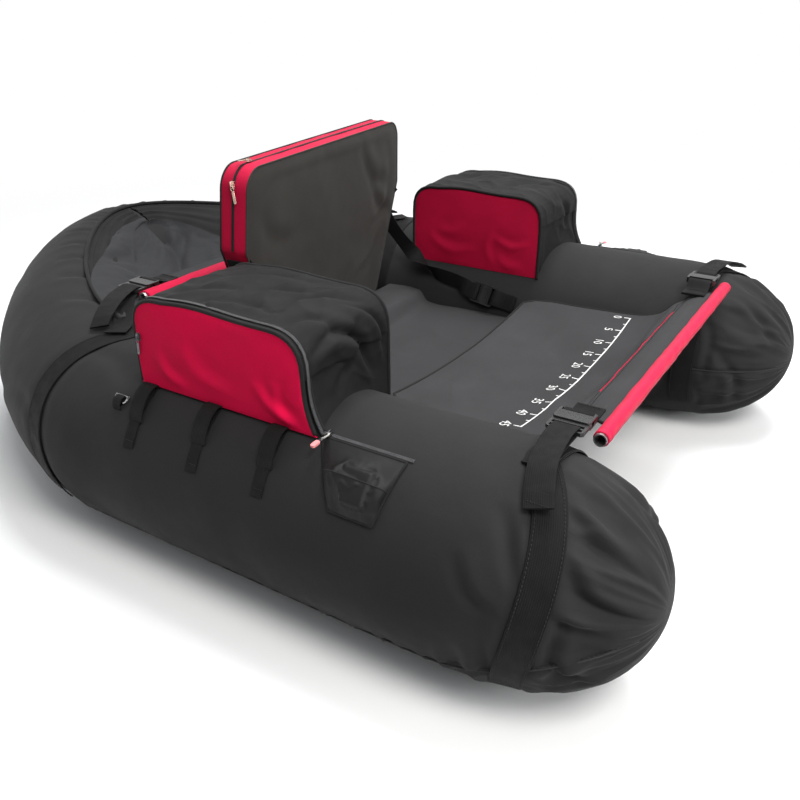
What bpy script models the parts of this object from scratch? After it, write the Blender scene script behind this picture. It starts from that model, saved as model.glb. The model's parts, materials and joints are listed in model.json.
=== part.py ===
"""Float tube: an inflatable fishing seat, open at the front, with a backrest, armrest bags and an apron.

The sitter faces -Y, so the right side is -X and the left side is +X. The tube rests on z = 0.
"""
import math

import bmesh
import bpy
from mathutils import Matrix, Vector

# General, in metres
CLEARANCE = 0.0003
OVERRUN = 0.004
STITCH_GAP = 0.0005
SMOOTH_ANGLE = math.radians(35)

# Hull: a U of tube, its spine straight along the pontoons and bent round the rear
SPINE_HALF_SPACING = 0.383
STRAIGHT_FRONT_Y = -0.475
STRAIGHT_REAR_Y = 0.086
BEND_DEPTH = 0.463
BEND_ROUND_TURN = math.radians(50)
BEND_APEX_Y = 0.548
BEND_POWER_SHARE = 1.27
TUBE_RADIUS = 0.144
SIDE_HEIGHT_SHARE = 0.971
REAR_HEIGHT_SHARE = 1.154
TIP_LENGTH = 0.217
TIP_POWER_SHARE = 2.4
TIP_ROW_SHARES = (0.965, 0.89, 0.78, 0.64, 0.51)
BEND_ROWS = 8
BEND_FIRST_STEP = math.radians(7)
BEND_CENTRE_Y = 0.250
SECTION_SIDES = 24
FLAT = math.cos(math.pi / SECTION_SIDES)
TUBE_MIDDLE_Z = TUBE_RADIUS * SIDE_HEIGHT_SHARE * FLAT
CREST_Z = 2 * TUBE_MIDDLE_Z
SHOULDER_ANGLE = math.radians(127.5)
COVER_WALL = 0.0015
BLADDER_WALL = 0.0010
BLADDER_GAP = 0.0014

# Webbing, sewn round the pontoons: which of the hull's rows carry it
FRONT_STRAP_ROWS = (5, 6, 7)
REAR_STRAP_ROWS = (10, 11, 12)
BLADDER_SKIPPED_ROWS = (1, 5, 6, 7, 9, 11)
WEBBING_WIDTH = 0.036
WEBBING_THICKNESS = 0.0016
FRONT_STRAP_Y = -0.538
REAR_STRAP_TURN = math.radians(4.6)
FRONT_STRAP_LEAN = 0.050
REAR_STRAP_LEAN = 0.040
STRAP_OPEN_SHARE = 0.16

# Valves, one on each pontoon's outer shoulder
VALVE_Y = -0.366
VALVE_ANGLE = math.radians(135)
VALVE_NECK_RADIUS = 0.013
VALVE_BORE_RADIUS = 0.009
VALVE_NECK_RISE = 0.007
VALVE_ROOT_DEPTH = 0.010
VALVE_HOLE_CLEARANCE = 0.0006
CAP_RADIUS = 0.015
CAP_THICKNESS = 0.003
CAP_PLUG_LENGTH = 0.006
POCKET_WALL = 0.0015
POCKET_RISE = 0.026
POCKET_REAR_Y = -0.300
POCKET_FRONT_Y = -0.412
POCKET_TOP_ANGLE = math.radians(117)
POCKET_FOOT_ANGLE = math.radians(148)
POCKET_FOOT_SHARES = (0.42, 0.92)
POCKET_ROWS = 6

# Spreader bars and their sleeves
BAR_RADIUS = 0.008
BAR_BORE_RADIUS = 0.0065
SLEEVE_WALL = 0.0012
FRONT_BAR_Y = -0.574
FRONT_BAR_DROP = 0.00626
FRONT_BAR_Z = CREST_Z - FRONT_BAR_DROP
FRONT_BAR_GAP = 0.078
FRONT_BAR_HALF = SPINE_HALF_SPACING - FRONT_BAR_GAP
REAR_BAR_Y = 0.170
REAR_BAR_RISE = 0.01774
REAR_BAR_Z = CREST_Z + REAR_BAR_RISE
REAR_BAR_GAP = 0.095
REAR_BAR_HALF = SPINE_HALF_SPACING - REAR_BAR_GAP
SLEEVE_HALF_SHORTER = 0.004
BAR_SIDES = 16
VALVE_SIDES = 16
HOLE_SIDES = 12
PIN_SIDES = 8

# Side-release buckles, in the frame of the socket's mouth: x is the way the clip draws out
BUCKLE_SIDE = 0.0045
SOCKET_LENGTH = 0.019
SOCKET_THICKNESS = 0.0094
SOCKET_WALL = 0.0020
SOCKET_CAVITY_DEPTH = 0.0165
SOCKET_WINDOW_LENGTH = 0.008
SOCKET_PIN_RADIUS = 0.0019
SOCKET_PIN_REACH = 0.0056
CLIP_LENGTH = 0.022
CLIP_PRONG_LENGTH = 0.0150
CLIP_PRONG_WIDTH = 0.0034
CLIP_GUIDE_WIDTH = 0.0040
CLIP_SLOT = 0.0048
CLIP_SLOT_START = 0.0062
CLIP_BAR = 0.0032
CLIP_CORNER = 0.0030
FRONT_MOUTH_INSET = 0.002
FRONT_MOUTH_X = FRONT_BAR_HALF - FRONT_MOUTH_INSET
REAR_MOUTH_INSET = 0.026
REAR_MOUTH_X = REAR_BAR_HALF - REAR_MOUTH_INSET
REAR_BUCKLE_BACK = 0.040
REAR_BUCKLE_Y = REAR_BAR_Y + REAR_BUCKLE_BACK
REAR_BUCKLE_RISE = 0.0055
REAR_BUCKLE_Z = REAR_BAR_Z + REAR_BUCKLE_RISE

# Webbing at the buckles, outboard from the socket's mouth: out, up, shift along the boat
FRONT_RUN = ((0.100, 0, 0), (0.060, 0, 0))
FRONT_TAIL = (
    (0.040, 0.0010, 0.000),
    (0.095, 0.0005, -0.008),
    (0.128, -0.0080, -0.018),
    (0.152, -0.0210, -0.028),
)
REAR_RUN = ((0.130, -0.0120, -0.096), (0.096, -0.0120, -0.074), (0.045, -0.0040, -0.020))
REAR_TAIL = (
    (0.045, 0.0010, -0.014),
    (0.080, 0.0000, -0.034),
    (0.112, -0.0060, -0.054),
    (0.132, -0.0160, -0.066),
)
LOOP_STEPS = 4
LOOP_REACH = 0.045
LOOP_MEET_SHARE = 0.45
REAR_LOOP_DROP = 0.0020
FRONT_LOOP_DROP = 0.0080
ANCHOR_LOOP_DROP = 0.0004

# Stripping apron, rows from the bar to the free edge: way back from the bar, drop below it, gap to its end
APRON_THICKNESS = 0.0020
APRON_ROWS = (
    (0.0098, 0.0010, 0.043),
    (0.0260, 0.0015, 0.047),
    (0.0490, 0.0150, 0.049),
    (0.0690, 0.0450, 0.055),
    (0.0890, 0.0630, 0.055),
    (0.1240, 0.0730, 0.055),
    (0.2040, 0.0780, 0.055),
    (0.2840, 0.0790, 0.056),
    (0.3120, 0.0790, 0.065),
    (0.3260, 0.0790, 0.087),
)
APRON_LEVEL_ROWS = 3
APRON_EDGE_RISE = 0.016
APRON_COLUMNS = 10

# Seat panel
SEAT_RISE = 0.0263
SEAT_TOP_Z = TUBE_MIDDLE_Z + SEAT_RISE
SEAT_THICKNESS = 0.0030
SEAT_SAG = 0.012
SEAT_SAGGING_YS = (-0.300, -0.120, -0.035)
SEAT_RAISED_YS = (-0.010, 0.060)
SEAT_COLUMNS = 8

# Rear cargo deck
DECK_THICKNESS = 0.0018
DECK_SAG = 0.030
DECK_COLUMNS = 10
DECK_SHOULDER_ANGLE = math.radians(52.5)
DECK_RIM_ANGLE = math.radians(82.5)
DECK_BAND_DROP = 0.0008
DECK_BAND_LENGTH = 0.056
DECK_BAND_INSETS = (0.026, 0.045)

# Backrest, in its own frame: u across, v up, t back from the front face
BACK_Y = 0.023
BACK_RISE = 0.019
BACK_Z = SEAT_TOP_Z + BACK_RISE
BACK_YAW = math.radians(8.9)
BACK_LEAN = math.radians(3.2)
BACK_THICKNESS = 0.042
BACK_CROWN = 0.005
BACK_FOOT_GAP = 0.054
BACK_BOTTOM_HALF = SPINE_HALF_SPACING - TUBE_RADIUS - BACK_FOOT_GAP
BACK_WIDEST_GAP = 0.117
BACK_WIDEST_HALF = SPINE_HALF_SPACING - BACK_WIDEST_GAP
BACK_WIDEST_V = 0.205
BACK_TOP_TAPER = 0.008
BACK_TOP_HALF = BACK_WIDEST_HALF - BACK_TOP_TAPER
BACK_TOP_V = 0.319
BACK_CORNER = 0.034
BACK_WALL = 0.0015
BACK_ZIP_WIDTH = 0.008
BACK_HINGE_LEAD = 0.001
BACK_CORNER_STEPS = 4
BACK_CROWN_SHARES = ((0.55, 1.0), (0.85, 0.6), (1.0, 0.0))
BELT_V = 0.178
BELT_WIDTH = 0.032
BELT_FRONT_SHARE = 0.15
BELT_FLAT_SHARE = 0.80

# Zip sliders
SLIDER_LENGTH = 0.012
SLIDER_WIDTH = 0.009
SLIDER_THICKNESS = 0.003
PULL_LENGTH = 0.030
PULL_WIDTH = 0.007
PULL_THICKNESS = 0.0016
SLIDER_TOP_INSET = 0.053
SLIDER_SIDE_DROP = 0.043

# Side straps of the backrest; the route is a way out from the tube's inner wall, y and a drop below the crest
SIDE_WEBBING_WIDTH = 0.030
SIDE_MOUTH_Y = -0.150
SIDE_MOUTH_RISE = 0.006
SIDE_WALL_ANGLE = math.radians(22.5)
SIDE_BUCKLE_DROP = math.radians(8)
SIDE_STRAP_ROUTE = (
    (0.011, -0.100, 0.0633),
    (0.017, -0.055, 0.0483),
    (0.023, -0.018, 0.0203),
)
SIDE_STRAP_DEPTH_SHARE = 0.45
SIDE_STRAP_ENDS = (-0.040, -0.013, 0.013)

# Armrest bags
BAG_INNER_REACH = 0.103
BAG_OUTER_REACH = 0.0725
BAG_INNER_X = SPINE_HALF_SPACING - BAG_INNER_REACH
BAG_OUTER_X = SPINE_HALF_SPACING + BAG_OUTER_REACH
BAG_FRONT_Y = -0.262
BAG_REAR_Y = 0.006
BAG_STAGGER = 0.016
BAG_RISE = 0.1047
BAG_TOP_Z = CREST_Z + BAG_RISE
BAG_SHOULDER_FALL = 0.052
BAG_SHOULDER_Z = BAG_TOP_Z - BAG_SHOULDER_FALL
BAG_CROWN = 0.005
BAG_CORNER = 0.055
BAG_WALL = 0.0016
BAG_CORNER_ROWS = 5
DOOR_THICKNESS = 0.0022
DOOR_INSET = 0.0005
ROD_TAB_WIDTH = 0.023
ROD_TAB_THICKNESS = 0.0024
ROD_TAB_TUCK = 0.006
ROD_TAB_SHARES = (0.13, 0.52, 0.93)
ROD_TAB_LAST_ANGLE = math.radians(150)
RING_TAB_SHARE = 1.06
RING_RADIUS = 0.011
RING_WIRE = 0.0016
RING_LIFT = 0.0048
RING_TAB_WIDTH = 0.014
RING_STEPS = 10
RING_SIDES = 6

# Colours
FABRIC_BLACK = (0.012, 0.012, 0.013)
FABRIC_GREY = (0.045, 0.046, 0.052)
FABRIC_RED = (0.45, 0.004, 0.035)
PLASTIC_BLACK = (0.01, 0.01, 0.01)
BLADDER_GREY = (0.25, 0.26, 0.28)
FOAM_GREY = (0.4, 0.4, 0.42)
METAL_GREY = (0.5, 0.5, 0.52)

UP = Vector((0, 0, 1))


class Shape:
    """Points and faces of one closed solid, gathered ring by ring."""

    def __init__(self):
        self.points = []
        self.faces = []

    def ring(self, points):
        first = len(self.points)
        self.points += [tuple(p) for p in points]
        return list(range(first, len(self.points)))

    def bridge(self, a, b, closed=True):
        count = len(a)
        for i in range(count if closed else count - 1):
            j = (i + 1) % count
            self.faces.append((a[i], a[j], b[j], b[i]))

    def fan(self, ring, point):
        tip = self.ring([point])[0]
        for i in range(len(ring)):
            self.faces.append((ring[i], ring[(i + 1) % len(ring)], tip))

    def cap(self, ring):
        self.faces.append(tuple(ring))


def clear_scene():
    for item in list(bpy.data.objects):
        bpy.data.objects.remove(item, do_unlink=True)


def finish_material(name, colour, roughness, metallic=0.0):
    material = bpy.data.materials.new(name)
    material.use_nodes = True
    shader = material.node_tree.nodes["Principled BSDF"]
    shader.inputs["Base Color"].default_value = (*colour, 1)
    shader.inputs["Roughness"].default_value = roughness
    shader.inputs["Metallic"].default_value = metallic
    return material


def add_object(name, shape, colour, roughness=0.8, metallic=0.0, origin=None, matrix=None):
    """Make the object; its origin goes to a moving piece's axis and its points stay in place."""
    mesh = bpy.data.meshes.new(name)
    points = [Vector(p) for p in shape.points]
    if matrix is not None:
        points = [matrix @ p for p in points]
    shift = Vector(origin) if origin is not None else Vector((0, 0, 0))
    mesh.from_pydata([p - shift for p in points], [], shape.faces)
    cleaned = bmesh.new()
    cleaned.from_mesh(mesh)
    bmesh.ops.recalc_face_normals(cleaned, faces=cleaned.faces)
    cleaned.to_mesh(mesh)
    cleaned.free()
    mesh.shade_smooth()
    mesh.set_sharp_from_angle(angle=SMOOTH_ANGLE)
    item = bpy.data.objects.new(name, mesh)
    item.location = shift
    bpy.context.scene.collection.objects.link(item)
    mesh.materials.append(finish_material(name, colour, roughness, metallic))
    return item


def combine(item, other, operation):
    """Cut, join or keep what is shared with another object, which stays hidden as a guide."""
    other.hide_render = True
    other.display_type = "WIRE"
    change = item.modifiers.new(other.name, "BOOLEAN")
    change.operation = operation
    change.solver = "EXACT"
    change.object = other


def cut(item, other):
    combine(item, other, "DIFFERENCE")


def join(item, other):
    combine(item, other, "UNION")


def shape_of(work):
    """Points and faces of a finished bmesh, which is then freed."""
    shape = Shape()
    shape.ring([v.co for v in work.verts])
    work.verts.index_update()
    shape.faces = [tuple(v.index for v in face.verts) for face in work.faces]
    work.free()
    return shape


def box_shape(low, high):
    low = Vector(low)
    high = Vector(high)
    work = bmesh.new()
    place = Matrix.Translation((low + high) / 2) @ Matrix.Diagonal((*(high - low), 1))
    bmesh.ops.create_cube(work, size=1, matrix=place)
    return shape_of(work)


def spun(profile, sides, closed):
    """A profile of (radius, height) points spun about z; an open one is capped at both ends."""
    work = bmesh.new()
    start = Matrix.Rotation(math.pi / sides, 4, "Z")
    corners = [work.verts.new(start @ Vector((radius, 0, height))) for radius, height in profile]
    edges = [work.edges.new(pair) for pair in zip(corners, corners[1:])]
    if closed:
        edges.append(work.edges.new((corners[-1], corners[0])))
    turn = {"cent": (0, 0, 0), "axis": (0, 0, 1), "angle": 2 * math.pi, "steps": sides, "use_merge": True}
    bmesh.ops.spin(work, geom=corners + edges, **turn)
    bmesh.ops.holes_fill(work, edges=[e for e in work.edges if e.is_boundary])
    return shape_of(work)


def turned(profile, sides):
    return spun(profile, sides, closed=False)


def pipe(outer, inner, low, high, sides):
    """An open pipe along z."""
    return spun(((outer, low), (outer, high), (inner, high), (inner, low)), sides, closed=True)


def sheet(low, high):
    """A solid between two grids of points, each a list of rows."""
    shape = Shape()
    under = [shape.ring(row) for row in low]
    over = [shape.ring(row) for row in high]
    for grid in (under, over):
        for a, b in zip(grid, grid[1:]):
            shape.bridge(a, b, closed=False)
    for column in (0, -1):
        shape.bridge([row[column] for row in under], [row[column] for row in over], closed=False)
    for row in (0, -1):
        shape.bridge(under[row], over[row], closed=False)
    return shape


def plate(outline, low, high):
    """A flat outline in x and y, extruded from one height to another."""
    work = bmesh.new()
    face = work.faces.new([work.verts.new((x, y, low)) for x, y in outline])
    raised = bmesh.ops.extrude_face_region(work, geom=[face], use_keep_orig=True)["geom"]
    corners = [item for item in raised if isinstance(item, bmesh.types.BMVert)]
    bmesh.ops.translate(work, verts=corners, vec=(0, 0, high - low))
    return shape_of(work)


def offset_path(path, distance):
    """Points beside a path in a plane, mitred at its corners; the left side is positive."""
    result = []
    for i, point in enumerate(path):
        before = Vector(path[max(i - 1, 0)][:2])
        here = Vector(point[:2])
        after = Vector(path[min(i + 1, len(path) - 1)][:2])
        a = (here - before).normalized() if i > 0 else (after - here).normalized()
        b = (after - here).normalized() if i < len(path) - 1 else a
        middle = (a + b).normalized()
        side = Vector((-middle.y, middle.x))
        result.append(here + side * distance / max(middle.dot(a), 0.3))
    return result


def strap(path, width, thickness):
    """Webbing along a path of (x, z, y shift) points, its width along y."""
    grids = []
    for distance in (-thickness / 2, thickness / 2):
        rows = []
        for (x, z), point in zip(offset_path(path, distance), path):
            shift = point[2] if len(point) > 2 else 0
            rows.append([(x, shift - width / 2, z), (x, shift + width / 2, z)])
        grids.append(rows)
    return sheet(grids[0], grids[1])


def ribbon(route, width, thickness):
    """Webbing along (point, way across) pairs in space; a way left out lies level along y and z."""
    low = []
    high = []
    for number, (point, across) in enumerate(route):
        before = route[max(number - 1, 0)][0]
        after = route[min(number + 1, len(route) - 1)][0]
        a = (point - before).normalized() if number else (after - point).normalized()
        b = (after - point).normalized() if number < len(route) - 1 else a
        middle = (a + b).normalized()
        wide = across or Vector((0, -middle.z, middle.y)).normalized()
        if wide.dot(route[0][1]) < 0:
            wide = -wide
        face = middle.cross(wide).normalized()
        stretch = thickness / 2 / max(middle.dot(a), 0.5)
        low.append([point + wide * s * width / 2 - face * stretch for s in (-1, 1)])
        high.append([point + wide * s * width / 2 + face * stretch for s in (-1, 1)])
    return sheet(low, high)


def side_name(side):
    return "left" if side > 0 else "right"


# Hull rows

def section_angles():
    """Corner angles of the tube's section: 0 is inboard, a quarter turn is up, and a flat is below."""
    step = 2 * math.pi / SECTION_SIDES
    return [-math.pi / 2 + (i + 0.5) * step for i in range(SECTION_SIDES)]


def tube_height_share(turn):
    rise = (REAR_HEIGHT_SHARE - SIDE_HEIGHT_SHARE) * math.sin(turn) ** 2
    return SIDE_HEIGHT_SHARE + rise


def tip_share(reach):
    return math.sqrt(max(1 - reach ** TIP_POWER_SHARE, 0))


def row(centre, along, half_width, half_height, centre_z, lean=0.0, tip=None):
    """One row of the hull: centre, way along the spine, half sizes and how far its outer side leans."""
    inboard = Vector((-along.y, along.x, 0))
    return (Vector((centre[0], centre[1], centre_z)), inboard, half_width, half_height, along, lean, tip)


def lean_share(angle):
    """How much of a row's lean a corner takes: none from the crest inboard, most on the outer shoulder."""
    share = (angle % (2 * math.pi) - math.pi / 2) / math.pi
    return hump(share)


def hump(share):
    """A smooth rise from 0 to 1 at a third of the way, and back to 0."""
    return 27 / 4 * share * (1 - share) ** 2 if 0 < share < 1 else 0.0


def tip_row(distance, inset):
    share = distance / TIP_LENGTH
    radius = (TUBE_RADIUS - inset) * tip_share(share)
    tall = (TUBE_RADIUS * SIDE_HEIGHT_SHARE - inset) * tip_share(share)
    y = STRAIGHT_FRONT_Y - share * (TIP_LENGTH - inset)
    centre_z = TUBE_MIDDLE_Z
    lean = -FRONT_STRAP_LEAN * hump(share)
    return row((SPINE_HALF_SPACING, y), Vector((0, 1, 0)), radius, tall, centre_z, lean, share)


def bend_place(turn):
    """Point and direction of the spine in the rear bend, from 0 at the side to a quarter turn at the rear."""
    power = BEND_POWER_SHARE
    side_turn = min(turn, BEND_ROUND_TURN)
    c = math.cos(side_turn)
    s = math.sin(side_turn)
    place = Vector((SPINE_HALF_SPACING * c ** power, STRAIGHT_REAR_Y + BEND_DEPTH * s ** power, 0))
    away = -SPINE_HALF_SPACING * c ** (power - 1) * s
    back = BEND_DEPTH * s ** (power - 1) * c
    along = Vector((away, back, 0)).normalized()
    if turn <= BEND_ROUND_TURN:
        return place, along
    share = (turn - BEND_ROUND_TURN) / (math.pi / 2 - BEND_ROUND_TURN)
    apex = Vector((0, BEND_APEX_Y, 0))
    guide = place + along * ((apex.y - place.y) / along.y)
    place, along = place.lerp(guide, share), (guide - place).lerp(apex - guide, share).normalized()
    return place.lerp(guide.lerp(apex, share), share), along


def bend_row(turn, inset, forward=0.0):
    place, along = bend_place(turn)
    share = math.sin(turn) ** 2
    inward = (Vector((0, BEND_CENTRE_Y, 0)) - place).normalized()
    inboard = (Vector((-along.y, along.x, 0)) * (1 - share) + inward * share).normalized()
    along = Vector((inboard.y, -inboard.x, 0))
    tall = TUBE_RADIUS * tube_height_share(turn)
    past = max(turn - REAR_STRAP_TURN, 0) / (BEND_ROUND_TURN - REAR_STRAP_TURN)
    lean = REAR_STRAP_LEAN * max(1 - past, 0) ** 2
    return row(place + along * forward, along, TUBE_RADIUS - inset, tall - inset, tall * FLAT, lean)


def hull_rows(inset):
    """Rows of the left half of the hull, from the tip to the middle of the rear."""
    strap_reach = STRAIGHT_FRONT_Y - FRONT_STRAP_Y
    reaches = [TIP_LENGTH * share for share in TIP_ROW_SHARES]
    reaches += [strap_reach + WEBBING_WIDTH / 2, strap_reach, strap_reach - WEBBING_WIDTH / 2, 0]
    rows = [tip_row(reach, inset) for reach in reaches]
    tall = TUBE_RADIUS * SIDE_HEIGHT_SHARE
    last_straight = (SPINE_HALF_SPACING, STRAIGHT_REAR_Y - WEBBING_WIDTH)
    rows.append(row(last_straight, Vector((0, 1, 0)), TUBE_RADIUS - inset, tall - inset, tall * FLAT))
    for forward in (-WEBBING_WIDTH / 2, 0, WEBBING_WIDTH / 2):
        rows.append(bend_row(REAR_STRAP_TURN, inset, forward))
    first = REAR_STRAP_TURN + BEND_FIRST_STEP
    for i in range(BEND_ROWS):
        share = i / (BEND_ROWS - 1)
        rows.append(bend_row(first + (math.pi / 2 - first) * share, inset))
    return rows


def ring_points(hull_row, side, shift=0.0, leaning=True):
    """Corner points of a row, for the left side (1) or mirrored to the right side (-1)."""
    centre, inboard, half_width, half_height, along, lean, tip = hull_row
    points = []
    for angle in section_angles():
        reach = lean * lean_share(angle) if leaning else 0
        size = 1 if tip is None else tip_share(tip - reach / TIP_LENGTH) / tip_share(tip)
        point = centre + along * (shift + reach)
        point += inboard * (half_width * size * math.cos(angle)) + UP * (half_height * size * math.sin(angle))
        points.append(Vector((side * point.x, point.y, point.z)))
    return points


def tip_point(side, inset):
    y = STRAIGHT_FRONT_Y - TIP_LENGTH + inset
    return (side * SPINE_HALF_SPACING, y, TUBE_MIDDLE_Z)


def hull_corner(index, y, side, outset=0.0):
    """A corner of the straight pontoon's section."""
    angle = section_angles()[index]
    x = SPINE_HALF_SPACING - (TUBE_RADIUS + outset) * math.cos(angle)
    tall = TUBE_RADIUS * SIDE_HEIGHT_SHARE
    z = TUBE_MIDDLE_Z + (tall + outset) * math.sin(angle)
    return Vector((side * x, y, z))


def corner_index(angle):
    step = 2 * math.pi / SECTION_SIDES
    return round((angle + math.pi / 2) / step - 0.5)


def hull_surface(angle, y, side, outset=0.0):
    """A point on the straight pontoon's faceted skin at any angle round its section."""
    step = 2 * math.pi / SECTION_SIDES
    place = (angle + math.pi / 2) / step - 0.5
    first = math.floor(place + 1e-9)
    share = place - first
    a = hull_corner(first % SECTION_SIDES, y, side, outset)
    b = hull_corner((first + 1) % SECTION_SIDES, y, side, outset)
    return a.lerp(b, share)


def facet_out(angle, side):
    """The way out of the pontoon's facet at an angle round its section."""
    step = 2 * math.pi / SECTION_SIDES
    first = math.floor((angle + math.pi / 2) / step - 0.5)
    edge = hull_corner(first + 1, 0, side) - hull_corner(first, 0, side)
    return Vector((edge.z, 0, -edge.x)).normalized() * -side


def hull_height_at(x, outset):
    """Height of the pontoon's upper skin at a distance x from the middle of the boat."""
    upper = [hull_corner(i, 0, 1, outset) for i in range(SECTION_SIDES)]
    upper = sorted((c for c in upper if c.z > TUBE_MIDDLE_Z), key=lambda c: c.x)
    for a, b in zip(upper, upper[1:]):
        if a.x <= x <= b.x:
            return a.lerp(b, (x - a.x) / (b.x - a.x)).z
    return upper[0].z


def hull_wall_x(z, outset):
    """Distance from the middle of the boat to the pontoon's inner wall at a height above its middle."""
    inner = [hull_corner(i, 0, 1, outset) for i in range(SECTION_SIDES)]
    inner = sorted((c for c in inner if c.x < SPINE_HALF_SPACING), key=lambda c: c.z)
    for a, b in zip(inner, inner[1:]):
        if a.z <= z <= b.z:
            return a.lerp(b, (z - a.z) / (b.z - a.z)).x
    return inner[-1].x


# Hull pieces

def shell(outer, inner, tips=None):
    """A tube of fabric between outer and inner rings, with a pole at the first end if tips are given."""
    shape = Shape()
    ends = []
    for number, rings in enumerate((outer, inner)):
        loops = [shape.ring(points) for points in rings]
        for a, b in zip(loops, loops[1:]):
            shape.bridge(a, b)
        if tips:
            shape.fan(loops[0], tips[number])
        ends.append((loops[0], loops[-1]))
    if not tips:
        shape.bridge(ends[0][0], ends[1][0])
    shape.bridge(ends[0][1], ends[1][1])
    return shape


def closed_form(rings, tip):
    """A solid from its pole to a flat end."""
    shape = Shape()
    loops = [shape.ring(points) for points in rings]
    for a, b in zip(loops, loops[1:]):
        shape.bridge(a, b)
    shape.fan(loops[0], tip)
    shape.cap(loops[-1])
    return shape


def side_cover(side):
    last = REAR_STRAP_ROWS[1]
    rings = []
    for inset in (0, COVER_WALL):
        rows = hull_rows(inset)[:last + 1]
        points = [ring_points(r, side) for r in rows[:-1]]
        points.append(ring_points(rows[-1], side, -CLEARANCE / 2))
        rings.append(points)
    tips = [tip_point(side, inset) for inset in (0, COVER_WALL)]
    item = add_object(side_name(side) + "_cover", shell(rings[0], rings[1], tips), FABRIC_BLACK)
    hole = VALVE_NECK_RADIUS + VALVE_HOLE_CLEARANCE
    tool = turned(((hole, -VALVE_ROOT_DEPTH - OVERRUN), (hole, VALVE_NECK_RISE)), HOLE_SIDES)
    cutter = add_object(side_name(side) + "_valve_hole", tool, FABRIC_BLACK, matrix=valve_frame(side))
    cut(item, cutter)
    join(item, ring_tab(side))
    return item


def rear_cover():
    first = REAR_STRAP_ROWS[1]
    rings = []
    for inset in (0, COVER_WALL):
        rows = hull_rows(inset)[first:]
        left = [ring_points(rows[0], 1, CLEARANCE / 2)] + [ring_points(r, 1) for r in rows[1:]]
        right = [ring_points(rows[0], -1, CLEARANCE / 2)] + [ring_points(r, -1) for r in rows[1:-1]]
        rings.append(left + right[::-1])
    return add_object("rear_cover", shell(rings[0], rings[1]), FABRIC_BLACK)


def valve_frame(side):
    """Frame on the cover where the valve stands, z pointing out of the tube."""
    place = hull_surface(VALVE_ANGLE, VALVE_Y, side)
    out = facet_out(VALVE_ANGLE, side)
    along = Vector((0, 1, 0))
    across = along.cross(out)
    frame = Matrix((across, along, out)).transposed().to_4x4()
    frame.translation = place
    return frame


def bladder(side):
    """One air chamber: half of the U, with its valve neck welded on."""
    forms = []
    for depth in (0, BLADDER_WALL):
        inset = COVER_WALL + BLADDER_GAP + depth
        rows = hull_rows(inset)
        rows = [r for i, r in enumerate(rows) if i not in BLADDER_SKIPPED_ROWS]
        points = [ring_points(r, side, leaning=r[-1] is None)[::2] for r in rows[:-1]]
        points.append(ring_points(rows[-1], side, -CLEARANCE / 2 - depth)[::2])
        forms.append(closed_form(points, tip_point(side, inset)))
    item = add_object(side_name(side) + "_bladder", forms[0], BLADDER_GREY, 0.5)
    cut(item, add_object(side_name(side) + "_air", forms[1], BLADDER_GREY))
    frame = valve_frame(side)
    root = -COVER_WALL - BLADDER_WALL - VALVE_ROOT_DEPTH
    neck = turned(((VALVE_NECK_RADIUS, root), (VALVE_NECK_RADIUS, VALVE_NECK_RISE)), VALVE_SIDES)
    join(item, add_object(side_name(side) + "_neck", neck, BLADDER_GREY, matrix=frame))
    through = ((VALVE_BORE_RADIUS, root - OVERRUN), (VALVE_BORE_RADIUS, VALVE_NECK_RISE + OVERRUN))
    bore = turned(through, VALVE_SIDES)
    cut(item, add_object(side_name(side) + "_bore", bore, BLADDER_GREY, matrix=frame))
    return item


def valve_cap(side):
    seat = VALVE_NECK_RISE + CLEARANCE
    plug = VALVE_BORE_RADIUS - STITCH_GAP
    top = seat + CAP_THICKNESS
    shape = turned(((plug, seat - CAP_PLUG_LENGTH), (plug, seat), (CAP_RADIUS, seat), (CAP_RADIUS, top)), VALVE_SIDES)
    frame = valve_frame(side)
    name = side_name(side) + "_valve_cap"
    return add_object(name, shape, PLASTIC_BLACK, 0.5, origin=frame.translation, matrix=frame)


def pocket_angles():
    """Angles from the pocket's top edge to its foot, with the hull's corners and the middles between."""
    corners = [a for a in section_angles() if POCKET_TOP_ANGLE < a < POCKET_FOOT_ANGLE]
    knots = [POCKET_TOP_ANGLE] + corners + [POCKET_FOOT_ANGLE]
    angles = [knots[0]]
    for a, b in zip(knots, knots[1:]):
        angles += [(a + b) / 2, b]
    return angles


def pocket_grid(side, outset, swell):
    """Points of the valve pocket's cloth over the pontoon's outer shoulder."""
    rows = []
    for i in range(POCKET_ROWS + 1):
        u = i / POCKET_ROWS
        y_top = POCKET_REAR_Y + (POCKET_FRONT_Y - POCKET_REAR_Y) * u
        foot = POCKET_FOOT_SHARES[0] + (POCKET_FOOT_SHARES[1] - POCKET_FOOT_SHARES[0]) * u
        y_foot = POCKET_REAR_Y + (POCKET_FRONT_Y - POCKET_REAR_Y) * foot
        line = []
        for angle in pocket_angles():
            v = (angle - POCKET_TOP_ANGLE) / (POCKET_FOOT_ANGLE - POCKET_TOP_ANGLE)
            y = y_top + (y_foot - y_top) * v
            bulge = (16 * u * (1 - u) * v * (1 - v)) ** 0.4
            line.append(hull_surface(angle, y, side, outset + swell * bulge))
        rows.append(line)
    return rows


def valve_pocket(side):
    low = pocket_grid(side, CLEARANCE + STITCH_GAP, POCKET_RISE)
    high = pocket_grid(side, CLEARANCE + STITCH_GAP + POCKET_WALL, POCKET_RISE)
    return add_object(side_name(side) + "_valve_pocket", sheet(low, high), FABRIC_BLACK)


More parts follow.
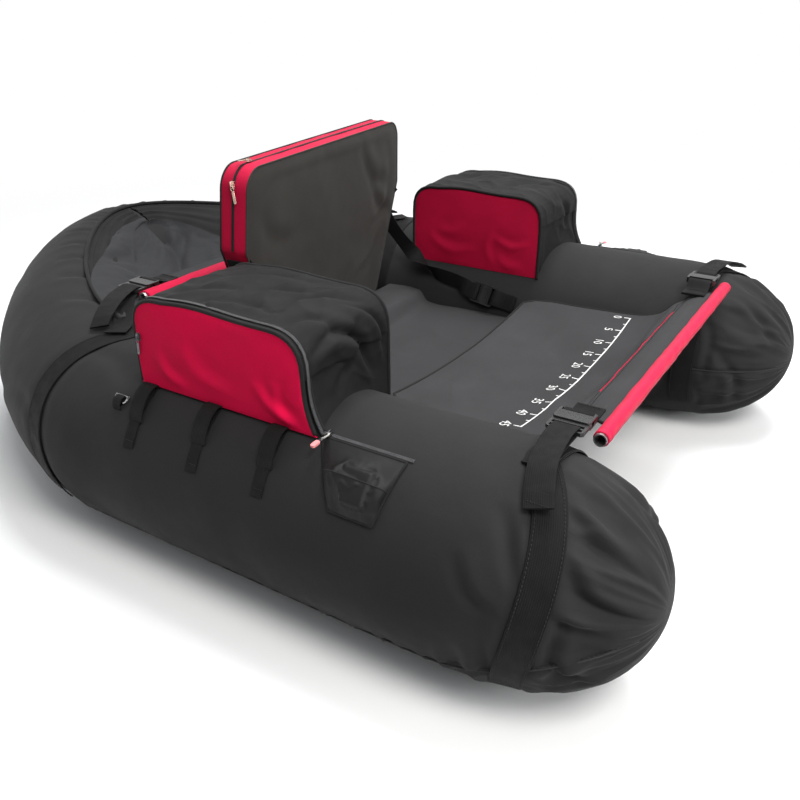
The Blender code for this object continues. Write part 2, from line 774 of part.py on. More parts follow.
def girth_strap(side, rows, name):
    """Webbing sewn round the pontoon, from its outer foot over the top to its inner side."""
    count = SECTION_SIDES
    first = round(count * STRAP_OPEN_SHARE)
    last = round(count * (1 - STRAP_OPEN_SHARE))
    grids = []
    for outset in (CLEARANCE, CLEARANCE + WEBBING_THICKNESS):
        hull = hull_rows(-outset)
        lines = [ring_points(hull[i], side) for i in rows]
        grids.append([[line[k] for line in lines] for k in range(first, last + 1)])
    return add_object(f"{name}_{side_name(side)}_girth_strap", sheet(grids[0], grids[1]), FABRIC_BLACK)


# Bars and buckles

def bar_frame(y, z):
    frame = Matrix.Rotation(math.pi / 2, 4, "Y")
    frame.translation = (0, y, z)
    return frame


def spreader_bar(name, y, z, half):
    frame = bar_frame(y, z)
    bar = pipe(BAR_RADIUS, BAR_BORE_RADIUS, -half, half, BAR_SIDES)
    add_object(name + "_bar", bar, METAL_GREY, 0.4, 1.0, matrix=frame)
    inner = BAR_RADIUS + CLEARANCE
    reach = half - SLEEVE_HALF_SHORTER
    sleeve = pipe(inner + SLEEVE_WALL, inner, -reach, reach, BAR_SIDES)
    add_object(name + "_bar_sleeve", sleeve, FABRIC_RED, matrix=frame)


def socket_pin_x():
    return -SOCKET_LENGTH - SOCKET_PIN_REACH


def buckle_socket(name, webbing, frame, origin=None):
    """Female half: a flat hollow box with side windows, and a round pin that its webbing turns on."""
    half = webbing / 2 + BUCKLE_SIDE
    tall = SOCKET_THICKNESS / 2
    corner = CLIP_CORNER
    pin = socket_pin_x()
    outline = [(0, -half + corner), (0, half - corner), (-corner, half), (pin, half)]
    outline.append((pin - SOCKET_PIN_RADIUS, half - corner))
    outline += [(x, -y) for x, y in reversed(outline[2:])]
    body = add_object(name, plate(outline, -tall, tall), PLASTIC_BLACK, 0.45, origin=origin, matrix=frame)
    side = half - SOCKET_WALL
    inner = tall - SOCKET_WALL
    cavity = box_shape((-SOCKET_CAVITY_DEPTH, -side, -inner), (OVERRUN, side, inner))
    cut(body, add_object(name + "_cavity", cavity, PLASTIC_BLACK, matrix=frame))
    start = -SOCKET_CAVITY_DEPTH + SOCKET_WALL
    window = box_shape((start, -half - OVERRUN, -inner), (start + SOCKET_WINDOW_LENGTH, half + OVERRUN, inner))
    cut(body, add_object(name + "_windows", window, PLASTIC_BLACK, matrix=frame))
    eye = webbing / 2 + STITCH_GAP * 2
    slot = box_shape((pin - SOCKET_PIN_REACH, -eye, -tall - OVERRUN), (-SOCKET_LENGTH, eye, tall + OVERRUN))
    cut(body, add_object(name + "_slot", slot, PLASTIC_BLACK, matrix=frame))
    turn = frame @ Matrix.Translation((pin, 0, 0)) @ Matrix.Rotation(math.pi / 2, 4, "X")
    rod = turned(((SOCKET_PIN_RADIUS, -half + CLIP_CORNER), (SOCKET_PIN_RADIUS, half - CLIP_CORNER)), PIN_SIDES)
    join(body, add_object(name + "_pin", rod, PLASTIC_BLACK, matrix=turn))
    return body


def buckle_clip(name, webbing, frame):
    """Male half: two prongs and a guide ahead of a ladder of bars that holds the webbing."""
    half = webbing / 2 + BUCKLE_SIDE
    tall = SOCKET_THICKNESS / 2 - SOCKET_WALL - CLEARANCE
    outer = half - SOCKET_WALL - CLEARANCE
    inner = outer - CLIP_PRONG_WIDTH
    guide = CLIP_GUIDE_WIDTH / 2
    shoulder = CLEARANCE
    outline = [
        (CLIP_LENGTH, half - CLIP_CORNER),
        (CLIP_LENGTH - CLIP_CORNER, half),
        (shoulder, half),
        (shoulder, outer - CLIP_PRONG_WIDTH / 4),
        (-CLIP_PRONG_LENGTH / 2, outer - CLIP_PRONG_WIDTH / 3),
        (-CLIP_PRONG_LENGTH * 0.6, outer),
        (-CLIP_PRONG_LENGTH * 0.85, outer),
        (-CLIP_PRONG_LENGTH, outer - CLIP_PRONG_WIDTH / 2),
        (-CLIP_PRONG_LENGTH, inner),
        (shoulder, inner - CLIP_PRONG_WIDTH / 3),
        (shoulder, guide),
        (-CLIP_PRONG_LENGTH * 0.8, guide),
        (-CLIP_PRONG_LENGTH * 0.9, guide / 2),
    ]
    outline += [(x, -y) for x, y in reversed(outline)]
    shape = plate(outline, -tall, tall)
    body = add_object(name, shape, PLASTIC_BLACK, 0.45, origin=frame.translation, matrix=frame)
    eye = webbing / 2 + STITCH_GAP * 2
    for number in range(2):
        start = CLIP_SLOT_START + number * (CLIP_SLOT + CLIP_BAR)
        slot = box_shape((start, -eye, -tall - OVERRUN), (start + CLIP_SLOT, eye, tall + OVERRUN))
        cut(body, add_object(f"{name}_slot_{number}", slot, PLASTIC_BLACK, matrix=frame))
    return body


def crest_height():
    """Top of the front girth strap on the pontoon's crest, at its higher edge."""
    hull = hull_rows(-CLEARANCE - WEBBING_THICKNESS)[FRONT_STRAP_ROWS[-1]]
    return hull[0].z + hull[3] * FLAT


def front_buckle_z():
    return crest_height() + CLEARANCE + WEBBING_THICKNESS + STITCH_GAP + clip_half_thickness()


def clip_half_thickness():
    return SOCKET_THICKNESS / 2 - SOCKET_WALL - CLEARANCE


def buckle_frame(side, mouth_x, y, z):
    """Frame at the socket's mouth, x pointing outboard."""
    frame = Matrix.Rotation(0 if side > 0 else math.pi, 4, "Z")
    frame.translation = (side * mouth_x, y, z)
    return frame


def web_turn():
    """Distance from the clip's middle to the middle of the webbing that folds round it."""
    return clip_half_thickness() + STITCH_GAP + WEBBING_THICKNESS / 2


def adjuster(name, frame, side, run, tail):
    """Webbing that runs from the crest under the clip, up through its slot and back as the hanging tail."""
    turn = web_turn()
    fold = CLIP_SLOT_START + CLIP_SLOT / 2
    path = [(x, -turn + z, side * y) for x, z, y in run]
    path += [(fold + WEBBING_THICKNESS * 2, -turn, 0), (fold, -turn, 0), (fold, turn, 0)]
    path += [(fold + WEBBING_THICKNESS * 2, turn, 0)]
    path += [(x, turn + z, side * y) for x, z, y in tail]
    shape = strap(path, WEBBING_WIDTH, WEBBING_THICKNESS)
    return add_object(name, shape, FABRIC_BLACK, origin=frame.translation, matrix=frame)


def socket_loop(name, frame, webbing, reach, drop, origin=None):
    """Doubled webbing round the socket's pin, its two plies sewn down inboard."""
    radius = SOCKET_PIN_RADIUS + STITCH_GAP + WEBBING_THICKNESS / 2
    pin = socket_pin_x()
    ply = WEBBING_THICKNESS + CLEARANCE
    meet = pin - reach * LOOP_MEET_SHARE
    path = [(pin - reach, -radius - drop), (meet, -radius - drop), (pin - radius, -radius)]
    for i in range(LOOP_STEPS + 1):
        angle = -math.pi / 2 + math.pi * i / LOOP_STEPS
        path.append((pin + radius * math.cos(angle), radius * math.sin(angle)))
    path += [(pin - radius, radius), (meet, -radius - drop + ply), (pin - reach, -radius - drop + ply)]
    return add_object(name, strap(path, webbing, WEBBING_THICKNESS), FABRIC_BLACK, origin=origin, matrix=frame)


def bar_buckles():
    for side in (1, -1):
        for name, mouth_x, y, z in (
            ("front", FRONT_MOUTH_X, FRONT_STRAP_Y, front_buckle_z()),
            ("rear", REAR_MOUTH_X, REAR_BUCKLE_Y, REAR_BUCKLE_Z),
        ):
            frame = buckle_frame(side, mouth_x, y, z)
            label = f"{name}_{side_name(side)}"
            buckle_socket(label + "_buckle_socket", WEBBING_WIDTH, frame)
            buckle_clip(label + "_buckle_clip", WEBBING_WIDTH, frame)
            front = name == "front"
            run, tail = (FRONT_RUN, FRONT_TAIL) if front else (REAR_RUN, REAR_TAIL)
            adjuster(label + "_adjuster", frame, side, run, tail)
            drop = FRONT_LOOP_DROP if front else REAR_LOOP_DROP
            socket_loop(label + "_socket_loop", frame, WEBBING_WIDTH, LOOP_REACH, drop)


# Cloth panels

def apron():
    grids = []
    for lift in (-APRON_THICKNESS, 0):
        rows = []
        for number, (back, drop, gap) in enumerate(APRON_ROWS):
            edge_rise = APRON_EDGE_RISE if number >= APRON_LEVEL_ROWS else 0
            line = []
            for k in range(APRON_COLUMNS + 1):
                share = 2 * k / APRON_COLUMNS - 1
                z = FRONT_BAR_Z - drop + edge_rise * share ** 2 + lift
                line.append((share * (FRONT_BAR_HALF - gap), FRONT_BAR_Y + back, z))
            rows.append(line)
        grids.append(rows)
    return add_object("apron", sheet(grids[0], grids[1]), FABRIC_GREY)


def seat_panel():
    raised = BACK_Z - CLEARANCE
    stations = [(y, SEAT_TOP_Z, SEAT_SAG) for y in SEAT_SAGGING_YS] + [(y, raised, 0) for y in SEAT_RAISED_YS]
    grids = []
    for lift in (-SEAT_THICKNESS, 0):
        rows = []
        for y, top, depth in stations:
            half = hull_wall_x(top - SEAT_THICKNESS, CLEARANCE + STITCH_GAP)
            line = []
            for k in range(SEAT_COLUMNS + 1):
                share = 2 * k / SEAT_COLUMNS - 1
                line.append((share * half, y, top + lift - depth * (1 - share ** 2)))
            rows.append(line)
        grids.append(rows)
    return add_object("seat_panel", sheet(grids[0], grids[1]), FABRIC_GREY)


def cargo_deck():
    """Deck of the rear hold: from the rear bar to the tube's inner shoulder all round, sagging."""
    outset = CLEARANCE + STITCH_GAP
    shoulder = corner_index(DECK_SHOULDER_ANGLE)
    rim = corner_index(DECK_RIM_ANGLE)
    sleeve = BAR_RADIUS + CLEARANCE + SLEEVE_WALL
    grids = []
    for lift in (0, DECK_THICKNESS):
        rings = [ring_points(r, 1)[shoulder:rim + 1] for r in hull_rows(-outset - lift)[:-1]]
        band_ys = (REAR_BAR_Y + sleeve + CLEARANCE, REAR_BAR_Y + DECK_BAND_LENGTH)
        rings = [ring for ring in rings if ring[0].y > band_ys[-1]]
        margin = len(rings[0]) - 1
        rows = []
        for inset, y in zip(DECK_BAND_INSETS, band_ys):
            columns = DECK_COLUMNS + 2 * margin
            shares = [2 * k / columns - 1 for k in range(columns + 1)]
            level = REAR_BAR_Z - DECK_BAND_DROP - DECK_THICKNESS + lift
            rows.append([(share * (REAR_BAR_HALF - inset), y, level) for share in shares])
        for number, ring in enumerate(rings):
            corner = ring[0]
            depth = DECK_SAG * math.sin(math.pi * (number + 1) / len(rings))
            middle = []
            for k in range(1, DECK_COLUMNS):
                share = 2 * k / DECK_COLUMNS - 1
                middle.append((share * corner.x, corner.y, corner.z - depth * (1 - share ** 2)))
            right = [(-p.x, p.y, p.z) for p in reversed(ring)]
            rows.append(right + middle + [tuple(p) for p in ring])
        grids.append(rows)
    return add_object("cargo_deck", sheet(grids[0], grids[1]), FABRIC_GREY)


# Backrest

def back_hinge():
    """Middle of the fold line, just ahead of the backrest's foremost foot corner."""
    return Vector((0, BACK_Y - BACK_BOTTOM_HALF * math.sin(BACK_YAW) - BACK_HINGE_LEAD, BACK_Z))


def back_frame():
    frame = Matrix.Rotation(BACK_YAW, 4, "Z") @ Matrix.Rotation(BACK_LEAN, 4, "X")
    frame.translation = (0, BACK_Y, BACK_Z)
    return frame


def back_outline(inset=0.0):
    """Outline in u and v, with rounded top corners, drawn in by an inset."""
    half = [
        (BACK_BOTTOM_HALF - inset, inset),
        (BACK_WIDEST_HALF - inset, BACK_WIDEST_V),
    ]
    corner = BACK_CORNER - inset
    centre = (BACK_TOP_HALF - BACK_CORNER, BACK_TOP_V - BACK_CORNER)
    for i in range(BACK_CORNER_STEPS + 1):
        angle = math.pi / 2 * i / BACK_CORNER_STEPS
        half.append((centre[0] + corner * math.cos(angle), centre[1] + corner * math.sin(angle)))
    return half + [(-u, v) for u, v in reversed(half)]


def cushion(outline, front, back, crown):
    """A flat cushion: straight sides and crowned faces, in the backrest's frame (u, t, v)."""
    shape = Shape()
    middle_v = sum(v for u, v in outline) / len(outline)

    def loop(scale, t):
        return shape.ring([(u * scale, t, middle_v + (v - middle_v) * scale) for u, v in outline])

    rings = [loop(size, front - crown * height) for size, height in BACK_CROWN_SHARES]
    rings += [loop(size, back + crown * height) for size, height in reversed(BACK_CROWN_SHARES)]
    for a, b in zip(rings, rings[1:]):
        shape.bridge(a, b)
    shape.cap(rings[0])
    shape.cap(rings[-1])
    return shape


def zip_path(drop, end_gap):
    """Middle line of the backrest's zip: up one side, over the top and down the other side."""
    points = [Vector(p) for p in back_outline(drop)[1:-1]]
    points[0] += (points[1] - points[0]).normalized() * end_gap
    points[-1] += (points[-2] - points[-1]).normalized() * end_gap
    return points


def zip_band(low, high, half_width, end_gap):
    """A band in the gusset that follows the outline, between two depths of inset."""
    inner = zip_path(low, end_gap)
    outer = zip_path(high, end_gap)
    middle = BACK_THICKNESS / 2
    grids = []
    for points in (inner, outer):
        grids.append([[(u, middle - half_width, v), (u, middle + half_width, v)] for u, v in points])
    return sheet(grids[0], grids[1])


def backrest():
    frame = back_frame()
    hinge = back_hinge()
    cover = add_object("backrest_cover", cushion(back_outline(), 0, BACK_THICKNESS, BACK_CROWN),
                       FABRIC_BLACK, origin=hinge, matrix=frame)
    hollow = cushion(back_outline(BACK_WALL), BACK_WALL, BACK_THICKNESS - BACK_WALL, BACK_CROWN)
    cut(cover, add_object("backrest_hollow", hollow, FABRIC_BLACK, matrix=frame))
    slit = zip_band(BACK_WALL * 3, -OVERRUN, BACK_ZIP_WIDTH / 2, 0)
    cut(cover, add_object("backrest_slit", slit, FABRIC_BLACK, matrix=frame))
    inset = BACK_WALL + CLEARANCE * 2
    pad = cushion(back_outline(inset), inset, BACK_THICKNESS - inset, BACK_CROWN)
    add_object("backrest_pad", pad, FOAM_GREY, 0.9, origin=hinge, matrix=frame)
    chain = zip_band(BACK_WALL, 0, BACK_ZIP_WIDTH / 2 - CLEARANCE, CLEARANCE)
    add_object("backrest_zip", chain, FABRIC_BLACK, 0.6, origin=hinge, matrix=frame)


def side_at(v):
    """Half the backrest's width at a height below its widest."""
    return BACK_BOTTOM_HALF + (BACK_WIDEST_HALF - BACK_BOTTOM_HALF) * v / BACK_WIDEST_V


def belt():
    """Webbing round the backrest's sides and back."""
    half_up = BELT_WIDTH / 2
    grids = []
    for outset in (CLEARANCE, CLEARANCE + WEBBING_THICKNESS):
        columns = []
        for v in (BELT_V - half_up, BELT_V + half_up):
            half = side_at(v) + outset
            rear = BACK_THICKNESS + BACK_CROWN + outset
            edge = BACK_THICKNESS + outset
            inner = half * BELT_FLAT_SHARE
            front = BACK_THICKNESS * BELT_FRONT_SHARE
            columns.append([(half, front, v), (half, edge, v), (inner, rear, v),
                            (-inner, rear, v), (-half, edge, v), (-half, front, v)])
        grids.append([[a, b] for a, b in zip(columns[0], columns[1])])
    shape = sheet(grids[0], grids[1])
    add_object("backrest_belt", shape, FABRIC_BLACK, origin=back_hinge(), matrix=back_frame())


def zip_slider(name, frame):
    """A zip's slider on z = 0 with its pull lying along x, in one solid."""
    wide = SLIDER_WIDTH / 2
    reach = SLIDER_LENGTH / 2
    outline = [(-reach, -wide * 0.6), (reach * 0.4, -wide), (reach, -wide * 0.8)]
    outline += [(x, -y) for x, y in reversed(outline)]
    body = plate(outline, 0, SLIDER_THICKNESS)
    item = add_object(name, body, METAL_GREY, 0.4, 1.0, origin=frame.translation, matrix=frame)
    half = PULL_WIDTH / 2
    start = SLIDER_LENGTH / 4
    end = SLIDER_LENGTH / 2 + PULL_LENGTH
    top = SLIDER_THICKNESS - CLEARANCE
    pull = [(start, -half / 2), (start + half, -half), (end - half, -half), (end, -half / 2)]
    pull += [(x, -y) for x, y in reversed(pull)]
    shape = plate(pull, top - PULL_THICKNESS, top)
    join(item, add_object(name + "_pull", shape, METAL_GREY, matrix=frame))
    return item


def frame_from(origin, x_axis, z_axis):
    x_axis = Vector(x_axis).normalized()
    z_axis = (Vector(z_axis) - x_axis * Vector(z_axis).dot(x_axis)).normalized()
    y_axis = z_axis.cross(x_axis)
    frame = Matrix((x_axis, y_axis, z_axis)).transposed().to_4x4()
    frame.translation = Vector(origin)
    return frame


def back_side_direction():
    """Way down the backrest's right side, from its corner to its widest point."""
    top = Vector((-BACK_TOP_HALF, 0, BACK_TOP_V - BACK_CORNER))
    wide = Vector((-BACK_WIDEST_HALF, 0, BACK_WIDEST_V))
    return top, (wide - top).normalized()


def backrest_sliders():
    base = back_frame()
    middle = BACK_THICKNESS / 2
    turn = base.to_3x3()
    top = base @ Vector((SLIDER_TOP_INSET - BACK_TOP_HALF, middle, BACK_TOP_V + CLEARANCE))
    zip_slider("backrest_top_slider", frame_from(top, turn @ Vector((1, 0, 0)), turn @ Vector((0, 0, 1))))
    corner, down = back_side_direction()
    out = Vector((down.z, 0, -down.x))
    place = corner + down * (SLIDER_SIDE_DROP - BACK_CORNER) + Vector((0, middle, 0)) + out * CLEARANCE
    zip_slider("backrest_side_slider", frame_from(base @ place, turn @ down, turn @ out))


# Side straps of the backrest

def side_buckle_frame(side):
    """Mouth of the side buckle: x points back and up along the strap, z faces away from the wall."""
    out = Vector((-side * math.cos(SIDE_WALL_ANGLE), 0, math.sin(SIDE_WALL_ANGLE)))
    up = Vector((side * math.sin(SIDE_WALL_ANGLE), 0, math.cos(SIDE_WALL_ANGLE)))
    along = Vector((0, math.cos(SIDE_BUCKLE_DROP), 0)) + up * math.sin(SIDE_BUCKLE_DROP)
    wall = hull_corner(corner_index(SIDE_WALL_ANGLE), SIDE_MOUTH_Y, side)
    origin = wall + out * (SOCKET_THICKNESS / 2 + STITCH_GAP) + up * SIDE_MOUTH_RISE
    return frame_from(origin, along, out)


def side_strap(side):
    frame = side_buckle_frame(side)
    label = f"backrest_{side_name(side)}"
    buckle_socket(label + "_socket", SIDE_WEBBING_WIDTH, frame, frame.translation)
    buckle_clip(label + "_clip", SIDE_WEBBING_WIDTH, frame)
    turn = web_turn()
    fold = CLIP_SLOT_START + CLIP_SLOT / 2
    out = CLIP_LENGTH + CLIP_SLOT
    turns = ((fold + CLIP_SLOT * 3, -turn), (fold, -turn), (fold, turn), (out, turn))
    across = frame.to_3x3() @ Vector((0, 1, 0))
    route = [(frame @ Vector((x, 0, z)), across) for x, z in turns]
    for way_out, y, drop in SIDE_STRAP_ROUTE:
        x = SPINE_HALF_SPACING - TUBE_RADIUS + way_out
        route.append((Vector((side * x, y, CREST_Z - drop)), None))
    back = back_frame()
    depth = back.to_3x3() @ Vector((0, 1, 0))
    level = Vector((0, depth.y, depth.z)).normalized()
    off_belt = 2 * CLEARANCE + WEBBING_THICKNESS * 1.5
    for up in SIDE_STRAP_ENDS:
        half = side * (side_at(BELT_V + up) + CLEARANCE + off_belt)
        edges = [back @ Vector((half, t, BELT_V + up)) for t in (0, BACK_THICKNESS)]
        place = back @ Vector((half, BACK_THICKNESS * SIDE_STRAP_DEPTH_SHARE, BELT_V + up))
        place.x = side * max(abs(edge.x) for edge in edges)
        route.append((place, level))
    shape = ribbon(route, SIDE_WEBBING_WIDTH, WEBBING_THICKNESS)
    add_object(label + "_strap", shape, FABRIC_BLACK)
    socket_loop(label + "_anchor", frame, SIDE_WEBBING_WIDTH, LOOP_REACH, ANCHOR_LOOP_DROP, frame.translation)


# Armrest bags

def bag_top(share, length, crown):
    """Height of the bag's top at a share of its length, with rounded ends."""
    reach = BAG_CORNER / length
    near_end = min(share, 1 - share)
    rise = crown * math.sin(math.pi * share)
    if near_end >= reach:
        return BAG_TOP_Z + rise
    fall = 1 - near_end / reach
    return BAG_SHOULDER_Z + (BAG_TOP_Z - BAG_SHOULDER_Z) * math.sqrt(max(1 - fall ** 2, 0)) + rise


def bag_shares(length):
    """Shares of the bag's length where its rows lie, closer together round its ends."""
    reach = BAG_CORNER / length
    ends = []
    for i in range(BAG_CORNER_ROWS):
        angle = math.pi / 2 * i / BAG_CORNER_ROWS
        ends.append(reach * (1 - math.cos(angle)))
    return ends + [reach, 0.5, 1 - reach] + [1 - e for e in reversed(ends)]


def bag_floor_xs(low, high, outset):
    inner = [c.x for c in (hull_corner(i, 0, 1, outset) for i in range(SECTION_SIDES)) if low < c.x < high and
             c.z > TUBE_RADIUS]
    return [low] + sorted(inner) + [high]


def bag_block(side, shift, x_low, x_high, inset, outset):
    """Solid of the bag's outer form, or of its hollow when drawn in by an inset."""
    length = BAG_REAR_Y - BAG_FRONT_Y
    xs = bag_floor_xs(x_low, x_high, outset)
    shape = Shape()
    rings = []
    for share in bag_shares(length):
        y = BAG_FRONT_Y + inset + share * (length - 2 * inset) + shift
        top = bag_top(share, length, BAG_CROWN) - inset
        floor = [(side * x, y, hull_height_at(x, outset)) for x in xs]
        rings.append(shape.ring(floor + [(side * x_high, y, top), (side * x_low, y, top)]))
    for a, b in zip(rings, rings[1:]):
        shape.bridge(a, b)
    shape.cap(rings[0])
    shape.cap(rings[-1])
    return shape


def bag_shift(side):
    return side * BAG_STAGGER


def hull_tab(side, y, width, outset, thickness, last_index):
    """A tab that hangs down the pontoon's outer side from under the bag's edge."""
    start = BAG_OUTER_X - DOOR_THICKNESS - ROD_TAB_TUCK
    grids = []
    for level in (outset, outset + thickness):
        rows = [[(side * start, y + s * width / 2, hull_height_at(start, level)) for s in (-1, 1)]]
        for index in range(corner_index(SHOULDER_ANGLE), last_index + 1):
            corner = hull_corner(index, y, side, level)
            rows.append([(corner.x, y + s * width / 2, corner.z) for s in (-1, 1)])
        grids.append(rows)
    return sheet(grids[0], grids[1])


def armrest_bag(side):
    shift = bag_shift(side)
    name = side_name(side)
    rim = BAG_OUTER_X - DOOR_THICKNESS - CLEARANCE
    floor = CLEARANCE + STITCH_GAP
    body = add_object(name + "_bag_shell", bag_block(side, shift, BAG_INNER_X, rim, 0, floor), FABRIC_BLACK)
    hollow = bag_block(side, shift, BAG_INNER_X + BAG_WALL, rim + OVERRUN, BAG_WALL, floor + BAG_WALL)
    cut(body, add_object(name + "_bag_hollow", hollow, FABRIC_BLACK))
    length = BAG_REAR_Y - BAG_FRONT_Y
    for number, share in enumerate(ROD_TAB_SHARES):
        y = BAG_FRONT_Y + share * length + shift
        last = corner_index(ROD_TAB_LAST_ANGLE)
        tab = hull_tab(side, y, ROD_TAB_WIDTH, floor + STITCH_GAP / 2, ROD_TAB_THICKNESS, last)
        join(body, add_object(f"{name}_rod_tab_{number}", tab, FABRIC_BLACK))
    return body


def door_hinge(side):
    """Foot line of the door, at its outer face."""
    skin = hull_height_at(BAG_OUTER_X - DOOR_THICKNESS, CLEARANCE + STITCH_GAP)
    return Vector((side * BAG_OUTER_X, 0, skin + ROD_TAB_THICKNESS + 3 * STITCH_GAP))


def bag_door(side):
    """Red outer panel, which folds down about its foot when its zip is open."""
    shift = bag_shift(side)
    length = BAG_REAR_Y - BAG_FRONT_Y
    hinge = door_hinge(side)
    shape = Shape()
    rings = []
    for x in (BAG_OUTER_X - DOOR_THICKNESS, BAG_OUTER_X):
        points = []
        for share in bag_shares(length):
            y = BAG_FRONT_Y + DOOR_INSET + share * (length - 2 * DOOR_INSET) + shift
            points.append((side * x, y, bag_top(share, length, BAG_CROWN) - DOOR_INSET))
        foot = [(side * x, points[-1][1], hinge.z), (side * x, points[0][1], hinge.z)]
        rings.append(shape.ring(points + foot))
    shape.bridge(rings[0], rings[1])
    shape.cap(rings[0])
    shape.cap(rings[1])
    return add_object(side_name(side) + "_bag_door", shape, FABRIC_RED, origin=hinge)


def bag_slider(side):
    """Slider on the zip that runs up the rear edge of the door."""
    y = BAG_REAR_Y + bag_shift(side) - SLIDER_WIDTH
    x = side * (BAG_OUTER_X + CLEARANCE)
    frame = frame_from((x, y, BAG_SHOULDER_Z), (0, 0, -1), (side, 0, 0))
    return zip_slider(side_name(side) + "_bag_slider", frame)


def pocket_slider(side):
    """Slider at the rear end of the zip above the valve pocket."""
    angle = POCKET_TOP_ANGLE - (SLIDER_WIDTH / 2 + STITCH_GAP) / TUBE_RADIUS
    place = hull_surface(angle, POCKET_REAR_Y - SLIDER_LENGTH, side, CLEARANCE)
    frame = frame_from(place, (0, -1, 0), facet_out(angle, side))
    return zip_slider(side_name(side) + "_pocket_slider", frame)


def ring_shape():
    """A D of round wire: a straight bar and a bow, in the x, y plane."""
    route = []
    for i in range(RING_STEPS + 1):
        angle = -math.pi / 2 + math.pi * i / RING_STEPS
        route.append(Vector((RING_RADIUS * math.cos(angle), RING_RADIUS * math.sin(angle), 0)))
    route.append(Vector((0, RING_RADIUS / 2, 0)))
    route.append(Vector((0, -RING_RADIUS / 2, 0)))
    shape = Shape()
    rings = []
    count = len(route)
    for i, point in enumerate(route):
        along = (route[(i + 1) % count] - route[i - 1]).normalized()
        side = Vector((-along.y, along.x, 0))
        points = []
        for k in range(RING_SIDES):
            angle = 2 * math.pi * k / RING_SIDES
            points.append(point + (side * math.cos(angle) + UP * math.sin(angle)) * RING_WIRE)
        rings.append(shape.ring(points))
    for i in range(count):
        shape.bridge(rings[i], rings[(i + 1) % count])
    return shape


def ring_frame(side):
    """Frame of a D-ring: its straight bar along y, its bow hanging down the pontoon's outer side."""
    index = corner_index(SHOULDER_ANGLE)
    length = BAG_REAR_Y - BAG_FRONT_Y
    y = BAG_FRONT_Y + RING_TAB_SHARE * length + bag_shift(side)
    a = hull_corner(index, y, side)
    b = hull_corner(index + 1, y, side)
    down = (b - a).normalized()
    frame = frame_from(a, down, facet_out(VALVE_ANGLE, side))
    frame.translation = a + frame.to_3x3() @ Vector((RING_RADIUS / 2, 0, RING_LIFT))
    return frame


def ring_tab(side):
    """Webbing arch over the ring's straight bar, both ends sunk in the cover it is sewn to."""
    radius = RING_WIRE + STITCH_GAP + WEBBING_THICKNESS / 2
    root = -RING_LIFT - COVER_WALL / 2
    path = [(-radius, root), (-radius, 0), (-radius * 0.6, radius * 0.8), (0, radius)]
    path += [(-x, z) for x, z in reversed(path[:-1])]
    shape = strap(path, RING_TAB_WIDTH, WEBBING_THICKNESS)
    return add_object(side_name(side) + "_ring_tab", shape, FABRIC_BLACK, matrix=ring_frame(side))


def d_ring(side):
    frame = ring_frame(side)
    name = side_name(side) + "_d_ring"
    return add_object(name, ring_shape(), METAL_GREY, 0.3, 1.0, origin=frame.translation, matrix=frame)


def build():
    clear_scene()
    for side in (1, -1):
        side_cover(side)
        bladder(side)
        valve_cap(side)
        valve_pocket(side)
        pocket_slider(side)
        girth_strap(side, FRONT_STRAP_ROWS, "front")
        girth_strap(side, REAR_STRAP_ROWS, "rear")
        side_strap(side)
        armrest_bag(side)
        bag_door(side)
        bag_slider(side)
        d_ring(side)
    rear_cover()
    spreader_bar("front", FRONT_BAR_Y, FRONT_BAR_Z, FRONT_BAR_HALF)
    spreader_bar("rear", REAR_BAR_Y, REAR_BAR_Z, REAR_BAR_HALF)
    bar_buckles()
    apron()
    seat_panel()
    cargo_deck()
    backrest()
    belt()
    backrest_sliders()


build()
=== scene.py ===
"""Looks of the float tube: covers, bags, backrest, webbing and panels dressed in sewn cloth round the fixed frame.

The sitter faces -Y, so the right side is -X and the left side is +X. All lengths are in metres.
"""
import json
import math

import bpy
import numpy as np
from mathutils import Matrix, Vector, noise

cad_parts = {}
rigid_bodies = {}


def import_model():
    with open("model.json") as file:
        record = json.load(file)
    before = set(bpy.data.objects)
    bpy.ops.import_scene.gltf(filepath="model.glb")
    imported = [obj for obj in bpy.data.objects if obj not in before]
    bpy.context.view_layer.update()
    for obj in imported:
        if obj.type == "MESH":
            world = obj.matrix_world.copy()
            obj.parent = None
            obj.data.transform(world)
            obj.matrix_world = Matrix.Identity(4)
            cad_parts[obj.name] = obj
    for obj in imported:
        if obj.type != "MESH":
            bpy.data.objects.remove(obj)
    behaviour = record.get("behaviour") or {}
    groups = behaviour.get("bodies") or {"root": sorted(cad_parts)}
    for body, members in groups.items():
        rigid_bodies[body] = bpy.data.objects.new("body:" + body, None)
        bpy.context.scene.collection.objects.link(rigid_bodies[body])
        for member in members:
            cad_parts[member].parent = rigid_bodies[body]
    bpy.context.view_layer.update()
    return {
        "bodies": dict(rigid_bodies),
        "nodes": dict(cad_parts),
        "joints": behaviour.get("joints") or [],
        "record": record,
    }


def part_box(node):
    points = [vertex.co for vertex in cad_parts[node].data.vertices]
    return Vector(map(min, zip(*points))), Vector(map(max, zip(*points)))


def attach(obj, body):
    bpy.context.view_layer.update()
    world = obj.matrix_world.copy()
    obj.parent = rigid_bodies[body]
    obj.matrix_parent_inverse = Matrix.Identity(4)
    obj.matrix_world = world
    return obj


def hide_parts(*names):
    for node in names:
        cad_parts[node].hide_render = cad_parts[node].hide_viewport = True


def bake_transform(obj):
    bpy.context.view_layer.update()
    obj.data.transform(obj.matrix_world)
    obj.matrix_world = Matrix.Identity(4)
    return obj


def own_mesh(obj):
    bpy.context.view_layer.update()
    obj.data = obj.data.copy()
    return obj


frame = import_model()
nodes = frame["nodes"]

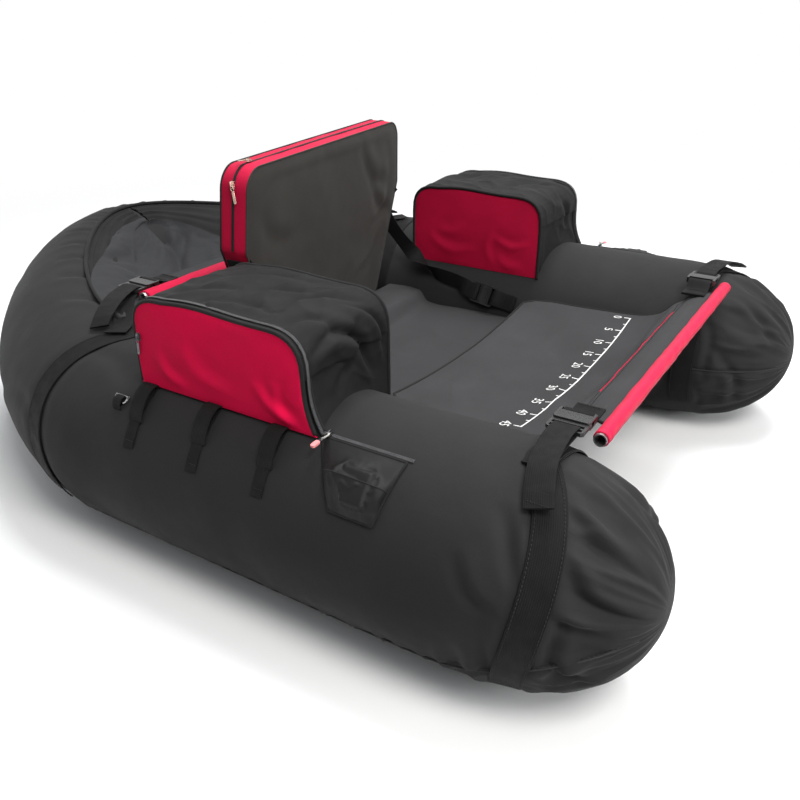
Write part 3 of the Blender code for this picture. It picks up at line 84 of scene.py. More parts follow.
# Camera
CAMERA_PLACE = (-1.0759, -0.8007, 0.7147)
CAMERA_YAW = math.radians(-57.629)
CAMERA_PITCH = math.radians(-26.874)
CAMERA_ROLL = math.radians(-0.379)
SENSOR_MM = 36.0
FOCAL_SHARE = 802.62 / 800

# Light
SKY_LOW = 0.08
SKY_HIGH = 0.62
FLOOR_BOUNCE = (0.13, 0.13, 0.13)
FLOOR_SEEN = (0.93, 0.93, 0.93)
SKY_COLOUR = (0.95, 0.97, 1.0, 1)
SKY_SHARES = (0.0, 0.9)
FLOOR_RADIUS = 14
FLOOR_SIDES = 64
FLOOR_DROP = 0.0005
FLOOR_ROUGH_SHARE = 0.9
FLOOR_SPECULAR_SHARE = 0.1
FLOOR_FADE = (0.9, 2.6)
LAMP_TARGET = (0, 0, 0.2)
LAMPS = (
    ("key", (-1.0, -1.6, 2.3), (1.0, 1.0), 48, (1.0, 0.985, 0.96)),
    ("top", (0.8, -0.2, 2.8), (1.4, 1.4), 88, (0.97, 0.98, 1.0)),
    ("front", (-0.2, -3.0, 1.1), (1.2, 0.9), 34, (1.0, 1.0, 1.0)),
)

# General
CLEARANCE = 0.0003
STITCH_GAP = 0.0005
WEBBING_WIDTH = 0.036
TAIL_WIDTH = 0.031
WEBBING_THICKNESS = 0.0016
STITCH_LENGTH = 0.0030
STITCH_STEP = 0.0045
STITCH_RADIUS = 0.00045
STITCH_SIDES = 6
STITCH_RISE_SHARES = (0.12, 0.6, 0.12)
SEAM_STITCH = {"gap": 0.005, "length": 0.0034}
WEB_STITCH = {"gap": 0.0035, "length": 0.0024}
TAB_STITCH = {"gap": 0.0032, "length": 0.0022}
PIPING_STITCH = {"gap": 0.006}
CROSS_SHARES = (-1, -0.5, 0, 0.5, 1)
CROSS_WIDTH_SHARE = 0.42
BAND_STEP = 0.004
BEAD_STEP = 0.003
CURVE_STEPS = 12
BAND_LIP_SHARES = ((0.0, 0.0), (0.4, 0.8), (1.6, 1.0))
BAND_SPAN_SHARE = 1 / 3
BAND_HOLLOW_SHARE = 0.94
HEM_SWELL_SHARE = 0.9
HEM_EDGE = 0.002
BEAD_SIDE = (0.31, 0.17, 0.93)
TINY = 1e-12

# Hull, as in the part
SPINE_HALF_SPACING = 0.383
STRAIGHT_FRONT_Y = -0.475
STRAIGHT_REAR_Y = 0.086
BEND_DEPTH = 0.463
BEND_ROUND_TURN = math.radians(50)
BEND_APEX_Y = 0.548
BEND_POWER_SHARE = 1.27
BEND_CENTRE_Y = 0.250
TUBE_RADIUS = 0.144
SIDE_HEIGHT_SHARE = 0.971
REAR_HEIGHT_SHARE = 1.154
TIP_LENGTH = 0.217
TIP_POWER_SHARE = 2.4
FRONT_STRAP_Y = -0.538
FRONT_STRAP_LEAN = 0.050
REAR_STRAP_TURN = math.radians(4.6)
REAR_STRAP_LEAN = 0.040
FLAT = math.cos(math.pi / 24)
HULL_SIDES = 208
TIP_ROWS = 62
STRAIGHT_ROWS = 66
BEND_ROWS = 86
POLE_SHARE = 0.9995
POLE_SLOPE_SHARE = 0.05
GROUND_SHARE = 0.5
LENGTH_STEPS = 60

# Relief of the hull's cloth
CREASE_BOW_SHARE = 0.12
CREASE_FADE_SHARE = 0.8
CREASE_RIDGE_OFF_SHARE = 1.7
CREASE_RIDGE_WIDTH_SHARE = 1.3
CREASE_RIDGE_SHARE = 0.55
GIRTH_SHARE = 0.985
LEFT_FOLD_SHARE = 0.82
UNEVEN_SCALE = 9
UNEVEN_SHIFT = 7
UNEVEN_SEED = 0.3
UNEVEN = 0.0012
UNEVEN_FINE = 0.0006
GATHER_PITCH = 0.034
GATHER_FINE_PITCH = 0.021
GATHER_SHARES = (0.6, 0.4)
GATHER_DEPTH = 0.0026
GATHER_WIDTH = 0.026
GATHER_PHASES = (0.0, 1.7)
GATHER_MIDDLE_S = 0.1
GATHER_REACH_S = 0.9
GATHER_LEAST_SHARE = 0.25
SEAM_DEPTH = 0.0022
SEAM_WIDTH = 0.0042
SEAM_RIDGE = 0.0012
SEAM_RIDGE_OFF = 0.0085
STRAP_HOLD_SHARE = 0.92
STRAP_HOLD_WIDTH = 0.026
STRAP_PRESS = 0.0016
STRAP_PRESS_WIDTH = 0.020
STRAP_RIDGE = 0.0008
STRAP_RIDGE_OFF = 0.030
STRAP_RIDGE_WIDTH = 0.010
POLE_FADE_S = 0.06
SEAM_DROP = math.radians(40)
SEAM_TURN_S = (-0.9, 0.2)
SEAM_LIFT = 0.0006
SEAM_OFF = 0.032
SEAM_FIRST_S = -0.93
SEAM_STEP_S = 0.03
SEAM_STEPS = 98
WELT_LIFT = 0.0003
WELT_RADIUS = 0.0012
GIRTH_OPEN_SHARE = 0.16
GIRTH_STEPS = 60
GIRTH_AHEAD_S = 0.01
GIRTH_SEAM_INSET = 0.0022

# Valve pockets, as in the part
POCKET_RISE = 0.023
POCKET_WALL = 0.0014
POCKET_CREST_SHARE = 0.50
POCKET_CAP_LIFT = 0.0158
POCKET_REAR_Y = -0.300
POCKET_FRONT_Y = -0.412
POCKET_TOP_ANGLE = math.radians(117)
POCKET_FOOT_ANGLE = math.radians(148)
POCKET_FOOT_SHARES = (0.42, 0.92)
POCKET_ROWS = 56
POCKET_COLUMNS = 52
POCKET_LIFT = 0.0016
POCKET_RISE_SHARE = 1.3
POCKET_ROUND_SHARES = (0.40, 0.85)
POCKET_CRUMPLE_SCALES = (2.6, 2.3)
POCKET_SEEDS = (0.4, 2.0)
POCKET_CRUMPLE_SHARES = (0.42, 0.10, 0.34)
POCKET_FINE_SCALE = 2.1
POCKET_RIDGE_SCALE = 0.8
POCKET_LEVEL_SHARE = 0.72
POCKET_CALM_SHARE = 0.5
POCKET_CAP_WINDOW_SHARES = ((0.26, 0.40), (0.10, 0.24), (0.24, 0.38), (0.06, 0.20))
POCKET_RIDGE_RADIUS = 0.0012
POCKET_BINDING_RADIUS = 0.0017
POCKET_ZIP_RISE = 0.0048
POCKET_ZIP_INSET = 0.006
POCKET_ZIP_LIFT = 0.0010
POCKET_ZIP_STEPS = 24
POCKET_ZIP_AHEAD = 0.02

# Bars and sleeves, as in the part
BAR_RADIUS = 0.008
SLEEVE_WALL = 0.0012
FRONT_BAR_Y = -0.574
FRONT_BAR_Z = 0.271
FRONT_BAR_HALF = 0.305
REAR_BAR_Y = 0.170
REAR_BAR_Z = 0.295
REAR_BAR_HALF = 0.288
SLEEVE_HALF_SHORTER = 0.004
REAR_SLEEVE_SPREAD_SHARE = 1.55
SLEEVE_ROWS = 260
FRONT_SLEEVE_SEED = 1.0
REAR_SLEEVE_SEED = 6.0
SLEEVE_SIDES = 28
SLEEVE_UNEVEN_SCALES = (26, 1.2)
SLEEVE_UNEVEN = 0.0006
SLEEVE_RIPPLE = 0.0002
SLEEVE_RIPPLE_TURNS = (150, 3, 21, 2)
SLEEVE_HEM = 0.0007
SLEEVE_HEM_ENDS = (0.008, 0.0095)
SLEEVE_SAG = 0.0014
SLEEVE_SAG_END = 0.012

# Buckles, as in the part
SOCKET_LENGTH = 0.019
SOCKET_THICKNESS = 0.0094
SOCKET_PIN_RADIUS = 0.0019
SOCKET_PIN_REACH = 0.0056
CLIP_HALF_THICKNESS = 0.0024
CLIP_LENGTH = 0.022
CLIP_SLOT = 0.0048
CLIP_SLOT_START = 0.0062
FRONT_MOUTH_X = 0.303
FRONT_MOUTH_Z = 0.28232
REAR_MOUTH_X = 0.262
REAR_BUCKLE_Y = 0.210
REAR_BUCKLE_Z = 0.3005
FRONT_RUN = ((0.100, 0, 0), (0.060, 0, 0))
FRONT_TAIL = ((0.040, 0.0010, 0.000), (0.095, 0.0005, -0.008), (0.128, -0.0080, -0.018), (0.152, -0.0210, -0.028))
REAR_RUN = ((0.130, -0.0120, -0.096), (0.096, -0.0120, -0.074), (0.045, -0.0040, -0.020))
REAR_TAIL = ((0.045, 0.0010, -0.014), (0.080, 0.0000, -0.034), (0.112, -0.0060, -0.054), (0.132, -0.0160, -0.066))
LOOP_REACH = 0.045
LOOP_MIDDLE_SHARE = 0.45
LOOP_SEAM_SHARES = (0.5, 0.92)
LOOP_SEAM_LIFT_SHARE = 0.6
LOOP_TURN_STEPS = 6
TAIL_HEM = 0.022
TAIL_SEAM_GAPS = (0.004, 0.018)
FOLD_REACH_SHARE = 2
FOLD_HEIGHT_SHARE = 0.4
REAR_LOOP_DROP = 0.0020
FRONT_LOOP_DROP = 0.0080
RIGID_EDGE = 0.0003

# Zip sliders, as in the part
SLIDER_TOP_INSET = 0.040
SLIDER_SIDE_DROP = -0.012
SLIDER_LIFT = 0.0030
BAG_SLIDER_INSET = 0.009
POCKET_SLIDER_INSET = 0.006
POCKET_PULL_TILT_SHARE = 0.42
BAG_SLIDER_LIFT = 0.0022
BAG_SLIDER_TILT_SHARE = 0.1
BAG_PULL_SHARE = 0.9
TOP_PULL_TILT_SHARE = 0.1
SIDE_PULL_TILT_SHARE = -0.25
POCKET_SLIDER_RISE = 0.0050
POCKET_SLIDER_LIFT = 0.0026
POCKET_PULL_LIFT = 0.0020
POCKET_PULL_AHEAD = 0.1
PULL_LENGTH = 0.018
SOFT_EDGE = 0.00022

# Slider in its own frame: plates are start, end, half-width, waist's share, low, high
SLIDER_PLATES = (
    (-0.0055, 0.0055, 0.0040, 0.18, 0.0, 0.0010),
    (-0.0050, 0.0050, 0.0034, 0.18, 0.0018, 0.0027),
    (-0.0052, 0.0004, 0.0010, 0.0, 0.0008, 0.0020),
)
SLIDER_BRIDGE = ((-0.0035, 0, 0.0026), (-0.002, 0, 0.0042), (0.002, 0, 0.0043), (0.0036, 0, 0.0027))
SLIDER_BRIDGE_RADIUS = 0.0006
PULL_RING = (0.0016, 0.0068, 0.0022, 0.0036, -0.0012)
PULL_RING_STEPS = 16
WIRE_SIDE = (0.2, 0.3, 1)
PULL_RING_RADIUS = 0.0005
PULL_START = 0.0076
CORD_PULL_START = 0.0130
CORD_LOOP = (
    (0.0040, 0, 0.0030), (0.0060, 0.0042, 0.0052), (0.0100, 0.0058, 0.0060), (0.0140, 0.0030, 0.0040),
    (0.0150, 0, 0.0024),
)
CORD_RADIUS = 0.0011
# Pull: start and end as shares of its length, half-width, waist's share, low, high
PULL_PLATES = ((0, 1, 0.0030, 0.32, 0.0016, 0.0027), (0.12, 0.30, 0.0016, 0.0, 0.0013, 0.0030))
PULL_TIP = (0.45, 1.15, 0.0036, 0.1, 0.0008, 0.0036)
CORNER_SHARE = 0.6

# Apron and its ruler: rows of y, height at the middle, half-width
APRON_THICKNESS = 0.0016
APRON_HALF = 0.250
APRON_ROWS = (
    (-0.5642, 0.2700, 0.262),
    (-0.5480, 0.2695, 0.258),
    (-0.5250, 0.2560, 0.256),
    (-0.5050, 0.2260, APRON_HALF),
    (-0.4850, 0.2080, APRON_HALF),
    (-0.4500, 0.1980, APRON_HALF),
    (-0.3700, 0.1930, APRON_HALF),
    (-0.2900, 0.1920, 0.249),
    (-0.2620, 0.1920, 0.240),
    (-0.2480, 0.1920, 0.218),
)
APRON_EDGE_RISE = 0.016
APRON_LEVEL_Y = -0.5250
APRON_RISEN_Y = -0.5050
APRON_STEPS = 120
APRON_COLUMNS = 72
APRON_RUMPLE = {"grain": 0.0012, "seed": 3.0, "size": 9.0}
APRON_RED_ROW = 16
APRON_SEAM_ROWS = 3
RED_LINE_START = 14
RED_LINE_END = -10
RED_LINE_ACROSS = (0, 0.8, 0.6)
RED_LINE_WIDTH = 0.0022
RED_LINE_THICKNESS = 0.0008
LINE_LIFT = 0.0012
HEM_RADIUS = 0.0022
APRON_FOLDS = (
    ((0.10, 0.06), (0.16, 0.30), 0.012, 0.0022),
    ((0.17, 0.20), (0.24, 0.48), 0.014, 0.0020),
    ((0.045, 0.26), (0.060, 0.50), 0.007, 0.0030),
    ((0.055, 0.02), (0.050, 0.18), 0.007, 0.0024),
    ((0.24, 0.04), (0.30, 0.20), 0.012, 0.0020),
)
PRINT_LIFT = 0.0006
RULER_Y = -0.448
RULER_BOW = 0.004
RULER_START_X = 0.232
RULER_STEP = 0.050
RULER_COUNT = 9
RULER_BASE_STEPS = 60
RULER_LINE = 0.0022
RULER_TICK = 0.012
RULER_NUMBER_GAP = 0.024
RULER_NUMBER_HEIGHT = 0.020

# Seat and rear hold
SEAT_TOP_Z = 0.165
SEAT_THICKNESS = 0.0030
SEAT_SAG = 0.012
SEAT_STEPS = 80
SEAT_CLOTH = 0.0018
SEAT_RUMPLE = {"grain": 0.0014, "seed": 1.0, "size": 8.0, "edge": 0.01}
SEAT_SAGGING_YS = (-0.300, -0.120, -0.035)
SEAT_RAISED_YS = (-0.010, 0.060)
BACK_Z = 0.184
SEAT_FOLDS = (
    ((0.05, 0.10), (0.20, 0.16), 0.012, 0.0022),
    ((0.16, 0.24), (0.30, 0.32), 0.012, 0.0020),
    ((0.08, 0.34), (0.22, 0.40), 0.010, 0.0020),
)
DECK_THICKNESS = 0.0018
DECK_SAG = 0.022
DECK_LIFT = 0.0078
DECK_EDGE_SPAN = math.radians(3)
DECK_EDGE_S = (1.72, 1.95)
DECK_UPPER_ANGLE = math.radians(69)
DECK_UPPER_S = (1.34, 1.62)
DECK_FADE_COLUMNS = 14
DECK_FADE_ROWS = 26
DECK_REAR_ANGLE = math.radians(60)
DECK_REAR_S = (1.50, 1.97)
DECK_FAR_ANGLE = math.radians(38)
DECK_DROP = 0.004
DECK_RIM_ANGLE = math.radians(82.5)
DECK_FOOT_ANGLE = math.radians(50)
DECK_WALL_STEPS = 26
DECK_PLEAT_STEPS = 6.5
DECK_PLEAT = 0.0050
DECK_CLOTH = 0.0014
DECK_WALL_LIFT = 0.0012
DECK_PLEAT_SWAY_SHARE = 1.3
DECK_PLEAT_SCALES = (9, 0.2)
DECK_FULLNESS_SCALES = (6, 0.35)
DECK_FULLNESS_SEED = 4.0
DECK_FULLNESS_SHARE = 0.6
DECK_FULLNESS_LEAST_SHARE = 0.1
DECK_RUMPLE = {"grain": 0.0030, "seed": 5.0, "size": 10.0, "edge": 0.02, "ridge": 0.0028}
DECK_STEPS = 90
DECK_OVER_COLUMNS = 26
DECK_COLUMNS = 84
DECK_DROP_ROWS = 12
DECK_SAG_SHARES = (0.7, 0.8)
DECK_PIPING_LIFT = 0.0050
DECK_PIPING_RADIUS = 0.0036
DECK_SEAM_LIFT = 0.0060
DECK_SEAM_DROP = math.radians(5)
DECK_FIRST_S = 1.14
DECK_LAST_S = 1.985
DECK_BAND_Z = 0.2942
DECK_BAND_REAR_Y = 0.226
DECK_BAND_HALVES = (0.262, 0.243)
DECK_FOLDS = (
    ((-0.095, 0.290), (0.022, 0.545), 0.014, 0.0170),
    ((-0.170, 0.440), (-0.055, 0.490), 0.010, 0.0085),
    ((-0.200, 0.360), (-0.080, 0.420), 0.011, 0.0095),
    ((-0.005, 0.380), (0.075, 0.520), 0.012, 0.0100),
    ((-0.210, 0.300), (-0.110, 0.240), 0.012, 0.0100),
    ((-0.045, 0.270), (0.100, 0.370), 0.013, 0.0110),
    ((-0.140, 0.470), (-0.035, 0.530), 0.010, 0.0075),
    ((0.050, 0.300), (0.180, 0.420), 0.013, 0.0110),
    ((0.100, 0.470), (0.200, 0.350), 0.012, 0.0090),
)

# Bags
BAG_INNER_X = 0.280
BAG_OUTER_X = 0.4555
BAG_FRONT_Y = -0.262
BAG_REAR_Y = 0.006
BAG_STAGGER = 0.016
BAG_TOP_Z = 0.382
BAG_SHOULDER_Z = 0.330
BAG_CROWN = 0.003
BAG_SWAY = 0.0014
BAG_ZIP_INSET = 0.0056
BAG_ZIP_LIFT = 0.0036
BAG_CORNER = 0.055
BAG_CORNER_POWER_SHARE = 2.9
BAG_WALL = 0.0014
BAG_MIDDLE_FOOT_Z = 0.272
BAG_FLARE = 0.017
BAG_FLARE_POWER_SHARE = 2.4
BAG_FLARE_REACH = 0.12
BAG_CORNER_STEPS = 8
BAG_TOP_STEPS = 12
BAG_ROWS = 190
BAG_COLUMNS = 66
BAG_RUMPLE = {"grain": 0.0016, "size": 12.0, "edge": 0.012, "ridge": 0.0042}
BAG_SEED = 2.0
BAG_PUFF = 0.0030
BAG_PUFF_SHARE = 0.6
BAG_WALL_PUFF_SHARE = 1.7
BAG_PANEL_INSET = 0.0008
BAG_PIPINGS = (
    ("inner", BAG_INNER_X - 0.0005, 0.0030, 0.0),
    ("outer", BAG_OUTER_X - 0.0016, 0.0026, BAG_FLARE),
    ("rear", BAG_OUTER_X - 0.0135, 0.0028, BAG_FLARE),
)
FACE_ROWS = 76
FACE_COLUMNS = 60
FACE_INSET = 0.0004
FACE_CLOTH = 0.0012
FACE_RUMPLE = {"grain": 0.0010, "size": 9.0, "edge": 0.01}
FACE_SEED = 7.0
DOOR_THICKNESS = 0.0022
DOOR_FOOT_Z = 0.2641
ROD_TAB_WIDTH = 0.023
ROD_TAB_SHARES = (0.13, 0.52, 0.93)
ROD_TAB_LAST_ANGLE = math.radians(150)
ROD_TAB_BOW = 0.0100
ROD_TAB_START = math.radians(2.5)
ROD_TAB_PLY = 0.0024
ROD_TAB_SLANT = -0.004
ROD_TAB_END_DROP = math.radians(4)
ROD_TAB_UPPER_SHARE = 0.60
ROD_TAB_LIFT = 0.0016
ROD_TAB_BOW_SHARES = (0.62, 0.75)
ROD_TAB_STEPS = 18
ROD_STRIP_STEPS = 10
ROD_STRIP_LIFT = 0.0013
ROD_STRIP_SHARE = 0.78
ROD_SEAM_SHARE = 0.33
ROD_SEAM_LIFT = 0.0008
RING_TAB_WIDTH = 0.014
RING_TAB_ANGLE = math.radians(133)
RING_TAB_SPAN = math.radians(8.4)
RING_TAB_LIFT = 0.0012
RING_TAB_RISE = 0.0078
RING_TAB_ROUND_SHARE = 0.8
RING_TAB_STEPS = 14
STRAIGHT_MIDDLE = 0.4
BAG_FOLDS = (
    ((0.02, 0.03), (0.10, 0.12), 0.009, 0.0095),
    ((0.01, 0.12), (0.10, 0.06), 0.008, 0.0085),
    ((0.05, 0.00), (0.13, 0.06), 0.008, 0.0075),
    ((0.09, 0.09), (0.15, 0.17), 0.009, 0.0070),
    ((0.12, 0.02), (0.18, 0.14), 0.010, 0.0065),
    ((0.17, 0.05), (0.24, 0.10), 0.009, 0.0050),
    ((0.20, 0.02), (0.32, 0.07), 0.011, 0.0045),
    ((0.24, 0.10), (0.33, 0.15), 0.010, 0.0045),
    ((0.15, 0.13), (0.28, 0.16), 0.008, 0.0045),
    ((0.07, 0.05), (0.09, 0.16), 0.007, 0.0060),
)
BAG_FOLDS_FAR = (
    ((0.03, 0.04), (0.10, 0.09), 0.009, 0.0055),
    ((0.12, 0.05), (0.20, 0.12), 0.010, 0.0045),
    ((0.22, 0.03), (0.32, 0.10), 0.011, 0.0045),
    ((0.33, 0.06), (0.40, 0.12), 0.009, 0.0045),
    ((0.15, 0.02), (0.22, 0.06), 0.009, 0.0045),
)
FACE_FOLDS = (
    ((0.02, 0.01), (0.08, 0.05), 0.008, 0.0030),
    ((0.03, 0.00), (0.05, 0.06), 0.007, 0.0026),
    ((0.12, 0.02), (0.20, 0.07), 0.012, 0.0018),
    ((0.20, 0.01), (0.24, 0.05), 0.009, 0.0022),
)
FACE_FOLDS_INNER = (
    ((0.02, 0.060), (0.10, 0.064), 0.007, 0.0016),
    ((0.095, 0.010), (0.105, 0.085), 0.007, 0.0016),
    ((0.13, 0.035), (0.24, 0.050), 0.010, 0.0018),
    ((0.03, 0.015), (0.09, 0.030), 0.009, 0.0016),
    ((0.16, 0.085), (0.22, 0.060), 0.010, 0.0014),
)

# Backrest, in its own frame: u across, v up, t back from the front face
BACK_Y = 0.023
BACK_YAW = math.radians(8.9)
BACK_LEAN = math.radians(3.2)
BACK_THICKNESS = 0.042
BACK_CROWN = 0.005
BACK_BOTTOM_HALF = 0.185
BACK_WIDEST_HALF = 0.266
BACK_WIDEST_V = 0.205
BACK_TOP_HALF = 0.258
BACK_TOP_V = 0.319
BACK_CORNER = 0.034
BELT_V = 0.178
BELT_WIDTH = 0.032
BELT_RISE = 0.026
BELT_SIDE_GAP = 0.0026
BELT_REAR_GAP = 0.0022
BELT_START = 0.004
BELT_STEP = 0.001
BACK_FOOT_INSET = 0.02
BACK_FOOT_RISE = 0.012
BACK_CORNER_STEPS = 12
BACK_FACE_STEPS = 200
BACK_FACE_RINGS = 44
BACK_CROWN_SHARE = 3.5
BACK_RIM = 0.0012
BACK_RIM_SHARE = 6
BACK_UNEVEN_SCALES = (9, 3.1)
BACK_UNEVEN_SEED = 3
BACK_UNEVEN = 0.0016
BACK_UNEVEN_FINE = 0.0006
BACK_EVEN_RIM_SHARE = 8
GUSSET_STEPS = 260
GUSSET_ROWS = 16
GUSSET_SWELL = 0.0016
GUSSET_ROUND_SHARE = 0.7
GUSSET_UNEVEN = 0.0007
GUSSET_SCALES = (22, 22, 30)
GUSSET_STEP = 0.006
GUSSET_OUTSET = 0.01
GUSSET_RED_SHARE = 0.42
FRONT_PIPING_RADIUS = 0.0011
REAR_PIPING_RADIUS = 0.0016
BACK_ZIP_WIDTH = 0.0042
BACK_ZIP_LIFT = 0.0022
BACK_ZIP_FIRST_SHARE = 0.98
BACK_ZIP_CENTRE_SHARE = 0.6
BACK_FOLDS = (
    ((-0.24, 0.25), (-0.13, 0.19), 0.016, 0.0022),
    ((-0.20, 0.10), (-0.08, 0.17), 0.017, 0.0016),
    ((0.09, 0.29), (0.21, 0.21), 0.014, 0.0038),
    ((0.13, 0.23), (0.24, 0.15), 0.012, 0.0036),
    ((0.15, 0.14), (0.22, 0.20), 0.011, 0.0030),
    ((-0.05, 0.05), (0.07, 0.10), 0.016, 0.0016),
    ((0.08, 0.06), (0.18, 0.12), 0.012, 0.0030),
)
SIDE_WEBBING_WIDTH = 0.030
SIDE_MOUTH_Y = -0.150
SIDE_MOUTH_RISE = 0.006
SIDE_WALL_ANGLE = math.radians(22.5)
SIDE_BUCKLE_DROP = math.radians(8)
SIDE_STRAP_ROUTES = {
    "right": ((0.2500, -0.100, 0.2140), (0.2560, -0.055, 0.2290), (0.2620, -0.018, 0.2570)),
    "left": ((0.2480, -0.098, 0.2140), (0.2500, -0.040, 0.2250), (0.2590, 0.020, 0.2580)),
}
SIDE_STRAP_ENDS = {"right": (-0.040, -0.013, 0.013), "left": (-0.030, 0.002, 0.030)}
SIDE_STRAP_ACROSS = (0, 0.35, 0.94)
SIDE_FOLD_REACH = 0.003
SIDE_END_GAP = 0.0048
SIDE_END_SHARE = 0.45
SIDE_LOOP_DROP = 0.0004

# Unevenness of sheets
RIDGE_LAYERS = ((0.62, 1.0, (0, 0, 0)), (0.38, 2.1, (3.1, 1.7, 0.4)))
RIDGE_SHARPNESS_SHARE = 2.4
RIDGE_LEVEL_SHARE = 0.25
GRAIN_LAYERS = ((1, 1), (0.5, 2.3), (0.25, 5.1))

# Cloth and print, plastic and metal: noise scales per metre, pitches and depths in metres
CLOTH_CLOUD_SCALE = 9.0
CLOTH_GRAIN_SCALE = 420.0
CLOTH_CRUMPLE_SCALE = 26.0
# shares of random cloud, grain and weave height in the cloth's colour; the weave part is painted shade between the
# yarns
CLOTH_DYE_AND_WEAVE_SHADE_SHARES = (0.55, 0.25, 0.20)
CLOTH_RANGE_SHARES = (0.30, 0.72)
CLOTH_ROUGH_SHARE = 0.06
CLOTH_RELIEF_SHARE = 0.65
CRUMPLE_RELIEF_SHARE = 0.6
CRUMPLE_ROUGH_SHARE = 0.45
SHEEN_ROUGH_SHARE = 0.45
CLOTH_SPECULAR_SHARE = 0.22
NOISE_SHARES = (0.3, 0.7)
WHOLE_SHARES = (0.0, 1.0)
RIB_PITCH = 0.0022
RIB_PULL = 0.0004
PICK_PITCH = 0.0015
WEB_WEAVE_SHARE = 0.25
WEB_CLOUD_SCALE = 60.0
# shares of weave height and random cloud in the webbing's colour; the weave part is painted shade and light
WEB_WEAVE_SHADE_AND_CLOUD_SHARES = (0.6, 0.4)
WEB_RANGE_SHARES = (0.2, 0.8)
WEB_DARK_SHARE = 0.55
WEB_LIGHT_SHARE = 1.35
WEB_ROUGH_SHARES = (0.60, 0.74)
WEB_SHEEN_SHARE = 0.008
WEB_SPECULAR_SHARE = 0.14
WEB_RELIEF_SHARE = 0.8
WEB_RELIEF = 0.0005
PLASTIC_GRAIN_SCALE = 900.0
PLASTIC_CLOUD_SCALE = 45.0
PLASTIC_CLOUD_SHARE = 0.4
PLASTIC_EDGE_SHARES = (0.52, 0.60)
# how much paler the plastic is on sharp edges
PLASTIC_EDGE_PALE_SHARES = (0.0, 0.6)
PLASTIC_LIGHT_SHARE = 2.2
PLASTIC_LIGHT_ADDED_SHARE = 0.01
PLASTIC_ROUGH_SHARES = (-0.06, 0.08)
PLASTIC_RELIEF_SHARE = 0.25
PLASTIC_RELIEF = 0.0002
METAL_SCRATCH_SCALE = 700.0
METAL_SCRATCH_SHARE = 0.7
METAL_CLOUD_SCALE = 120.0
METAL_CLOUD_SHARES = (0.35, 0.65)
METAL_DARK_SHARE = 0.6
METAL_ROUGH_SHARES = (-0.08, 0.12)
METAL_RELIEF_SHARE = 0.2
METAL_RELIEF = 0.0001
ZIP_WIDTH = 0.0054
ZIP_THICKNESS = 0.0012
TOOTH_PITCH = 0.0018
TOOTH_LIFT_SHARE = 1.6
TEETH_EDGES = (0.0012, 0.0030)
TEETH_CLOUD_SCALE = 80.0
TEETH_CLOUD_SHARES = (0.6, 1.0)
TEETH_LIGHT_SHARE = 3
TEETH_LIGHT_ADDED_SHARE = 0.03
ZIP_ROUGH_SHARES = (0.8, 0.45)
ZIP_RELIEF_SHARE = 0.9
ZIP_RELIEF = 0.0008

UP = Vector((0, 0, 1))
AHEAD = Vector((0, 1, 0))
CLOTH_MAP = "Cloth"


# Materials

def new_material(name):
    """A material with its tree, its shader and the coordinates on the piece."""
    material = bpy.data.materials.new(name)
    material.use_nodes = True
    tree = material.node_tree
    place = tree.nodes.new("ShaderNodeTexCoord").outputs["Object"]
    return material, tree, tree.nodes["Principled BSDF"], place


def add_node(tree, kind, **values):
    node = tree.nodes.new(kind)
    for key, value in values.items():
        if key in node.inputs:
            node.inputs[key].default_value = value
        else:
            setattr(node, key, value)
    return node


def math_node(tree, operation, a, b=None):
    node = tree.nodes.new("ShaderNodeMath")
    node.operation = operation
    for number, value in enumerate((a, b)):
        if value is None:
            continue
        if isinstance(value, (int, float)):
            node.inputs[number].default_value = value
        else:
            tree.links.new(value, node.inputs[number])
    return node.outputs[0]


def shades(tree, factor, dark, light):
    mix = tree.nodes.new("ShaderNodeMix")
    mix.data_type = "RGBA"
    tree.links.new(factor, mix.inputs[0])
    mix.inputs[6].default_value = (*dark, 1)
    mix.inputs[7].default_value = (*light, 1)
    return mix.outputs[2]


def noise_value(tree, vector, scale, detail=3.0, roughness=0.55):
    node = add_node(tree, "ShaderNodeTexNoise", Scale=scale, Detail=detail, Roughness=roughness)
    tree.links.new(vector, node.inputs["Vector"])
    return node.outputs["Fac"]


def ranged(tree, value, source, target):
    """A value taken from one range to another, eased at both ends."""
    node = add_node(tree, "ShaderNodeMapRange", interpolation_type="SMOOTHSTEP")
    tree.links.new(value, node.inputs["Value"])
    for key, limit in zip(("From Min", "From Max", "To Min", "To Max"), (*source, *target)):
        node.inputs[key].default_value = limit
    return node.outputs["Result"]


def blended(tree, values, shares):
    """Sum of the values, each times its share."""
    parts = [math_node(tree, "MULTIPLY", value, share) for value, share in zip(values, shares)]
    total = parts[0]
    for part in parts[1:]:
        total = math_node(tree, "ADD", total, part)
    return total


def split(tree, vector):
    """The x, y and z of a vector."""
    node = tree.nodes.new("ShaderNodeSeparateXYZ")
    tree.links.new(vector, node.inputs[0])
    return node.outputs


def ripples(tree, value, pitch):
    """Sine wave of a coordinate in metres, once every pitch."""
    return math_node(tree, "SINE", math_node(tree, "MULTIPLY", value, 2 * math.pi / pitch))


def bump(tree, height, strength, distance, normal):
    """Relief that feeds a normal socket; returns the socket for the relief beneath it."""
    node = add_node(tree, "ShaderNodeBump", Strength=strength, Distance=distance)
    tree.links.new(height, node.inputs["Height"])
    tree.links.new(node.outputs[0], normal)
    return node.inputs["Normal"]


def dress(tree, shader, colour, rough, height, strength, distance, settings=()):
    """Colour, roughness and relief of a material, and its plain settings."""
    tree.links.new(colour, shader.inputs["Base Color"])
    tree.links.new(rough, shader.inputs["Roughness"])
    for key, value in settings:
        shader.inputs[key].default_value = value
    return bump(tree, height, strength, distance, shader.inputs["Normal"])


def scaled(values, share, added=0.0):
    return [value * share + added for value in values]


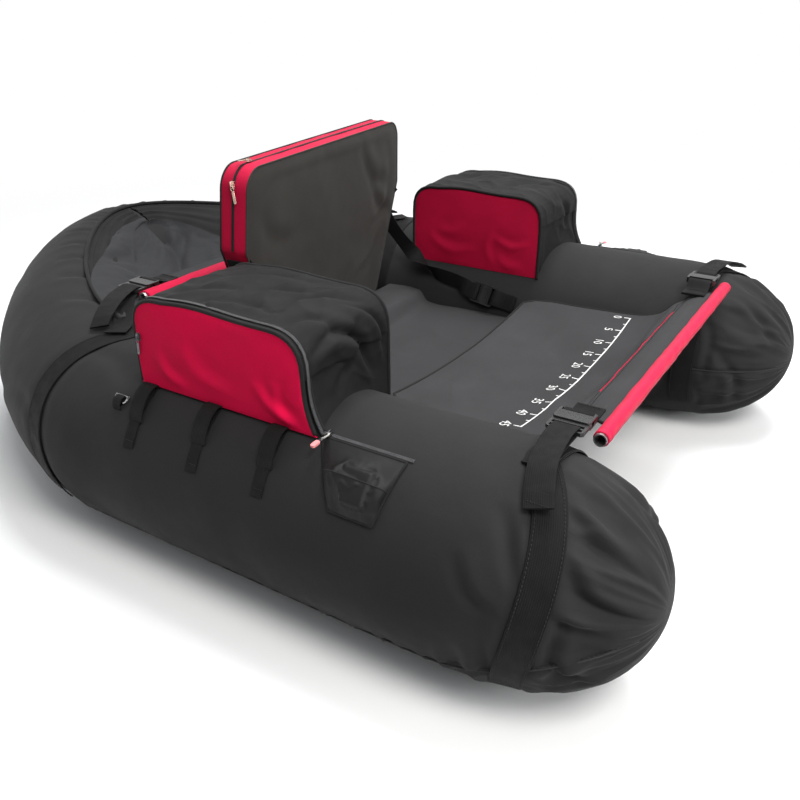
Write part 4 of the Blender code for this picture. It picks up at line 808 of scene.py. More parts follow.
def yarns(tree, vector, pitch, diagonal=False):
    """Height of a plain weave with a yarn every pitch, from 0 to 1, on coordinates in metres."""
    x, y = [math_node(tree, "MULTIPLY", part, math.pi / pitch) for part in split(tree, vector)[:2]]
    if diagonal:
        x, y = math_node(tree, "ADD", x, y), math_node(tree, "SUBTRACT", x, y)
    wave = math_node(tree, "MULTIPLY", math_node(tree, "SINE", x), math_node(tree, "SINE", y))
    return math_node(tree, "ADD", math_node(tree, "MULTIPLY", wave, 0.5), 0.5)


def cloth_map(tree):
    """Coordinates in metres along the cloth of each piece."""
    node = tree.nodes.new("ShaderNodeUVMap")
    node.uv_map = CLOTH_MAP
    return node.outputs[0]


def cloth(name, colour, pitch=0.0009, depth=0.00025, rough=0.78, sheen=0.03, mottle=0.18, uv=True,
          diagonal=False, crumple=0.0):
    """Woven cloth: yarns in relief, uneven dye with painted shade between the yarns, soft sheen and, if asked for,
    small crumples.
    """
    material, tree, shader, place = new_material(name)
    weave = yarns(tree, cloth_map(tree) if uv else place, pitch, diagonal)
    cloud = noise_value(tree, place, CLOTH_CLOUD_SCALE, 4.0)
    grain = noise_value(tree, place, CLOTH_GRAIN_SCALE, 2.0)
    # colour mixes random dye tone with the weave's height, so yarns are paler on top and darker between them:
    # painted shade
    tone = blended(tree, (cloud, grain, weave), CLOTH_DYE_AND_WEAVE_SHADE_SHARES)
    light = [min(c, 1) for c in scaled(colour, 1 + mottle)]
    beneath = dress(
        tree, shader,
        shades(tree, ranged(tree, tone, CLOTH_RANGE_SHARES, WHOLE_SHARES), scaled(colour, 1 - mottle), light),
        ranged(tree, cloud, NOISE_SHARES, (rough - CLOTH_ROUGH_SHARE, rough + CLOTH_ROUGH_SHARE)),
        weave, CLOTH_RELIEF_SHARE, depth,
        (("Sheen Weight", sheen), ("Sheen Roughness", SHEEN_ROUGH_SHARE),
         ("Specular IOR Level", CLOTH_SPECULAR_SHARE)))
    if crumple:
        crumples = noise_value(tree, place, CLOTH_CRUMPLE_SCALE, 3.0, CRUMPLE_ROUGH_SHARE)
        bump(tree, crumples, CRUMPLE_RELIEF_SHARE, crumple, beneath)
    return material


def webbing_material(name, colour):
    """Woven webbing: ribs along it and picks across it, on coordinates in metres, its colour paler on the ribs'
    crowns and darker between them as painted shade.
    """
    material, tree, shader, place = new_material(name)
    along, across = split(tree, cloth_map(tree))[:2]
    ribs = ripples(tree, across, RIB_PITCH)
    shifted = math_node(tree, "ADD", along, math_node(tree, "MULTIPLY", ribs, RIB_PULL))
    picks = ripples(tree, shifted, PICK_PITCH)
    height = math_node(tree, "ADD", blended(tree, (ribs, picks), (WEB_WEAVE_SHARE, WEB_WEAVE_SHARE)), 0.5)
    cloud = noise_value(tree, place, WEB_CLOUD_SCALE)
    # colour follows the weave's height: paler crowns and darker valleys are painted shade, mixed with random cloud
    tone = ranged(tree, blended(tree, (height, cloud), WEB_WEAVE_SHADE_AND_CLOUD_SHARES), WEB_RANGE_SHARES, WHOLE_SHARES)
    dress(tree, shader,
          shades(tree, tone, scaled(colour, WEB_DARK_SHARE), scaled(colour, WEB_LIGHT_SHARE)),
          ranged(tree, cloud, NOISE_SHARES, WEB_ROUGH_SHARES), height, WEB_RELIEF_SHARE, WEB_RELIEF,
          (("Sheen Weight", WEB_SHEEN_SHARE), ("Specular IOR Level", WEB_SPECULAR_SHARE)))
    return material


def plastic_material(name, colour, rough):
    """Moulded plastic with a fine spark finish, paler on its sharp edges and corners."""
    material, tree, shader, place = new_material(name)
    grain = noise_value(tree, place, PLASTIC_GRAIN_SCALE, 2.0)
    cloud = noise_value(tree, place, PLASTIC_CLOUD_SCALE)
    corners = tree.nodes.new("ShaderNodeNewGeometry").outputs["Pointiness"]
    # paler on sharp edges and corners
    edge = ranged(tree, corners, PLASTIC_EDGE_SHARES, PLASTIC_EDGE_PALE_SHARES)
    tone = math_node(tree, "ADD", math_node(tree, "MULTIPLY", cloud, PLASTIC_CLOUD_SHARE), edge)
    light = scaled(colour, PLASTIC_LIGHT_SHARE, PLASTIC_LIGHT_ADDED_SHARE)
    dress(tree, shader, shades(tree, tone, colour, light),
          ranged(tree, grain, NOISE_SHARES, [rough + share for share in PLASTIC_ROUGH_SHARES]),
          grain, PLASTIC_RELIEF_SHARE, PLASTIC_RELIEF)
    return material


def metal_material(name, colour, rough=0.3):
    """Plated metal with fine scratches and a little tarnish."""
    material, tree, shader, place = new_material(name)
    scratch = noise_value(tree, place, METAL_SCRATCH_SCALE, 4.0, METAL_SCRATCH_SHARE)
    cloud = noise_value(tree, place, METAL_CLOUD_SCALE, 2.0)
    tone = ranged(tree, cloud, METAL_CLOUD_SHARES, WHOLE_SHARES)
    dress(tree, shader, shades(tree, tone, scaled(colour, METAL_DARK_SHARE), colour),
          ranged(tree, scratch, NOISE_SHARES, [rough + share for share in METAL_ROUGH_SHARES]),
          scratch, METAL_RELIEF_SHARE, METAL_RELIEF, (("Metallic", 1.0),))
    return material


def zip_material(name, colour):
    """Zip tape with a coil of teeth along its middle, on coordinates in metres."""
    material, tree, shader, place = new_material(name)
    along, across = split(tree, cloth_map(tree))[:2]
    teeth = ripples(tree, along, TOOTH_PITCH)
    off = math_node(tree, "ABSOLUTE", math_node(tree, "SUBTRACT", across, ZIP_WIDTH / 2))
    middle = ranged(tree, off, TEETH_EDGES, WHOLE_SHARES[::-1])
    height = math_node(tree, "MULTIPLY", math_node(tree, "ADD", teeth, TOOTH_LIFT_SHARE), middle)
    cloud = ranged(tree, noise_value(tree, place, TEETH_CLOUD_SCALE), NOISE_SHARES, TEETH_CLOUD_SHARES)
    tone = math_node(tree, "MULTIPLY", middle, cloud)
    dress(tree, shader,
          shades(tree, tone, colour, scaled(colour, TEETH_LIGHT_SHARE, TEETH_LIGHT_ADDED_SHARE)),
          ranged(tree, middle, WHOLE_SHARES, ZIP_ROUGH_SHARES), height, ZIP_RELIEF_SHARE, ZIP_RELIEF)
    return material


BLACK = (0.0150, 0.0148, 0.0150)
GREY = (0.0330, 0.0330, 0.0345)
RED = (0.46, 0.0008, 0.036)

nylon = cloth("hull_nylon", BLACK, mottle=0.22, crumple=0.0020)
bag_nylon = cloth("bag_nylon", (0.0062, 0.0062, 0.0063), mottle=0.30, crumple=0.0040, rough=0.78, sheen=0.003)
pocket_nylon = cloth("pocket_nylon", (0.0030, 0.0030, 0.0031), mottle=0.25, crumple=0.0026, rough=0.5, sheen=0.006)
# door panels' red: a brighter copy of red_nylon, painted light standing for the light falling on the near door
# panel
door_nylon_painted_light = cloth("door_nylon_painted_light", (0.86, 0.0014, 0.066), mottle=0.12, crumple=0.0014, rough=0.76, sheen=0.01)
red_nylon = cloth("red_nylon", RED, mottle=0.12, crumple=0.0012, rough=0.72, sheen=0.02)
# front sleeve's red: a brighter, shinier copy of red_nylon, painted light for the strong light on the front bar
bar_nylon_painted_light = cloth("bar_nylon_painted_light", (0.56, 0.0080, 0.050), mottle=0.10, crumple=0.0010, rough=0.6, sheen=0.05)
back_nylon = cloth("back_nylon", (0.0290, 0.0277, 0.0248), mottle=0.20, crumple=0.0016)
panel_cloth = cloth("panel_cloth", GREY, pitch=0.0013, mottle=0.16, crumple=0.0015)
mesh_cloth = cloth("mesh_cloth", GREY, pitch=0.0018, depth=0.0006, mottle=0.35, diagonal=True)
web = webbing_material("webbing", (0.0048, 0.0047, 0.0047))
thread = cloth("thread", (0.020, 0.020, 0.020), pitch=0.0006, uv=False)
welt_cloth = cloth("welt_cloth", (0.034, 0.034, 0.034), pitch=0.0006, uv=False)
piping_cloth = cloth("piping_cloth", (0.0085, 0.0085, 0.0088), pitch=0.0008, mottle=0.1)
plastic = plastic_material("buckle_plastic", (0.0050, 0.0050, 0.0052), 0.30)
zip_black = zip_material("zip_black", (0.012, 0.012, 0.013))
pull_metal = metal_material("pull_metal", (0.72, 0.50, 0.40), 0.24)
cord_cloth = cloth("cord_cloth", (0.52, 0.50, 0.47), pitch=0.0006, uv=False)
pull_rubber = plastic_material("pull_rubber", (0.60, 0.20, 0.20), 0.45)
dark_metal = metal_material("dark_metal", (0.16, 0.16, 0.17))
ring_metal = metal_material("ring_metal", (0.30, 0.30, 0.30), 0.25)
bar_metal = metal_material("bar_metal", (0.62, 0.62, 0.63), 0.35)
# dark cloth of the hold's walls: black cloth, darkened further as painted shade on the steep walls
hold_cloth_black_and_painted_shade = cloth("hold_cloth_black_and_painted_shade", (0.0048, 0.0048, 0.0050), pitch=0.0013, mottle=0.2, crumple=0.002)
deck_cloth = cloth("deck_cloth", (0.0225, 0.0228, 0.0243), pitch=0.0013, mottle=0.25, crumple=0.004)
print_white = cloth("print_white", (0.72, 0.72, 0.70), pitch=0.0013, mottle=0.08, uv=False)


# Mesh helpers

def make_object(name, points, faces, materials, uvs=None, indices=None, smooth=True):
    mesh = bpy.data.meshes.new(name)
    mesh.from_pydata([tuple(p) for p in points], [], faces)
    for material in materials:
        mesh.materials.append(material)
    if uvs is not None:
        layer = mesh.uv_layers.new(name=CLOTH_MAP)
        loops = np.zeros(len(mesh.loops), np.int32)
        mesh.loops.foreach_get("vertex_index", loops)
        layer.data.foreach_set("uv", np.asarray(uvs, np.float32)[loops].ravel())
    if indices is not None:
        mesh.polygons.foreach_set("material_index", np.asarray(indices, np.int32))
    mesh.polygons.foreach_set("use_smooth", [smooth] * len(mesh.polygons))
    mesh.update()
    item = bpy.data.objects.new(name, mesh)
    bpy.context.scene.collection.objects.link(item)
    return item


def grid_faces(rows, columns, closed=False, first=0):
    """Faces of a grid of points laid row by row."""
    faces = []
    for i in range(rows - 1):
        for k in range(columns if closed else columns - 1):
            j = (k + 1) % columns
            a = first + i * columns
            b = a + columns
            faces.append((a + k, b + k, b + j, a + j))
    return faces


def capped_faces(rows, columns, first=0):
    """Faces of a tube of points laid ring by ring, with both its ends closed."""
    last = first + (rows - 1) * columns
    caps = [tuple(range(first, first + columns)), tuple(reversed(range(last, last + columns)))]
    return grid_faces(rows, columns, closed=True, first=first) + caps


def unit(vectors):
    """Vectors of an array with the length 1."""
    return vectors / np.maximum(np.linalg.norm(vectors, axis=-1, keepdims=True), TINY)


def path_runs(points):
    """Distance along a path at each of its points."""
    return np.concatenate([[0], np.cumsum(np.linalg.norm(np.diff(points, axis=0), axis=1))])


def at_runs(values, runs, wanted):
    """Rows of values read at the wanted distances along a path."""
    return np.stack([np.interp(wanted, runs, column) for column in np.transpose(values)], -1)


def clamped(value, low=0, high=1):
    return min(max(value, low), high)


def seen_length(points):
    return sum(math.dist(a, b) for a, b in zip(points, points[1:]))


def resampled(route, steps):
    """Points and ways across on a smooth curve through a route, evenly spaced, and their distances."""
    points = [np.array(p, float) for p, across in route]
    across = [np.array(a, float) for p, a in route]
    dense_points, dense_across = [], []
    last = len(points) - 1
    for i in range(last):
        a, b = points[i], points[i + 1]
        reach = np.linalg.norm(b - a)
        slope_a = unit(b - points[max(i - 1, 0)]) * reach
        slope_b = unit(points[min(i + 2, last)] - a) * reach
        for t in np.linspace(0, 1, CURVE_STEPS, endpoint=False):
            h = (2 * t ** 3 - 3 * t ** 2 + 1, t ** 3 - 2 * t ** 2 + t, -2 * t ** 3 + 3 * t ** 2, t ** 3 - t ** 2)
            dense_points.append(h[0] * a + h[1] * slope_a + h[2] * b + h[3] * slope_b)
            dense_across.append(across[i] * (1 - t) + across[i + 1] * t)
    dense_points.append(points[-1])
    dense_across.append(across[-1])
    lengths = path_runs(dense_points)
    wanted = np.linspace(0, lengths[-1], steps)
    return at_runs(dense_points, lengths, wanted), at_runs(dense_across, lengths, wanted), wanted


def band(name, route, width, thickness, material, body, steps=None, hem=0.0):
    """Webbing or tape along (point, way across) pairs: rounded edges and, if asked for, a folded end hem."""
    steps = steps or max(int(seen_length([p for p, across in route]) / BAND_STEP), 8)
    points, across, runs = resampled(route, steps)
    along = unit(np.gradient(points, axis=0))
    across = unit(across - along * (across * along).sum(1, keepdims=True))
    out = np.cross(along, across)
    half = width / 2
    lip = thickness / 2
    profile = [(-half + lip * inward, lip * up) for inward, up in BAND_LIP_SHARES]
    profile.append((-half * BAND_SPAN_SHARE, lip * BAND_HOLLOW_SHARE))
    profile += [(-a, b) for a, b in reversed(profile)]
    profile += [(a, -b) for a, b in reversed(profile[1:-1])]
    grid, uvs = [], []
    for i, run in enumerate(runs):
        hemmed = clamped((hem - runs[-1] + run) / HEM_EDGE + 0.5) if hem else 0
        for a, b in profile:
            grid.append(points[i] + across[i] * a + out[i] * b * (1 + HEM_SWELL_SHARE * hemmed))
            uvs.append((run, a + half))
    item = make_object(name, grid, capped_faces(len(points), len(profile)), [material], uvs)
    item.data.set_sharp_from_angle(angle=math.radians(50))
    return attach(item, body) if body else item


def tube_piece(name, points, radius, material, body, sides=10, steps=None):
    """A round bead along points, such as piping, cord or thread."""
    steps = steps or max(int(seen_length(points) / BEAD_STEP), 8)
    centres, across, runs = resampled([(p, UP) for p in points], steps)
    along = unit(np.gradient(centres, axis=0))
    side = unit(np.cross(along, np.array(BEAD_SIDE)))
    other = np.cross(along, side)
    grid, uvs = [], []
    for i, run in enumerate(runs):
        for k in range(sides):
            angle = 2 * math.pi * k / sides
            grid.append(centres[i] + (side[i] * math.cos(angle) + other[i] * math.sin(angle)) * radius)
            uvs.append((run, radius * angle))
    item = make_object(name, grid, capped_faces(len(centres), sides), [material], uvs)
    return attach(item, body)


def stitches(name, points, normals, body, gap=STITCH_STEP, length=STITCH_LENGTH):
    """A row of thread stitches lying on a surface along points."""
    path, out, runs = resampled(list(zip(points, normals)), max(len(points) * 6, 24))
    grid, faces = [], []
    for number in range(max(int(runs[-1] / gap), 2)):
        start = number * gap
        places = at_runs(path, runs, [start + length * share for share in (0, 0.5, 1)])
        lift = unit(at_runs(out, runs, start))
        side = unit(np.cross(places[2] - places[0], lift))
        faces += capped_faces(len(places), STITCH_SIDES, first=len(grid))
        for rise, point in zip(STITCH_RISE_SHARES, places):
            for k in range(STITCH_SIDES):
                angle = 2 * math.pi * k / STITCH_SIDES
                ring = side * math.cos(angle) + lift * (math.sin(angle) + rise)
                grid.append(point + ring * STITCH_RADIUS)
    item = make_object(name, grid, faces, [thread])
    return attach(item, body)


def cross_seam(name, middle, across, half, out, body, stitch):
    """Stitches across a webbing."""
    line = [middle + across * share * half for share in CROSS_SHARES]
    stitches(name, line, [out] * len(line), body, **stitch)


def side_name(side):
    return "left" if side > 0 else "right"


# Hull surface

def hump(share):
    """Rise from 0 to 1 at a third of the way and slow fall back to 0."""
    return 27 / 4 * share * (1 - share) ** 2 if 0 < share < 1 else 0.0


def lean_share(angle):
    return hump((angle % (2 * math.pi) - math.pi / 2) / math.pi)


def height_share(turn):
    return SIDE_HEIGHT_SHARE + (REAR_HEIGHT_SHARE - SIDE_HEIGHT_SHARE) * math.sin(turn) ** 2


def tip_share(share):
    return math.sqrt(max(1 - abs(share) ** TIP_POWER_SHARE, 0))


def bend_place(turn):
    power = BEND_POWER_SHARE
    side_turn = min(turn, BEND_ROUND_TURN)
    c, s = math.cos(side_turn), math.sin(side_turn)
    place = Vector((SPINE_HALF_SPACING * c ** power, STRAIGHT_REAR_Y + BEND_DEPTH * s ** power, 0))
    away = -SPINE_HALF_SPACING * c ** (power - 1) * s
    back = BEND_DEPTH * max(s, TINY) ** (power - 1) * c
    along = Vector((away, back, 0)).normalized()
    if turn <= BEND_ROUND_TURN:
        return place, along
    share = (turn - BEND_ROUND_TURN) / (math.pi / 2 - BEND_ROUND_TURN)
    apex = Vector((0, BEND_APEX_Y, 0))
    guide = place + along * ((apex.y - place.y) / along.y)
    place, along = place.lerp(guide, share), (guide - place).lerp(apex - guide, share).normalized()
    return place.lerp(guide.lerp(apex, share), share), along


def station(s):
    """Row of the hull at s: -1 at the tip's pole, 0 to 1 along the pontoon, 2 at the middle of the rear."""
    tall = TUBE_RADIUS * SIDE_HEIGHT_SHARE
    inboard, along = Vector((-1, 0, 0)), AHEAD
    if s < 0:
        size = tip_share(s)
        centre = Vector((SPINE_HALF_SPACING, STRAIGHT_FRONT_Y + s * TIP_LENGTH, tall * FLAT))
        return centre, inboard, along, TUBE_RADIUS * size, tall * size
    if s <= 1:
        y = STRAIGHT_FRONT_Y + (STRAIGHT_REAR_Y - STRAIGHT_FRONT_Y) * s
        return Vector((SPINE_HALF_SPACING, y, tall * FLAT)), inboard, along, TUBE_RADIUS, tall
    turn = (s - 1) * math.pi / 2
    place, along = bend_place(turn)
    share = math.sin(turn) ** 2
    inward = (Vector((0, BEND_CENTRE_Y, 0)) - place).normalized()
    inboard = (Vector((-along.y, along.x, 0)) * (1 - share) + inward * share).normalized()
    along = Vector((inboard.y, -inboard.x, 0))
    tall = TUBE_RADIUS * height_share(turn)
    return Vector((place.x, place.y, tall * FLAT)), inboard, along, TUBE_RADIUS, tall


def skin(s, angle, side=1, outset=0.0):
    """Point on the tube's smooth skin, and the way out of it."""
    centre, inboard, along, wide, tall = station(s)
    c, n = math.cos(angle), math.sin(angle)
    out = (inboard * (c * tall) + UP * (n * wide)).normalized() if wide > TINY else -AHEAD
    if s < 0:
        slope = TIP_POWER_SHARE * (-s) ** (TIP_POWER_SHARE - 1) / (2 * max(tip_share(s), POLE_SLOPE_SHARE))
        out = (out - AHEAD * slope * TUBE_RADIUS / TIP_LENGTH).normalized()
    point = centre + inboard * (wide * c) + UP * (tall * n) + out * outset
    point.z = max(point.z, outset * GROUND_SHARE)
    return Vector((side * point.x, point.y, point.z)), Vector((side * out.x, out.y, out.z))


def straight_skin(side, angle, outset=0.0):
    """Point on the straight pontoon's skin at the middle of its length, and the way out of it."""
    return skin(STRAIGHT_MIDDLE, angle, side, outset)


def hull_stations():
    """Stations of one half from its pole to the rear, with the run of the spine at each."""
    tips = [-math.sin(math.pi / 2 * i / TIP_ROWS) for i in range(TIP_ROWS, 0, -1)]
    tips[0] = -POLE_SHARE
    straight = [i / STRAIGHT_ROWS for i in range(STRAIGHT_ROWS)]
    bend = [1 + i / BEND_ROWS for i in range(BEND_ROWS + 1)]
    return tips + straight + bend


def spine_run(s):
    """Distance along the spine from the front of the straight pontoon, less than 0 in the tip."""
    if s < 0:
        return s * TIP_LENGTH
    straight = STRAIGHT_REAR_Y - STRAIGHT_FRONT_Y
    if s <= 1:
        return s * straight
    return straight + (s - 1) * BEND_LENGTH


def bend_length():
    return seen_length([bend_place(math.pi / 2 * i / LENGTH_STEPS)[0] for i in range(LENGTH_STEPS + 1)])


BEND_LENGTH = bend_length()


def strap_share_front(angle):
    share = (STRAIGHT_FRONT_Y - FRONT_STRAP_Y) / TIP_LENGTH
    return share + FRONT_STRAP_LEAN * hump(share) * lean_share(angle) / TIP_LENGTH


def strap_s(end, angle):
    """Station of a girth strap's middle at an angle round the section."""
    if end == "front":
        return -strap_share_front(angle)
    place = 1 + REAR_STRAP_TURN / (math.pi / 2)
    return place + REAR_STRAP_LEAN * lean_share(angle) / BEND_LENGTH


def bell(gap, width, power=2):
    return np.exp(-(np.abs(gap) / width) ** power)


def crease(u, v, start, end, width, depth):
    """Relief of one fold in the cloth: a valley with a low ridge beside it, fading at both ends."""
    a, b = np.array(start, float), np.array(end, float)
    length = np.linalg.norm(b - a)
    way = (b - a) / length
    t = ((u - a[0]) * way[0] + (v - a[1]) * way[1]) / length
    arc = np.sin(math.pi * np.clip(t, 0, 1))
    x = (u - a[0]) * -way[1] + (v - a[1]) * way[0] + CREASE_BOW_SHARE * length * arc ** 2
    fade = np.where((t > 0) & (t < 1), arc ** CREASE_FADE_SHARE, 0)
    ridge = bell(x - CREASE_RIDGE_OFF_SHARE * width, CREASE_RIDGE_WIDTH_SHARE * width)
    return depth * fade * (CREASE_RIDGE_SHARE * ridge - bell(x, width))


# Folds: start, end, width, depth; u runs back from the straight's front, v outboard from the crest
TIP_FOLDS = (
    ((-0.050, 0.075), (-0.195, 0.215), 0.0095, 0.0085),
    ((-0.115, 0.090), (-0.205, 0.170), 0.0075, 0.0065),
    ((-0.060, 0.190), (-0.135, 0.345), 0.0085, 0.0085),
    ((-0.140, 0.160), (-0.165, 0.320), 0.0075, 0.0075),
    ((-0.035, 0.240), (-0.075, 0.365), 0.0080, 0.0062),
    ((-0.085, 0.280), (-0.110, 0.390), 0.0065, 0.0055),
    ((-0.090, 0.035), (-0.200, 0.080), 0.0090, 0.0055),
    ((-0.020, 0.140), (-0.090, 0.200), 0.0080, 0.0042),
    ((-0.120, -0.060), (-0.195, -0.150), 0.0080, 0.0060),
    ((-0.050, -0.080), (-0.100, -0.250), 0.0080, 0.0070),
    ((-0.110, -0.170), (-0.150, -0.330), 0.0080, 0.0070),
    ((-0.010, -0.150), (-0.030, -0.300), 0.0075, 0.0060),
    ((-0.075, -0.230), (-0.085, -0.350), 0.0065, 0.0050),
    ((-0.075, 0.010), (-0.160, 0.010), 0.0085, 0.0035),
)
BEND_FOLDS = (
    ((0.70, -0.04), (0.78, 0.03), 0.008, 0.0046),
    ((0.79, -0.05), (0.85, 0.03), 0.007, 0.0060),
    ((0.87, -0.05), (0.91, 0.03), 0.006, 0.0066),
    ((0.93, -0.05), (0.965, 0.035), 0.006, 0.0066),
    ((0.99, -0.05), (1.02, 0.04), 0.006, 0.0070),
    ((1.05, -0.05), (1.075, 0.03), 0.006, 0.0066),
    ((1.11, -0.05), (1.125, 0.035), 0.006, 0.0060),
    ((1.17, -0.05), (1.18, 0.04), 0.007, 0.0056),
    ((0.60, 0.16), (0.84, 0.24), 0.012, 0.0028),
    ((0.94, 0.12), (1.06, 0.18), 0.011, 0.0030),
    ((0.45, 0.10), (0.66, 0.05), 0.013, 0.0024),
    ((0.70, -0.10), (0.90, -0.12), 0.006, 0.0036),
    ((0.80, -0.13), (1.05, -0.15), 0.006, 0.0038),
    ((0.86, -0.08), (1.08, -0.09), 0.006, 0.0034),
)
PUCKER_COUNT = 5.0
PUCKER_DEPTH = 0.0050
PUCKER_START_SHARE = 0.38
PUCKER_SPAN_SHARE = 0.66
PUCKER_FADE_SHARE = 1.1
PUCKER_TWIST_SHARE = 2.2
PUCKER_SEED = 3
PUCKER_SHARPNESS_SHARE = 3.2
PUCKER_LOW_SHARE = -0.6
PUCKER_LEVEL_SHARE = 0.35


def seam_angle(s):
    """Angle of the seam between the upper and the under panels, on the outer side."""
    first, last = SEAM_TURN_S
    return math.pi + SEAM_DROP * clamped((s - first) / (last - first))


def pucker(share, angle, side):
    """Gathers that run out from the pole of the tip."""
    window = math.sin(math.pi * clamped((share - PUCKER_START_SHARE) / PUCKER_SPAN_SHARE)) ** PUCKER_FADE_SHARE
    place = Vector((math.cos(angle), math.sin(angle), 0)) * PUCKER_COUNT
    place.z = share * PUCKER_TWIST_SHARE + PUCKER_SEED * side
    sharp = 1 - abs(noise.noise(place)) * PUCKER_SHARPNESS_SHARE
    return PUCKER_DEPTH * window * (max(sharp, PUCKER_LOW_SHARE) - PUCKER_LEVEL_SHARE)


def seam_gathers(u, gap, phase, side):
    """Gathers across a seam, with the seam's groove and the ridges along it."""
    ripple = GATHER_SHARES[0] * np.sin(u * 2 * math.pi / GATHER_PITCH + phase + 1.4 * np.sin(u * 37 + side))
    ripple += GATHER_SHARES[1] * np.sin(u * 2 * math.pi / GATHER_FINE_PITCH + 2 * phase)
    groove = SEAM_DEPTH * bell(gap, SEAM_WIDTH)
    ridge = SEAM_RIDGE * bell(np.abs(gap) - SEAM_RIDGE_OFF, SEAM_WIDTH)
    return GATHER_DEPTH * ripple * bell(gap, GATHER_WIDTH, 1.3), ridge - groove


def relief(side, s_list, angles):
    """How far the skin stands out of the plain form, row by row."""
    girth = TUBE_RADIUS * GIRTH_SHARE
    around = (angles - math.pi / 2 + math.pi) % (2 * math.pi) - math.pi
    u, v = np.meshgrid([spine_run(s) for s in s_list], around * girth, indexing="ij")
    s_grid = np.array(s_list)[:, None]
    total = np.zeros_like(u)
    for folds, share in ((TIP_FOLDS, 1 if side < 0 else LEFT_FOLD_SHARE), (BEND_FOLDS, 1)):
        for start, end, width, depth in folds:
            total += crease(u, v, start, end, width, depth * share)
    for i, s in enumerate(s_list):
        for k, angle in enumerate(angles):
            place = Vector((u[i, k], v[i, k], 0)) * UNEVEN_SCALE
            place += Vector((UNEVEN_SHIFT, 0, UNEVEN_SEED)) * side
            total[i, k] += UNEVEN * noise.noise(place) + UNEVEN_FINE * noise.noise(place * 3)
            if s < 0:
                total[i, k] += pucker(-s, angle, side)
    seams = np.array([seam_angle(s) for s in s_list])
    outer = (seams[:, None] - angles[None, :]) * girth
    inner = ((angles[None, :] + math.pi) % (2 * math.pi) - math.pi) * girth + 0 * u
    reach = np.clip(1 - np.abs(s_grid - GATHER_MIDDLE_S) / GATHER_REACH_S, GATHER_LEAST_SHARE, 1)
    for gap, phase in zip((outer, inner), GATHER_PHASES):
        gathers, seam = seam_gathers(u, gap, phase, side)
        total += reach * gathers + seam
    # the webbing draws the skin in
    for end in ("front", "rear"):
        off = np.abs(u - np.array([spine_run(strap_s(end, a)) for a in angles])[None, :])
        total *= 1 - STRAP_HOLD_SHARE * bell(off, STRAP_HOLD_WIDTH, 4)
        total += STRAP_RIDGE * bell(off - STRAP_RIDGE_OFF, STRAP_RIDGE_WIDTH)
        total -= STRAP_PRESS * bell(off, STRAP_PRESS_WIDTH, 4)
    return total * np.clip((1 + s_grid) / POLE_FADE_S, 0, 1)


ANGLES = np.array([2 * math.pi * (k + 0.5) / HULL_SIDES for k in range(HULL_SIDES)])


def hull_half(side):
    """Grid of skin points of one half, pole first, with the relief added."""
    s_list = hull_stations()
    heights = relief(side, s_list, ANGLES)
    rows = []
    for i, s in enumerate(s_list):
        row = []
        for k, angle in enumerate(ANGLES):
            point, out = skin(s, angle, side)
            point = point + out * heights[i, k]
            point.z = max(point.z, 0.0)
            row.append(point)
        rows.append(row)
    return s_list, rows


def build_hull():
    points, uvs = [], []
    right_s, right = hull_half(-1)
    left_s, left = hull_half(1)
    rows = right + left[::-1][1:]
    runs = [spine_run(s) for s in right_s] + [2 * spine_run(2) - spine_run(s) for s in left_s[::-1][1:]]
    for run, row in zip(runs, rows):
        points += row
        uvs += [(run, angle * TUBE_RADIUS) for angle in ANGLES]
    faces = [tuple(reversed(f)) for f in grid_faces(len(rows), HULL_SIDES, closed=True)]
    for row, turned in ((0, 1), (len(rows) - 1, -1)):
        ring = [row * HULL_SIDES + k for k in range(HULL_SIDES)]
        tip = len(points)
        points.append(sum((points[i] for i in ring), Vector()) / HULL_SIDES)
        uvs.append((runs[row], 0))
        faces += [(*pair[::turned], tip) for pair in zip(ring, ring[1:] + ring[:1])]
    item = make_object("hull_skin", points, faces, [nylon], uvs)
    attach(item, "hull")
    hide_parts("rear_cover", "right_cover", "left_cover", "right_bladder", "left_bladder")


def build_seams(side):
    """Threads and welts of the outer and the inner seam."""
    values = [SEAM_FIRST_S + SEAM_STEP_S * i for i in range(SEAM_STEPS)]
    for name, angle_of, off in (("outer", seam_angle, -SEAM_OFF), ("inner", lambda s: 0.0, SEAM_OFF)):
        points, normals = zip(*[skin(s, angle_of(s) + off, side, SEAM_LIFT) for s in values])
        stitches(f"{name}_seam_{side_name(side)}", points, normals, "hull", **SEAM_STITCH)
        welt = [skin(s, angle_of(s), side, WELT_LIFT)[0] for s in values]
        tube_piece(f"{name}_welt_{side_name(side)}", welt, WELT_RADIUS, welt_cloth, "hull", sides=6,
                   steps=400)


# Girth straps

def girth_strap(side, end):
    name = f"{end}_{side_name(side)}_girth"
    lift = CLEARANCE + WEBBING_THICKNESS / 2 + STITCH_GAP
    route, outs = [], []
    for i in range(GIRTH_STEPS + 1):
        turn = GIRTH_OPEN_SHARE + (1 - 2 * GIRTH_OPEN_SHARE) * i / GIRTH_STEPS
        angle = -math.pi / 2 + 2 * math.pi * turn
        s = strap_s(end, angle)
        point, out = skin(s, angle, side, lift)
        ahead = skin(s + GIRTH_AHEAD_S, angle, side, lift)[0]
        route.append((point, (ahead - point).normalized()))
        outs.append(out)
    item = band(name, route, WEBBING_WIDTH, WEBBING_THICKNESS, web, "hull", steps=150)
    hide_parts(name + "_strap")
    for edge, letter in ((-1, "b"), (1, "a")):
        reach = edge * (WEBBING_WIDTH / 2 - GIRTH_SEAM_INSET)
        line = [p + across * reach + out * WEBBING_THICKNESS / 2 for (p, across), out in zip(route, outs)]
        stitches(f"{name}_seam_{letter}", line, outs, "hull")


# Cloth grids

